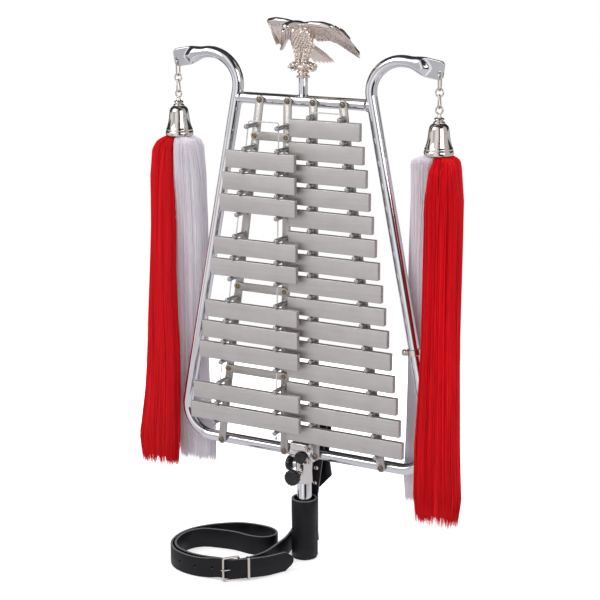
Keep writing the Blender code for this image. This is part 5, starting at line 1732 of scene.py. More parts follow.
    def feather(self, bm: BMesh, root: Vector, way: Vector, outward: Vector, length: float,
                width: float, thickness: float, roll: float) -> None:
        """Add one feather: a flat pointed blade with a raised shaft.

        Args:
            bm: The mesh to add to.
            root: Where it grows.
            way: The way it points.
            outward: The side that shows.
            length: Its length.
            width: Its half width.
            thickness: Its half thickness.
            roll: Turn about its own length, in radians.
        """
        along = way.normalized()
        up = (outward - along * outward.dot(along)).normalized()
        across = up.cross(along)
        turn = Matrix((across, along, up)).transposed().to_4x4() @ Matrix.Rotation(roll, 4, 'Y')
        place = Matrix.Translation(root + along * (length * 0.45)) @ turn
        verts = bmesh.ops.create_uvsphere(bm, u_segments=10, v_segments=8, radius=1.0)["verts"]
        for vert in verts:
            x, y, z = vert.co
            taper = 1.0 - 0.30 * max(0.0, -y) ** 2
            ridge = 1.0 + 0.9 * math.exp(-(x * 5.0) ** 2) * (1.0 if z > 0.0 else 0.0)
            vert.co = Vector((x * width * taper, y * length * 0.55, z * thickness * ridge))
        bmesh.ops.transform(bm, matrix=place, verts=verts)

    def wing_point(self, sign: float, u: float, v: float) -> Vector:
        """A point of a wing's middle sheet.

        Args:
            sign: Which wing, -1 or 1.
            u: From the body, 0, to the tip, 1.
            v: From the leading edge, 0, to the trailing edge, 1.

        Returns:
            The point.
        """
        count = len(self.wing) - 1
        place = min(count - 1e-6, max(0.0, u * count))
        i = int(place)
        share = place - i
        ends = []
        for edge in (0, 1):
            near = Vector(self.wing[i][edge])
            far = Vector(self.wing[i + 1][edge])
            if sign > 0.0:
                near.z -= self.droop[i][edge]
                far.z -= self.droop[i + 1][edge]
            ends.append(near.lerp(far, share))
        point = ends[0].lerp(ends[1], v) + Vector((0.0, 0.004, 0.004)) * (4.0 * v * (1.0 - v))
        return Vector((point.x * sign, point.y, point.z))

    def wing_sheet(self, bm: BMesh, sign: float) -> None:
        """Add the thick sheet that the wing's feathers lie on.

        Args:
            bm: The mesh to add to.
            sign: Which side, -1 for the left and 1 for the right.
        """
        made = bmesh.new()
        bmesh.ops.create_grid(made, x_segments=24, y_segments=12, size=0.5)
        for vert in made.verts:
            vert.co = self.wing_point(sign, vert.co.x * 0.97 + 0.485, (vert.co.y + 0.5) * 0.90)
        bmesh.ops.recalc_face_normals(made, faces=made.faces)
        bmesh.ops.solidify(made, geom=list(made.faces), thickness=0.0020)
        bmesh.ops.recalc_face_normals(made, faces=made.faces)
        add_mesh(bm, made)

    def wing_arm(self, bm: BMesh, sign: float) -> None:
        """Add the smooth arm along a wing's leading edge.

        Args:
            bm: The mesh to add to.
            sign: Which side, -1 for the left and 1 for the right.
        """
        off = Vector((0.0, -0.0002, 0.0002))
        arm = [self.wing_point(sign, 0.02 + 0.88 * i / 24, 0.05) + off for i in range(25)]
        frames = []
        for i, place in enumerate(route_frames(arm)):
            t = i / 24
            size = 0.92 + 0.30 * math.exp(-((t - 0.45) / 0.22) ** 2) - 0.74 * max(0.0, t - 0.35) / 0.65
            frames.append(sized(place, size))
        add_sweep(bm, circle(0.0040, 18), frames)

    def quill(self, bm: BMesh, sign: float, start: Pair, end: Pair,
              width: float, lift: float) -> None:
        """Add a long feather that follows a wing's sheet.

        Args:
            bm: The mesh to add to.
            sign: Which wing, -1 or 1.
            start: Its root on the sheet, as u and v.
            end: Its tip on the sheet, as u and v.
            width: Its half width.
            lift: How far it stands off the sheet, below it where negative.
        """
        steps = 12
        points = []
        normals = []
        for i in range(steps + 1):
            t = i / steps
            u = start[0] + (end[0] - start[0]) * t
            v = start[1] + (end[1] - start[1]) * math.sin(QUARTER_TURN * t)
            here = self.wing_point(sign, u, v)
            outward = self.wing_point(sign, min(1.0, u + 0.03), v)
            outward -= self.wing_point(sign, max(0.0, u - 0.03), v)
            back = self.wing_point(sign, u, min(1.0, v + 0.05))
            back -= self.wing_point(sign, u, max(0.0, v - 0.05))
            normal = outward.cross(back).normalized() * sign
            normals.append(normal)
            points.append(here + normal * (lift * (1.0 - 0.35 * t)))
        frames = []
        for i, place in enumerate(route_frames(points, side=normals[steps // 2])):
            t = i / steps
            size = 0.55 + 0.45 * min(1.0, t / 0.25)
            size *= math.sqrt(max(0.015, 1.0 - max(0.0, (t - 0.78) / 0.22) ** 2))
            frames.append(place @ Matrix.Diagonal((size, 0.5 + 0.5 * size, 1.0, 1.0)))
        vane = width * 0.62
        shaft = width * 0.12
        blade = [(width, 0.0), (vane, 0.00065), (shaft, 0.00110), (0.0, 0.00150), (-shaft, 0.00110),
                 (-vane, 0.00065), (-width, 0.0), (-vane, -0.00050), (0.0, -0.00070), (vane, -0.00050)]
        add_sweep(bm, blade, frames)

    def wing_feathers(self, bm: BMesh, sign: float) -> None:
        """Lay long flight feathers and two rows of coverts over and under a wing's sheet.

        Args:
            bm: The mesh to add to.
            sign: Which side, -1 for the left and 1 for the right.
        """
        for layer in (self.layer, -self.layer):
            for row in self.rows:
                for i in range(row.count):
                    t = i / (row.count - 1)
                    start = (row.root[0] + row.spread[0] * t, row.root[1])
                    end = (row.tip[0] + row.spread[1] * t, row.tip[1])
                    lift = layer * (row.lift + row.stagger * (i % 2))
                    self.quill(bm, sign, start, end, row.width, lift)

    def leg(self, bm: BMesh, sign: float) -> None:
        """Add a full feathered thigh, a shank and claws.

        Args:
            bm: The mesh to add to.
            sign: Which side, -1 for the left and 1 for the right.
        """
        hip = Vector((sign * 0.0086, 0.001, self.foot + 0.0205))
        ankle = Vector((sign * 0.0058, -0.003, self.foot - 0.0020))
        add_rod(bm, ankle, hip, 0.0030, 0.0078, 16)
        for level in range(6):
            for j in range(8):
                angle = FULL_TURN * (j + 0.5 * (level % 2)) / 8.0
                t = level / 6
                out = Vector((math.cos(angle), math.sin(angle), 0.0))
                spot = hip.lerp(ankle, 0.02 + t * 0.78) + out * (0.0074 - 0.0044 * t)
                self.feather(bm, spot, ankle - hip, out + UP * 0.1, 0.0070, 0.0019, 0.0008, 0.0)
        for angle in (-2.2, -1.57, -0.95, 1.57):
            way = Vector((math.cos(angle), math.sin(angle), 0.0))
            toe = smooth_route([ankle, ankle + way * 0.004 + UP * 0.0008,
                                ankle + way * 0.0068 - UP * 0.0030], 4)
            add_sweep(bm, circle(0.0013, 8), route_frames(toe))

    def tail(self, bm: BMesh) -> None:
        """Add the fanned tail, two layers of long feathers.

        Args:
            bm: The mesh to add to.
        """
        root = Vector((0.0005, 0.010, 0.7635))
        for layer, (count, spread, length) in enumerate(((6, 0.22, 0.054), (5, 0.17, 0.045))):
            for i in range(count):
                share = 2.0 * i / (count - 1) - 1.0
                swing = spread * share
                way = Vector((math.sin(swing) + 0.17, math.cos(swing) * 0.80, -0.600))
                start = root + Vector((0.0048 * share, 0.0, 0.0012 - 0.0024 * layer))
                self.feather(bm, start, way, Vector((0.0, 0.5, 0.85)), length * (1.0 - 0.20 * abs(swing)),
                             0.0039, 0.0012, 0.30)


@dataclass
class StemClamp:
    """The clamp casting that holds the lyre and slides over the lower tube.

    Attributes:
        half_width: Half its width along the bottom tube.
        hood_left: Reach of its hood to the left.
        hood_right: Reach of its hood to the right, short of the hexagon screw's head.
        hood_depth: The y of the hood's front and back.
        hood_height: Heights of its lower and upper face.
        fit: Clearance between the saddle and the bottom tube.
        wall: The saddle's wall.
        sleeve: Outer radius of the sleeve.
        sleeve_low: Height of its lower end.
        bore: Radius of its bore.
        bore_top: Height of its bore's top.
        lug_z: Height of the tilt screw's lug.
        boss_z: Height of the height screw's boss.
        boss_front: The y of its face.
        lug: Radius of the lug.
        boss: Radius of the boss.
        hex_place: The hexagon screw's x and height.
    """

    half_width: float = 0.0175
    hood_left: float = 0.0135
    hood_right: float = 0.0150
    hood_depth: Pair = (-0.020, -0.0095)
    hood_height: Pair = (0.1718, 0.1842)
    fit: float = 0.0004
    wall: float = 0.005
    sleeve: float = 0.0128
    sleeve_low: float = 0.1187
    bore: float = 0.0113
    bore_top: float = 0.150
    lug_z: float = 0.1445
    boss_z: float = 0.1365
    boss_front: float = -0.0185
    lug: float = 0.0055
    boss: float = 0.0048
    hex_place: Pair = (0.0108, 0.1780)

    def build(self) -> None:
        """Build the casting and its screw."""
        bottom = LAYOUT.bottom_z
        inner = LAYOUT.tube + self.fit
        width = self.half_width
        bm = bmesh.new()
        add_rod(bm, (-width, 0.0, bottom), (width, 0.0, bottom), inner + self.wall, segments=48, edge=0.0007)
        bore = bmesh.new()
        add_rod(bore, (-width * 1.5, 0.0, bottom), (width * 1.5, 0.0, bottom), inner, segments=48)
        bm = carve(bm, bore)
        hood = bmesh.new()
        front, back = self.hood_depth
        low, high = self.hood_height
        add_block(hood, (-self.hood_left, front, low), (self.hood_right, back, high), 0.0022, 3)
        add_mesh(bm, hood)
        shoulder = [(self.bore, self.sleeve_low), (self.sleeve - 0.0005, self.sleeve_low),
                    (self.sleeve, self.sleeve_low + 0.0005), (self.sleeve, self.lug_z - 0.004),
                    (0.0132, self.lug_z + 0.001), (0.0132, bottom - 0.0105), (0.0126, bottom - 0.0092),
                    (0.0, bottom - 0.0092), (0.0, self.bore_top), (self.bore, self.bore_top),
                    (self.bore, self.sleeve_low)]
        add_turned(bm, shoulder, NO_TURN, steps=48)
        for start, end, radius, edge in ((-width - 0.0015, -0.0115, self.lug, 0.0006),
                                         (-width + 0.0008, -width + 0.0022, 0.0061, 0.0003)):
            add_rod(bm, (start, 0.0, self.lug_z), (end, 0.0, self.lug_z), radius, segments=28, edge=edge)
        add_rod(bm, (0.0, self.boss_front, self.boss_z), (0.0, -0.0118, self.boss_z), self.boss,
                segments=28, edge=0.0006)
        finish_piece("clamp_casting", bm, CLAMP_METAL, "stem", ("stem_clamp",), smooth=42.0)
        self.hex_screw(*self.hex_place)

    def hex_screw(self, x: float, z: float) -> None:
        """Add the hexagon screw with its washer in the hood's front.

        Args:
            x: The screw's x.
            z: Its height.
        """
        bm = bmesh.new()
        add_rod(bm, (x, -0.0200, z), (x, -0.0206, z), 0.0042, segments=24)
        add_rod(bm, (x, -0.0206, z), (x, -0.0230, z), 0.0037, segments=6, edge=0.0003)
        add_rod(bm, (x, -0.0230, z), (x, -0.0233, z), 0.0026, 0.0021, segments=20)
        finish_piece("clamp_hex_screw", bm, NICKEL, "stem")


@dataclass
class Knob:
    """A fluted black knob on its screw.

    Attributes:
        node: The frame's node it stands for.
        radius: Its radius.
        thickness: Its thickness.
        reach: Length of the screw behind it.
        face: Centre of its outer face.
        outward: The way its face looks.
        flutes: Number of flutes.
        dome: Places and sizes of the grip's sections in front of its back edge.
        shank: Radius of the screw.
        crest: Radius of its thread.
        pitch: Pitch of its thread.
    """

    node: str
    radius: float
    thickness: float
    reach: float
    face: Triple
    outward: Triple
    flutes: int = 14
    dome: tuple[Pair, ...] = ((-0.0022, 1.0), (-0.0010, 0.965), (-0.0003, 0.90), (0.0, 0.82),
                              (-0.0002, 0.70), (-0.0006, 0.62))
    shank: float = 0.0020
    crest: float = 0.00235
    pitch: float = 0.0010

    def build(self) -> None:
        """Build the knob and its screw."""
        turn = Vector(self.outward).to_track_quat('Z', 'X').to_matrix().to_4x4()
        place = Matrix.Translation(self.face) @ turn
        bm = bmesh.new()
        outline = []
        for i in range(self.flutes * 8):
            angle = FULL_TURN * i / (self.flutes * 8)
            reach = self.radius * (1.0 - 0.05 * (0.5 - 0.5 * math.cos(self.flutes * angle)) ** 2)
            outline.append((reach * math.cos(angle), reach * math.sin(angle)))
        body = self.thickness
        sections = ((-body, 0.90), (-body + 0.0006, 0.97), (-body + 0.0016, 1.0)) + self.dome
        frames = [sized(place @ Matrix.Translation((0.0, 0.0, z)), size) for z, size in sections]
        add_sweep(bm, outline, frames)
        hub = [place @ Vector((0.0, 0.0, z)) for z in (-body + 0.0005, -body - 0.0012)]
        add_rod(bm, hub[0], hub[1], self.radius * 0.55, segments=28, edge=0.0003)
        finish_piece(self.node + "_grip", bm, KNOB_PLASTIC, self.node, (self.node,), smooth=50.0)
        screw = bmesh.new()
        start = place @ Vector((0.0, 0.0, -body - 0.0008))
        end = place @ Vector((0.0, 0.0, -body - self.reach))
        add_rod(screw, start, end, self.shank, segments=16)
        way = (end - start).normalized()
        turns = max(2, int((end - start).length / self.pitch))
        for i in range(turns):
            spot = start + way * (0.0006 + self.pitch * i)
            add_rod(screw, spot, spot + way * 0.0004, self.shank, self.crest, 16)
        finish_piece(self.node + "_screw", screw, NICKEL, self.node)


@dataclass
class LowerTube:
    """The slotted chromed tube that stands in the cup and carries the sleeve.

    Attributes:
        radius: Outer radius.
        low: Height of its foot.
        top: Height of its rim, inside the sleeve.
        wall: Its wall at the rim.
        slot_angle: Heading of the slot, in radians.
        slot: Heights of the slot's two ends.
    """

    radius: float = 0.011
    low: float = 0.0083
    top: float = 0.148
    wall: float = 0.0016
    slot_angle: float = math.radians(-118.0)
    slot: Pair = (0.068, 0.108)

    def build(self) -> None:
        """Build the tube."""
        bm = bmesh.new()
        r = self.radius
        bore = r - self.wall
        top = self.top
        profile = [(0.0, self.low), (r - 0.0012, self.low), (r, self.low + 0.0012), (r, top - 0.0010),
                   (r - 0.0005, top), (bore, top), (bore - 0.0003, top - 0.0020), (0.0, top - 0.0022)]
        add_turned(bm, profile, NO_TURN, steps=48)
        slot = bmesh.new()
        add_block(slot, (r - 0.0025, -0.0015, self.slot[0]), (r + 0.003, 0.0015, self.slot[1]), 0.0013, 3,
                  place=Matrix.Rotation(self.slot_angle, 4, 'Z'))
        bm = carve(bm, slot)
        finish_piece("slotted_lower_tube", bm, CHROME, "lower_tube", ("lower_tube",))


def mark_cut_edges(mesh: bpy.types.Mesh, test: Callable[[Vector, Vector], float]) -> None:
    """Write the attribute cut_edge on a mesh's faces.

    Args:
        mesh: The leather's mesh.
        test: Gives how far a face is a cut edge, from its centre and its normal.
    """
    layer = mesh.attributes.new("cut_edge", 'FLOAT', 'FACE')
    values = [test(face.center, face.normal) for face in mesh.polygons]
    layer.data.foreach_set("value", values)


@dataclass
class LeatherCup:
    """The sewn leather cup that the stem stands in.

    Attributes:
        radius: Outer radius.
        height: Its height.
        mouth: Radius of its mouth.
        floor: Thickness of its floor.
        seat: Radius of the narrow seat.
        seam: Heading of the seam, in degrees.
    """

    radius: float = 0.0195
    height: float = 0.0937
    mouth: float = 0.0158
    floor: float = 0.008
    seat: float = 0.0113
    seam: float = 16.0

    def build(self) -> None:
        """Build the cup with its raised seam."""
        bm = bmesh.new()
        r = self.radius
        top = self.height
        profile = [(0.0, 0.0), (r - 0.0018, 0.0), (r - 0.0006, 0.0007), (r - 0.0002, 0.0020),
                   (r - 0.0008, 0.0034), (r - 0.0001, 0.0050), (r, 0.020), (r - 0.0004, 0.045), (r, 0.070),
                   (r, top - 0.0010), (r - 0.0006, top - 0.0001), (r - 0.0012, top),
                   (self.mouth + 0.0006, top), (self.mouth, top - 0.0008), (self.mouth, top - 0.020),
                   (self.seat, self.floor + 0.022), (self.seat, self.floor), (0.0, self.floor)]
        add_turned(bm, profile, NO_TURN, steps=64)
        seam = bmesh.new()
        angle = math.radians(self.seam)
        out = Vector((math.cos(angle), math.sin(angle), 0.0))
        route = [out * (r - 0.0003) + Vector((0.0, 0.0, z)) for z in np.linspace(0.004, top - 0.0015, 24)]
        add_sweep(seam, rounded_outline(0.0016, 0.0022, 0.0006), route_frames(route, side=out))
        add_mesh(bm, seam)
        piece = finish_piece("leather_cup_shell", bm, LEATHER, "carrier", ("leather_cup",), smooth=40.0)

        def is_cut(centre: Vector, normal: Vector) -> float:
            """The mouth's rim and the seam's ridge are cut edges.

            Args:
                centre: A face's centre.
                normal: The face's normal.

            Returns:
                1 for a cut edge, otherwise 0.
            """
            rim = centre.z > top - 0.0012 and normal.z > 0.2
            ridge = centre.xy.length > r + 0.0003
            return 1.0 if rim or ridge else 0.0
        mark_cut_edges(piece.data, is_cut)


@dataclass
class BackStrap:
    """The leather strip behind the stem, leaning to the right, folded over at its top and riveted twice.

    Attributes:
        width: Its width.
        thickness: Its thickness.
        low: Height of its lower end.
        high: Height of the fold's start.
        cup_top: Height of the cup's mouth, where the lean starts.
        lean: How far it leans for each metre up.
        fold: Radius of the fold.
        flap: Path of the flap: x, set back and height.
        slant: How far the flap's two lower corners lie below and above its middle.
        levels: Heights of the strip's points between its lower end and the fold.
        cup: Radius of the cup that it lies against.
        rivets: The rivets' x and height.
        rivet: Radius and height of a rivet's head.
    """

    width: float = 0.023
    thickness: float = 0.003
    low: float = 0.036
    high: float = 0.222
    cup_top: float = 0.0937
    lean: float = 0.14
    fold: float = 0.005
    flap: tuple[Point, ...] = ((0.0165, 0.001, 0.192), (0.0142, 0.0015, 0.178), (0.0125, 0.002, 0.162),
                               (0.0140, 0.0025, 0.140), (0.0165, 0.003, 0.122), (0.0178, 0.003, 0.111))
    slant: float = 0.010
    levels: tuple[float, ...] = (0.06, 0.08, 0.0937, 0.105, 0.125, 0.15, 0.175, 0.202)
    cup: float = 0.0195
    rivets: tuple[Pair, ...] = ((0.0069, 0.111), (0.0094, 0.1353))
    rivet: tuple[Pair, ...] = (
        (0.0, -0.0006), (0.0036, -0.0006), (0.0036, 0.0002), (0.0032, 0.0009), (0.0022, 0.0015),
        (0.0, 0.0018))

    def path(self) -> list[Vector]:
        """Middle line of the strip.

        Returns:
            The line's points, from the lower end.
        """
        front = self.cup + LAYOUT.gap + self.thickness / 2.0
        points = [Vector((self.lean * max(0.0, z - self.cup_top), front, z))
                  for z in (self.low, *self.levels)]
        reach = points[-1].x
        for i in range(17):
            angle = math.pi * i / 16
            points.append(Vector((reach + (self.flap[0][0] - reach) * i / 16,
                                  front + self.fold * (1.0 - math.cos(angle)),
                                  self.high + self.fold * math.sin(angle))))
        back = front + 2.0 * self.fold
        points += [Vector((x, back + y, z)) for x, y, z in self.flap]
        return points

    def build(self) -> None:
        """Build the strip and its rivets."""
        points = self.path()
        frames = route_frames(points, side=Vector((1.0, 0.0, 0.0)))
        shear = Matrix.Identity(4)
        shear[2][1] = -2.0 * self.slant / self.width
        frames[-1] = frames[-1] @ shear
        bm = bmesh.new()
        outline = rounded_outline(self.thickness, self.width, 0.0006, 2)
        add_sweep(bm, outline, frames)
        piece = finish_piece("back_strap_leather", bm, LEATHER, "carrier", ("back_strap",), smooth=40.0)
        mark_cut_edges(piece.data, self.is_cut)
        bm = bmesh.new()
        for x, z in self.rivets:
            place = Matrix.Translation((x, self.cup + LAYOUT.gap, z)) @ Matrix.Rotation(QUARTER_TURN, 4, 'X')
            add_turned(bm, self.rivet, place, 24)
        finish_piece("back_strap_rivets", bm, NICKEL, "carrier")

    @staticmethod
    def is_cut(_: Vector, normal: Vector) -> float:
        """The long sides and the flap's end are cut edges."""
        return 1.0 if abs(normal.x) > 0.8 or normal.z < -0.75 else 0.0


@dataclass
class CarryingStrap:
    """The carrying strap on edge, with its holes, buckle, prong and keeper.

    Attributes:
        height: Width of the leather, which stands upright.
        thickness: Its thickness.
        tongue: Length of the pointed tongue.
        wire: Radius of the buckle's wire.
        hole: Radius of a strap hole.
        holes: Places of the holes, counted in route points.
        front_place: Place of the buckle's front bar.
        back_place: Place of its back bar.
        keeper_place: Place of the keeper.
        bar_front: Room between the strap and the buckle's front bar.
        room: Room between the strap and the back bar, and above and below it.
        pin: Radius of the prong.
        route: The strap's middle: x, y and height of its lower edge.
    """

    height: float = 0.030
    thickness: float = 0.0036
    tongue: float = 0.014
    wire: float = 0.0016
    hole: float = 0.002
    holes: tuple[float, ...] = (34.85, 36.1, 37.5)
    front_place: float = 38.8
    back_place: float = 40.5
    keeper_place: float = 41.4
    bar_front: float = 0.0026
    room: float = 0.0008
    pin: float = 0.0009
    route: tuple[Point, ...] = (
        (0.009, 0.0250, 0.018), (-0.002, 0.0250, 0.017), (-0.0130, 0.0254, 0.014), (-0.0228, 0.0195, 0.009),
        (-0.0262, 0.0060, 0.003), (-0.0250, -0.016, 0.0), (-0.0240, -0.042, 0.0), (-0.0245, -0.072, 0.0),
        (-0.031, -0.094, 0.0), (-0.041, -0.113, 0.0), (-0.056, -0.1245, 0.0), (-0.074, -0.1265, 0.0),
        (-0.094, -0.1305, 0.0), (-0.114, -0.1315, 0.0), (-0.132, -0.1278, 0.0), (-0.149, -0.1200, 0.0),
        (-0.1625, -0.104, 0.0), (-0.1688, -0.080, 0.0), (-0.1655, -0.0585, 0.0), (-0.1525, -0.0425, 0.0),
        (-0.129, -0.035, 0.0), (-0.103, -0.031, 0.0), (-0.076, -0.033, 0.0), (-0.057, -0.029, 0.0),
        (-0.046, -0.0175, 0.0), (-0.0465, -0.003, 0.0), (-0.060, 0.008, 0.0), (-0.083, 0.011, 0.0),
        (-0.111, 0.006, 0.0), (-0.133, -0.007, 0.0), (-0.154, -0.027, 0.0), (-0.169, -0.052, 0.0),
        (-0.1735, -0.080, 0.0), (-0.167, -0.108, 0.0), (-0.150, -0.128, 0.0), (-0.130, -0.1375, 0.0),
        (-0.107, -0.1405, 0.0), (-0.086, -0.1385, 0.001), (-0.068, -0.1365, 0.0042),
        (-0.055, -0.1355, 0.0042), (-0.044, -0.131, 0.0042), (-0.033, -0.122, 0.0042),
        (-0.0235, -0.110, 0.003), (-0.0125, -0.092, 0.001), (-0.003, -0.072, 0.0), (0.0017, -0.0633, 0.0))

    def at(self, place: float) -> tuple[Vector, Vector, Vector]:
        """Point, heading and outward side at a place, counted in route points.

        Args:
            place: A place, counted in route points.

        Returns:
            The point, the strap's heading there and its outward side.
        """
        end = len(self.route) - 1
        index = min(int(place), end - 1)
        share = place - index
        first, here, there, last = (Vector(self.route[min(end, max(0, index + i))]) for i in (-1, 0, 1, 2))
        before = first.lerp(here, share)
        after = there.lerp(last, share)
        here = here.lerp(there, share)
        heading = after - before
        heading.z = 0.0
        heading.normalize()
        return here, heading, Vector((heading.y, -heading.x, 0.0))

    def build(self) -> None:
        """Build the leather, the buckle, the prong and the keeper."""
        self.leather()
        self.buckle()
        self.prong()
        self.keeper()

    def leather(self) -> None:
        """Build the strap's leather with its holes and its pointed tongue."""
        points = [Vector((p.x, p.y, max(0.0, p.z) + self.height / 2.0)) for p in smooth_route(self.route, 6)]
        way = (points[-1] - points[-2]).normalized()
        steps = 14
        for i in range(1, steps + 1):
            points.append(points[-1] + way * (self.tongue / steps))
        frames = route_frames(points, side=UP)
        for i in range(1, steps + 1):
            t = i / steps
            size = (1.0 - 0.62 * t) * math.sqrt(max(0.0, 1.0 - (0.97 * t) ** 8))
            index = len(frames) - steps - 1 + i
            frames[index] = frames[index] @ Matrix.Diagonal((1.0, size, 1.0, 1.0))
        bm = bmesh.new()
        add_sweep(bm, rounded_outline(self.thickness, self.height, 0.0008, 3), frames)
        punch = bmesh.new()
        for place in self.holes:
            here, _, out = self.at(place)
            middle = here + UP * (self.height / 2.0)
            reach = out * self.thickness
            add_rod(punch, middle - reach, middle + reach, self.hole, segments=20)
        bm = carve(bm, punch)
        piece = finish_piece("carrying_strap", bm, LEATHER, "carrier", ("strap",), smooth=40.0)
        mark_cut_edges(piece.data, self.is_cut)

    @staticmethod
    def is_cut(_: Vector, normal: Vector) -> float:
        """The upper and lower edges are cut."""
        return 1.0 if abs(normal.z) > 0.55 else 0.0

    def bar(self, place: float, margin: float, side: float) -> tuple[Vector, Vector, Vector]:
        """Find a buckle bar beside the strap.

        Args:
            place: Its place along the strap, counted in route points.
            margin: Room between the strap and the bar.
            side: 1 outside the strap, -1 inside it.

        Returns:
            Its middle, the strap's heading there and the outward side.
        """
        here, heading, out = self.at(place)
        offset = self.thickness / 2.0 + margin + self.wire
        middle = Vector((here.x, here.y, here.z + self.height / 2.0))
        return middle + out * (offset * side), heading, out

    def buckle(self) -> None:
        """Build the buckle's wire frame."""
        front, _, _ = self.bar(self.front_place, self.bar_front, 1.0)
        back, _, _ = self.bar(self.back_place, self.room, -1.0)
        half = self.height / 2.0 + self.room + self.wire
        corners = [middle + Vector((0.0, 0.0, half * sign))
                   for middle, sign in ((front, 1.0), (front, -1.0), (back, -1.0), (back, 1.0))]
        ring = []
        for i, point in enumerate(corners):
            before = (corners[i - 1] - point).normalized()
            after = (corners[(i + 1) % 4] - point).normalized()
            start = point + before * 0.003
            end = point + after * 0.003
            for j in range(7):
                t = j / 6
                ring.append(start * (1 - t) ** 2 + point * (2 * t * (1 - t)) + end * t ** 2)
        bm = bmesh.new()
        add_sweep(bm, circle(self.wire, 16), route_frames(ring, closed=True), closed=True)
        finish_piece("buckle_wire", bm, NICKEL, "carrier", ("buckle_frame",), smooth=60.0)

    def prong(self) -> None:
        """Build the prong: an eye round the front bar and a pin along the strap's face."""
        bar, heading, out = self.bar(self.front_place, self.bar_front, 1.0)
        radius = self.pin
        reach = self.wire + LAYOUT.gap + radius
        points = []
        for i in range(21):
            angle = math.radians(-120.0 + 12.0 * i)
            points.append(bar - heading * (math.cos(angle) * reach) + out * (math.sin(angle) * reach))
        points.append(bar + heading * 0.005)
        tip, _, tip_out = self.at(self.front_place + 0.75)
        points.append(Vector((tip.x, tip.y, bar.z)) + tip_out * (self.thickness / 2.0 + 0.0015))
        bm = bmesh.new()
        frames = route_frames(points)
        frames[-1] = frames[-1] @ Matrix.Diagonal((0.5, 0.5, 1.0, 1.0))
        add_sweep(bm, circle(radius, 12), frames)
        finish_piece("buckle_pin", bm, NICKEL, "prong", ("buckle_prong",), smooth=60.0)

    def keeper(self) -> None:
        """Build the keeper, a flat loop round the strap."""
        here, heading, out = self.at(self.keeper_place)
        centre = Vector((here.x, here.y, here.z + self.height / 2.0))
        place = Matrix.Translation(centre) @ Matrix((heading, out, (0.0, 0.0, 1.0))).transposed().to_4x4()
        depth = self.thickness / 2.0 + 0.0011 + 0.0007
        half = self.height / 2.0 + 0.0008 + 0.0007
        ring = [place @ Vector((0.0, y, z)) for y, z in rounded_outline(2.0 * depth, 2.0 * half, 0.0016, 5)]
        bm = bmesh.new()
        frames = route_frames(ring, closed=True, side=heading)
        add_sweep(bm, rounded_outline(0.0014, 0.0036, 0.0005, 2), frames, closed=True)
        finish_piece("strap_keeper_loop", bm, NICKEL, "carrier", ("strap_keeper",), smooth=45.0)


@dataclass
class PlumeChain:
    """Hook, ring and pear link that carry a plume.

    Attributes:
        side: Which plume.
        x: Distance of the chain from the middle plane.
        hook_top: Height of the hook's upper wire.
        hook_low: Height of its lower wire.
        hook_wire: Radius of its wire.
        ring: Radius of the ring.
        ring_wire: Radius of its wire.
        link_low: Height of the link's lower wire.
        hook_half: Radius of the hook's two ends.
        link_halves: Radii of the link's upper and lower end.
    """

    side: Side
    x: float = 0.2085
    hook_top: float = 0.7342
    hook_low: float = 0.7105
    hook_wire: float = 0.0012
    ring: float = 0.0055
    ring_wire: float = 0.0011
    link_low: float = 0.6865
    hook_half: float = 0.0042
    link_halves: Pair = (0.0026, 0.0044)

    def loop(self, top: float, low: float, half_top: float, half_low: float) -> list[Vector]:
        """Closed loop in the plane x = constant, with round ends of two sizes.

        Args:
            top: Height of its top.
            low: Height of its lower end.
            half_top: Radius of the upper end.
            half_low: Radius of the lower end.

        Returns:
            The loop's points.
        """
        x = self.side.value * self.x
        points = []
        for start, half, middle in ((0.0, half_top, top - half_top), (math.pi, half_low, low + half_low)):
            for i in range(13):
                angle = start + math.pi * i / 12
                points.append(Vector((x, half * math.cos(angle), middle + half * math.sin(angle))))
        return points

    def wire(self, name: str, body: str, node: str, points: Sequence[Vector], radius: float) -> None:
        """Build a closed wire loop.

        Args:
            name: The piece's name.
            body: The body it moves with.
            node: The frame's node it stands for.
            points: The loop's points.
            radius: Radius of the wire.
        """
        bm = bmesh.new()
        add_sweep(bm, circle(radius, 12), route_frames(points, closed=True), closed=True)
        finish_piece(name, bm, NICKEL, body, (node,), smooth=60.0)

    def build(self) -> None:
        """Build the hook, the ring and the link."""
        word = self.side.word
        x = self.side.value * self.x
        self.wire("snap_hook_" + word, "hook_" + word, "plume_hook_" + word,
                  self.loop(self.hook_top, self.hook_low, self.hook_half, self.hook_half), self.hook_wire)
        ring_z = self.hook_low + self.hook_wire + self.ring_wire + LAYOUT.gap - self.ring
        ring = ring_of(Vector((x, 0.0, ring_z)), Vector((self.ring, 0.0, 0.0)), UP * self.ring, 32)
        self.wire("split_ring_" + word, "ring_" + word, "plume_ring_" + word, ring, self.ring_wire)
        link_top = ring_z - self.ring + 2.0 * self.ring_wire + LAYOUT.gap
        self.wire("pear_link_" + word, "link_" + word, "plume_link_" + word,
                  self.loop(link_top, self.link_low, *self.link_halves), self.ring_wire)


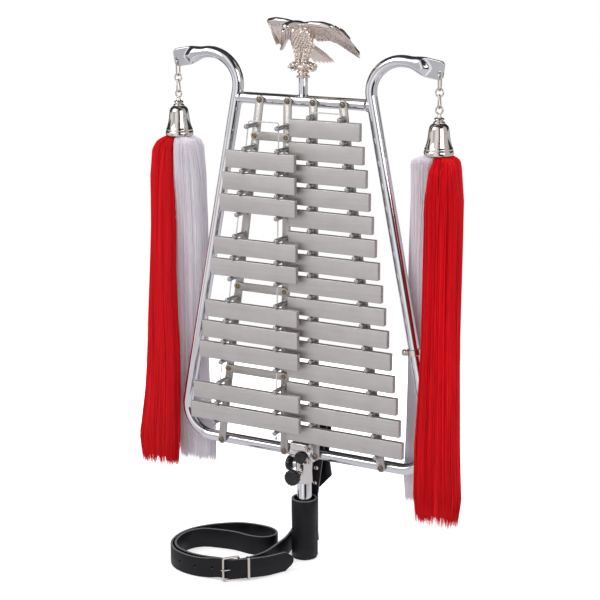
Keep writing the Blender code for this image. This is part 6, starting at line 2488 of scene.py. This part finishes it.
@dataclass
class BellCap:
    """The spun bell cap that holds a plume's hair.

    Attributes:
        side: Which plume.
        x: Distance of its axis from the middle plane.
        top: Height of its crown.
        rim: Height of its rim.
        wall: Its wall.
        eye: Radius of the eye's middle line.
        eye_wire: Radius of its wire.
        eye_top: Height of its middle line's top.
        profile: Radius and drop of its outer side, from the beaded crown to the rim.
    """

    side: Side
    x: float = 0.2085
    top: float = 0.6745
    rim: float = 0.624
    wall: float = 0.0012
    eye: float = 0.0050
    eye_wire: float = 0.0012
    eye_top: float = 0.6891
    profile: tuple[Pair, ...] = (
        (0.0030, 0.0000), (0.0054, -0.0006), (0.0066, -0.0014), (0.0070, -0.0024), (0.0064, -0.0034),
        (0.0056, -0.0042), (0.0056, -0.0050), (0.0074, -0.0058), (0.0080, -0.0068), (0.0078, -0.0078),
        (0.0092, -0.0088), (0.0116, -0.0106), (0.0130, -0.0126), (0.0139, -0.0155), (0.0144, -0.0190),
        (0.0148, -0.0230), (0.0153, -0.0270), (0.0160, -0.0310), (0.0170, -0.0350), (0.0181, -0.0385),
        (0.0187, -0.0405), (0.0193, -0.0412), (0.0197, -0.0422), (0.0195, -0.0434), (0.0193, -0.0440),
        (0.0200, -0.0450), (0.0204, -0.0466), (0.0205, -0.0482), (0.0203, -0.0496), (0.0200, -0.0505))

    def build(self) -> None:
        """Build the bell with its eye."""
        word = self.side.word
        x = self.side.value * self.x
        place = Matrix.Translation((x, 0.0, 0.0))
        outer = [(radius, self.top + drop) for radius, drop in self.profile]
        inner = [(radius - self.wall, self.top + drop - 0.0004) for radius, drop in self.profile[10:-1]]
        profile = [(0.0, self.top)] + outer + [(self.profile[-1][0] - self.wall, self.rim)]
        profile += list(reversed(inner)) + [(0.0, self.top - 0.0092)]
        bm = bmesh.new()
        add_turned(bm, profile, place, steps=48)
        eye_z = self.eye_top - self.eye
        ring = ring_of(Vector((x, 0.0, eye_z)), Vector((self.eye, 0.0, 0.0)), UP * self.eye, 32)
        add_sweep(bm, circle(self.eye_wire, 12), route_frames(ring, closed=True), closed=True)
        top = self.top
        neck = [(0.0, top - 0.001), (0.0034, top - 0.001), (0.0030, top + 0.0012), (0.0022, top + 0.0030),
                (0.0020, eye_z - 0.0046), (0.0, eye_z - 0.0042)]
        add_turned(bm, neck, place, steps=20)
        finish_piece("spun_bell_" + word, bm, NICKEL, "bell_" + word, ("bell_cap_" + word,), smooth=50.0)


@dataclass
class HairHalf:
    """One colour of a plume's hair: a full core, painted darker as shade, under many fine locks.

    Attributes:
        side: Which plume.
        name: Name of the piece.
        node: The frame's node it stands for.
        finish: Its colour.
        levels: Height, centre x, centre y, half width and half depth, from the top down.
        seed: Start of its random numbers.
        strands: Number of strands.
        steps: Points along a strand.
        radius: Radius of a strand.
        square: How round the hair is at the rim and lower down; a lower value is squarer.
        square_run: Length over which it turns from one to the other.
        rim_rise: How far above the bell's rim its dense points start.
        mouth_run: Length of that dense run, from below which the points are even.
        mouth_points: Number of points in it.
        core_share: Size of the core in the hair.
        ripple: Depth of the core's locks.
        locks: Number of locks round the hair.
    """

    side: Side
    name: str
    node: str
    finish: HairFinish
    levels: tuple[tuple[float, float, float, float, float], ...]
    seed: int
    strands: int = 1250
    steps: int = 22
    radius: float = 0.00062
    square: Pair = (0.45, 0.85)
    square_run: float = 0.11
    rim_rise: float = 0.0008
    mouth_run: float = 0.0245
    mouth_points: int = 7
    core_share: float = 0.90
    ripple: float = 0.04
    locks: float = 9.0

    def section(self, z: float) -> tuple[float, ...]:
        """Centre and half sizes of the hair at a height.

        Args:
            z: The height.

        Returns:
            Centre x, centre y, half width and half depth.
        """
        rising = self.levels[::-1]
        heights = [level[0] for level in rising]
        return tuple(float(np.interp(z, heights, [level[k] for level in rising])) for k in range(1, 5))

    def bend(self, angle: float, z: float) -> Pair:
        """A point of the hair's outline at a height, as shares of its half sizes.

        Args:
            angle: Where the point lies round the hair.
            z: The height.

        Returns:
            The point, as shares of the hair's half width and half depth.
        """
        t = min(1.0, max(0.0, (self.levels[2][0] - z) / self.square_run))
        power = self.square[0] + (self.square[1] - self.square[0]) * t
        if z > self.levels[2][0]:
            power = 1.0
        u = math.cos(angle)
        v = math.sin(angle)
        return math.copysign(abs(u) ** power, u), math.copysign(abs(v) ** power, v)

    def heights(self, low: float) -> np.ndarray:
        """Heights of a strand's points, closer together where it leaves the bell.

        Args:
            low: Height of the strand's tip.

        Returns:
            The heights, from the top.
        """
        top = self.levels[0][0]
        rim = self.levels[2][0] + self.rim_rise
        spread = rim - self.mouth_run
        count = self.mouth_points
        mouth = np.linspace(rim, spread, count + 1)[:-1]
        return np.concatenate([[top], mouth, np.linspace(spread, low, self.steps - count - 1)])

    def core(self) -> BMesh:
        """Make the closed core that fills the hair.

        Returns:
            The core's mesh.
        """
        bm = bmesh.new()
        low = self.levels[-1][0] + 0.012
        frames = []
        for z in self.heights(low):
            x, y, half_x, half_y = self.section(z)
            share = self.core_share
            size = Matrix.Diagonal((half_x * share, half_y * share, 1.0, 1.0))
            frames.append(Matrix.Translation((x, y, z)) @ size)
        outline = []
        for u, v in circle(1.0, 54):
            lock = 1.0 + self.ripple * math.cos(self.locks * math.atan2(v, u))
            outline.append((u * lock, v * lock))
        add_sweep(bm, outline, frames)
        for vert in bm.verts:
            x, y, half_x, half_y = self.section(vert.co.z)
            u = (vert.co.x - x) / half_x
            v = (vert.co.y - y) / half_y
            across, along = self.bend(math.atan2(v, u), vert.co.z)
            size = math.hypot(u, v)
            vert.co.x = x + half_x * size * across
            vert.co.y = y + half_y * size * along
        return bm

    def strand(self, rng: random.Random) -> tuple[np.ndarray, np.ndarray]:
        """Points and radii of one strand.

        Args:
            rng: The plume's random numbers.

        Returns:
            The points, and the radius at each as a share.
        """
        angle = rng.uniform(0.0, FULL_TURN)
        depth = rng.random() ** 0.22
        lock = 0.5 + 0.5 * math.sin(angle * self.locks + self.seed)
        low = self.levels[-1][0] + rng.gauss(0.001, 0.0045) + (1.0 - depth) * 0.004
        low = max(low, self.levels[-1][0] - 0.006)
        zs = self.heights(low)
        drift_u = rng.gauss(0.0, 0.05)
        phase = rng.uniform(0.0, FULL_TURN)
        reach = depth * (0.99 - 0.045 * lock)
        points = np.zeros((self.steps, 3))
        for i, z in enumerate(zs):
            x, y, half_x, half_y = self.section(z)
            t = i / (self.steps - 1)
            sway = angle + drift_u * t + 0.02 * math.sin(phase + 5.0 * t)
            wander = 1.0 + 0.025 * math.sin(phase * 2.0 + 7.0 * t)
            across, along = self.bend(sway, z)
            points[i] = (x + half_x * reach * wander * across, y + half_y * reach * wander * along, z)
        radii = np.full(self.steps, 1.0)
        radii[-3:] = (0.85, 0.6, 0.15)
        return points, radii * rng.uniform(0.75, 1.25)

    def build(self) -> None:
        """Build the core and the strands as one piece."""
        rng = random.Random(self.seed)
        curve = bpy.data.curves.new(self.name, 'CURVE')
        curve.dimensions = '3D'
        curve.bevel_depth = self.radius
        curve.bevel_resolution = 0
        curve.use_fill_caps = True
        tints = []
        for _ in range(self.strands):
            points, radii = self.strand(rng)
            spline = curve.splines.new('POLY')
            spline.points.add(self.steps - 1)
            rows = np.hstack([points, np.ones((self.steps, 1))])
            spline.points.foreach_set("co", rows.ravel())
            spline.points.foreach_set("radius", radii)
            tints.append(min(1.0, max(0.0, rng.gauss(0.5, 0.22))))
        holder = bpy.data.objects.new(self.name + "_route", curve)
        bpy.context.scene.collection.objects.link(holder)
        bpy.context.view_layer.update()
        mesh = bpy.data.meshes.new_from_object(holder.evaluated_get(bpy.context.evaluated_depsgraph_get()))
        bpy.data.objects.remove(holder, do_unlink=True)
        bpy.data.curves.remove(curve)
        each = len(mesh.vertices) // self.strands
        bm = bmesh.new()
        bm.from_mesh(mesh)
        bpy.data.meshes.remove(mesh)
        layer = bm.verts.layers.float.new("tint")
        for i, vert in enumerate(bm.verts):
            vert[layer] = tints[min(self.strands - 1, i // each)]
        bmesh.ops.remove_doubles(bm, verts=bm.verts, dist=0.000001)
        core = self.core()
        # Painted shade: the core gets a low tint, so the hair's inside shows darker than its strands.
        core_shade_layer = core.verts.layers.float.new("tint")
        for vert in core.verts:
            vert[core_shade_layer] = 0.12 + 0.25 * noise(vert.co * 90.0)
        add_mesh(bm, core)
        finish_piece(self.name, bm, self.finish, "bell_" + self.side.word, (self.node,), smooth=70.0)


LEFT_RED = (
    (0.660, -0.2140, 0.000, 0.0045, 0.0085), (0.640, -0.2138, 0.000, 0.0045, 0.0095),
    (0.6235, -0.2155, 0.000, 0.0070, 0.0135), (0.619, -0.2210, 0.000, 0.0120, 0.0190),
    (0.614, -0.2250, -0.001, 0.0145, 0.0215), (0.605, -0.2290, -0.002, 0.0165, 0.0220),
    (0.590, -0.2325, -0.004, 0.0180, 0.0200),
    (0.555, -0.2345, -0.007, 0.0175, 0.0185), (0.477, -0.2355, -0.008, 0.0182, 0.0180),
    (0.400, -0.2390, -0.008, 0.0200, 0.0180), (0.340, -0.2405, -0.008, 0.0235, 0.0180),
    (0.291, -0.2405, -0.008, 0.0262, 0.0180), (0.210, -0.2450, -0.008, 0.0300, 0.0180),
    (0.155, -0.2510, -0.008, 0.0355, 0.0180), (0.112, -0.2505, -0.008, 0.0325, 0.0150))
LEFT_WHITE = (
    (0.660, -0.2030, 0.000, 0.0045, 0.0085), (0.640, -0.2032, 0.000, 0.0045, 0.0095),
    (0.6235, -0.2015, 0.000, 0.0070, 0.0135), (0.619, -0.1970, 0.001, 0.0125, 0.0195),
    (0.614, -0.1958, 0.002, 0.0148, 0.0225), (0.605, -0.1960, 0.005, 0.0168, 0.0245),
    (0.590, -0.1980, 0.008, 0.0185, 0.0240),
    (0.555, -0.2010, 0.014, 0.0235, 0.0220), (0.477, -0.2055, 0.022, 0.0270, 0.0190),
    (0.372, -0.2125, 0.0295, 0.0270, 0.0175), (0.291, -0.2140, 0.0305, 0.0270, 0.0175),
    (0.210, -0.2130, 0.0305, 0.0290, 0.0175), (0.155, -0.2070, 0.0305, 0.0330, 0.0175),
    (0.114, -0.2060, 0.0305, 0.0320, 0.0150))
RIGHT_RED = (
    (0.660, 0.2140, 0.000, 0.0045, 0.0085), (0.640, 0.2138, 0.000, 0.0045, 0.0095),
    (0.6235, 0.2155, 0.000, 0.0070, 0.0135), (0.619, 0.2200, -0.001, 0.0125, 0.0190),
    (0.614, 0.2212, -0.002, 0.0150, 0.0212), (0.605, 0.2218, -0.006, 0.0185, 0.0228),
    (0.590, 0.2225, -0.010, 0.0220, 0.0228),
    (0.555, 0.2235, -0.012, 0.0265, 0.0235), (0.469, 0.2235, -0.013, 0.0270, 0.0230),
    (0.371, 0.2265, -0.022, 0.0270, 0.0210), (0.297, 0.2285, -0.0285, 0.0300, 0.0190),
    (0.220, 0.2280, -0.0305, 0.0335, 0.0185), (0.143, 0.2300, -0.0305, 0.0360, 0.0185),
    (0.110, 0.2290, -0.0305, 0.0320, 0.0160))
RIGHT_WHITE = (
    (0.660, 0.2030, 0.000, 0.0045, 0.0085), (0.640, 0.2032, 0.000, 0.0045, 0.0095),
    (0.6235, 0.2015, 0.000, 0.0070, 0.0135), (0.619, 0.1935, 0.001, 0.0150, 0.0200),
    (0.614, 0.1900, 0.003, 0.0175, 0.0208), (0.605, 0.1870, 0.008, 0.0182, 0.0195),
    (0.590, 0.1850, 0.0140, 0.0195, 0.0170),
    (0.555, 0.1810, 0.020, 0.0200, 0.0150), (0.469, 0.1755, 0.0250, 0.0195, 0.0140),
    (0.371, 0.1770, 0.0255, 0.0195, 0.0140), (0.297, 0.1765, 0.0255, 0.0190, 0.0140),
    (0.220, 0.1735, 0.0255, 0.0175, 0.0140), (0.143, 0.1665, 0.0255, 0.0140, 0.0130),
    (0.116, 0.1660, 0.0255, 0.0110, 0.0100))


@dataclass(frozen=True)
class Lamp:
    """A soft square lamp aimed at the middle of the object.

    Attributes:
        name: Its name.
        where: Where it hangs.
        size: Length of its side.
        power: Its power in watts.
        mirrored: Whether bright metal shows it.
    """

    name: str
    where: Triple
    size: float
    power: float
    mirrored: bool

    def hang(self, target: Vector) -> None:
        """Hang the lamp and aim it at a target.

        Args:
            target: The point that it is aimed at.
        """
        data = bpy.data.lights.new(self.name + "_lamp", 'AREA')
        data.shape = 'SQUARE'
        data.size = self.size
        data.energy = self.power
        lamp = bpy.data.objects.new(self.name + "_lamp", data)
        lamp.visible_glossy = self.mirrored
        bpy.context.scene.collection.objects.link(lamp)
        aim = target - Vector(self.where)
        lamp.matrix_world = Matrix.Translation(self.where) @ aim.to_track_quat('-Z', 'Y').to_matrix().to_4x4()


@dataclass
class Studio:
    """The floor, the soft studio light and the camera at the photograph's angle.

    In reflections the world is a studio with upright white screens and dark flags round the object. A
    direction is told by how far it goes across the view and how far up, each from -1 to 1. A patch has its
    middle across and its inner and outer half width, between which it fades.

    Attributes:
        camera_at: Where the camera stands.
        camera_way: The way it looks.
        roll: Its roll, in degrees.
        lens: Its focal length on the sensor, in millimetres.
        sensor: Width of its sensor, in millimetres.
        facing: Heading of the camera from the object, in degrees.
        wall: Grey level of the walls.
        ceiling: Grey level of the ceiling.
        bands: Lower screens and flags: start and end across, and level.
        blur: Softness of their edges.
        upper: Heights over which the lower studio gives way to the upper one.
        screen: Patch of the upper white screen.
        screen_top: Heights over which it ends.
        flag: Patch of the upper dark flag.
        flag_level: Its level.
        zenith: Heights over which the ceiling begins.
        dusk: How far beyond the object the dark end of the studio begins and is full.
        dusk_rise: Heights over which it begins.
        dusk_level: Its level.
        deep: Patch in which the dark end reaches down past the horizon.
        night: Linear colour of the darkest reflections.
        day: Linear colour of the lightest ones.
        fill: Strength of the world's light on matt surfaces.
        table: Radius of the floor.
        lift: Strengths of the floor's glow for the camera, near and far from the object.
        lift_run: Distances over which it rises.
        mirrored_floor: Linear colour of the floor in reflections.
        lamps: The lamps.
        target: What they are aimed at.
    """

    camera_at: Triple = (1.0838, -1.9644, 0.9581)
    camera_way: Triple = (-0.4708, 0.8483, -0.2426)
    roll: float = -0.209
    lens: float = 95.9
    sensor: float = 36.0
    facing: float = -61.0
    wall: float = 0.58
    ceiling: float = 0.05
    bands: tuple[Triple, ...] = ((-1.050, -0.940, 0.90), (-0.700, -0.230, 1.0), (-0.030, 0.500, 0.02))
    blur: float = 0.018
    upper: Pair = (0.20, 0.30)
    screen: Triple = (-0.44, 0.14, 0.20)
    screen_top: Pair = (0.78, 0.86)
    flag: Triple = (0.24, 0.28, 0.36)
    flag_level: float = 0.02
    zenith: Pair = (0.82, 0.90)
    dusk: Pair = (0.02, 0.20)
    dusk_rise: Pair = (0.00, 0.10)
    dusk_level: float = 0.03
    deep: Triple = (-0.60, 0.16, 0.22)
    night: Triple = (0.012, 0.011, 0.013)
    day: Triple = (0.985, 0.975, 1.0)
    fill: float = 0.50
    table: float = 1.1
    lift: Pair = (0.40, 1.0)
    lift_run: Pair = (0.15, 0.60)
    mirrored_floor: Triple = (0.70, 0.69, 0.73)
    lamps: tuple[Lamp, ...] = (
        Lamp("key", (-1.6, -2.2, 2.4), 1.8, 34.0, True), Lamp("fill", (2.2, -1.4, 1.5), 1.6, 16.0, True),
        Lamp("top", (0.2, 0.3, 3.0), 2.2, 30.0, False), Lamp("back", (-0.8, 2.4, 1.9), 1.6, 12.0, False))
    target: Triple = (0.0, 0.0, 0.4)

    def build(self) -> None:
        """Set the scene's stage."""
        self.camera()
        self.world()
        self.floor()
        for lamp in self.lamps:
            lamp.hang(Vector(self.target))
        bpy.context.scene.view_settings.view_transform = 'Standard'

    def camera(self) -> None:
        """Set up the camera."""
        data = bpy.data.cameras.new("studio_camera")
        data.lens = self.lens
        data.sensor_width = self.sensor
        data.clip_end = 60.0
        camera = bpy.data.objects.new("studio_camera", data)
        bpy.context.scene.collection.objects.link(camera)
        turn = Vector(self.camera_way).to_track_quat('-Z', 'Y').to_matrix().to_4x4()
        roll = Matrix.Rotation(math.radians(self.roll), 4, 'Z')
        camera.matrix_world = Matrix.Translation(self.camera_at) @ turn @ roll
        bpy.context.scene.camera = camera

    def world(self) -> None:
        """Light matt surfaces evenly, show white to the camera and the studio in reflections."""
        world = bpy.data.worlds.new("studio_world")
        bpy.context.scene.world = world
        world.use_nodes = True
        sheet = Sheet(world.node_tree)
        output = sheet.node("OutputWorld")
        mirror = sheet.node("Background")
        sheet.wire(sheet.blend(self.studio_level(sheet), self.night, self.day), mirror.inputs["Color"])
        seen = sheet.node("Background")
        seen.inputs["Color"].default_value = WHITE
        lit = sheet.node("Background")
        lit.inputs["Color"].default_value = WHITE
        lit.inputs["Strength"].default_value = self.fill
        ray = sheet.node("LightPath").outputs
        glossy = sheet.math('MAXIMUM', ray["Is Glossy Ray"], ray["Is Transmission Ray"])
        light = self.either(sheet, glossy, lit, mirror)
        shown = self.either(sheet, ray["Is Camera Ray"], light, seen)
        sheet.wire(shown.outputs[0], output.inputs["Surface"])

    @staticmethod
    def either(sheet: Sheet, amount: Socket, first: Node, second: Node) -> Node:
        """Mix two shaders by an amount.

        Args:
            sheet: The node tree to draw in.
            amount: How much of the second shader shows.
            first: The first shader.
            second: The second shader.

        Returns:
            The mixed shader's node.
        """
        made = sheet.node("MixShader")
        for source, target in zip((amount, first.outputs[0], second.outputs[0]), made.inputs):
            sheet.wire(source, target)
        return made

    def studio_level(self, sheet: Sheet) -> Socket:
        """Draw the grey level that a reflection shows in each direction.

        Args:
            sheet: The node tree to draw in.

        Returns:
            The level's socket.
        """
        way = sheet.node("SeparateXYZ")
        sheet.wire(sheet.node("TexCoord").outputs["Generated"], way.inputs[0])
        x, y, height = way.outputs
        turn = math.radians(self.facing)
        across = sheet.weigh((x, -math.sin(turn)), (y, math.cos(turn)))
        beyond = sheet.weigh((x, -math.cos(turn)), (y, -math.sin(turn)))

        def off(middle: float) -> Socket:
            """How far a direction lies from a middle, across the view."""
            return sheet.math('ABSOLUTE', sheet.math('SUBTRACT', across, middle))

        def patch(place: Triple) -> Socket:
            """How far a direction lies in a patch, from 0 to 1."""
            return sheet.remap(off(place[0]), place[1], place[2], 1.0, 0.0)

        level = self.wall
        for start, end, strength in self.bands:
            half = (end - start) / 2.0
            level = sheet.remap(off((start + end) / 2.0), half - self.blur, half + self.blur, strength, level)
        upper = sheet.remap(height, *self.upper)
        level = sheet.mix(upper, level, self.wall)
        screen = sheet.math('MULTIPLY', upper, sheet.remap(height, *self.screen_top, 1.0, 0.0))
        level = sheet.mix(sheet.math('MULTIPLY', screen, patch(self.screen)), level, 1.0)
        level = sheet.mix(sheet.math('MULTIPLY', upper, patch(self.flag)), level, self.flag_level)
        level = sheet.mix(sheet.remap(height, *self.zenith), level, self.ceiling)
        dusk = sheet.remap(beyond, *self.dusk)
        low = sheet.math('MAXIMUM', sheet.remap(height, *self.dusk_rise), patch(self.deep))
        return sheet.mix(sheet.math('MULTIPLY', dusk, low), level, self.dusk_level)

    def floor(self) -> None:
        """Lay the pale floor, which fades to white away from the object."""
        bm = bmesh.new()
        bmesh.ops.create_circle(bm, cap_ends=True, radius=self.table, segments=96)
        bmesh.ops.translate(bm, vec=(0.0, 0.0, -0.0002), verts=bm.verts)
        mesh = bpy.data.meshes.new("studio_floor")
        bm.to_mesh(mesh)
        bm.free()
        floor = bpy.data.objects.new("studio_floor", mesh)
        bpy.context.scene.collection.objects.link(floor)
        made = bpy.data.materials.new("pale floor")
        made.use_nodes = True
        sheet = Sheet(made.node_tree)
        output = sheet.node("OutputMaterial")
        paper = sheet.node("BsdfPrincipled")
        paper.inputs["Roughness"].default_value = 0.9
        paper.inputs["Specular IOR Level"].default_value = 0.1
        place = sheet.node("TexCoord").outputs["Object"]
        fibre = sheet.group(mottle_group(), Vector=place, Scale=24.0)
        colour = sheet.blend(fibre.outputs["Value"], (0.93, 0.93, 0.93), (0.96, 0.96, 0.96))
        sheet.wire(colour, paper.inputs["Base Color"])
        glow = sheet.node("Emission")
        distance = sheet.node("VectorMath", operation='LENGTH')
        sheet.wire(place, distance.inputs[0])
        far = sheet.remap(distance.outputs["Value"], *self.lift_run, *self.lift)
        ray = sheet.node("LightPath").outputs
        sheet.wire(sheet.math('MULTIPLY', far, ray["Is Camera Ray"]), glow.inputs["Strength"])
        lifted = sheet.node("AddShader")
        for source, target in zip((paper, glow), lifted.inputs):
            sheet.wire(source.outputs[0], target)
        mirrored = sheet.node("Emission")
        mirrored.inputs["Color"].default_value = (*self.mirrored_floor, 1.0)
        shown = self.either(sheet, ray["Is Glossy Ray"], lifted, mirrored)
        sheet.wire(shown.outputs[0], output.inputs["Surface"])
        mesh.materials.append(made)


def main() -> None:
    """Build and dress the whole bell lyra."""
    logging.basicConfig(level=logging.INFO, format="%(name)s %(message)s")
    Studio().build()
    HoopFrame().build()
    RailSet().build()
    NoteBars().build()
    SuspensionCords().build()
    MalletClip().build()
    EagleFinial().build()
    StemClamp().build()
    Knob("clamp_knob", 0.0093, 0.006, 0.0035, (0.004, -0.0225, 0.1625), (0.0, -1.0, 0.0)).build()
    Knob("height_knob", 0.0120, 0.0095, 0.0204, (0.0, -0.0415, 0.1365), (0.0, -1.0, 0.0)).build()
    Knob("tilt_knob", 0.0118, 0.0068, 0.0080, (-0.0274, 0.0, 0.1445), (-1.0, 0.0, 0.0)).build()
    LowerTube().build()
    LeatherCup().build()
    BackStrap().build()
    CarryingStrap().build()
    for side, red, white in ((Side.LEFT, LEFT_RED, LEFT_WHITE), (Side.RIGHT, RIGHT_RED, RIGHT_WHITE)):
        PlumeChain(side).build()
        BellCap(side).build()
        HairHalf(side, "red_plume_" + side.word, "red_hair_" + side.word, RED_HAIR, red, 11).build()
        HairHalf(side, "white_plume_" + side.word, "white_hair_" + side.word, WHITE_HAIR, white, 23).build()


if __name__ == "__main__":
    main()
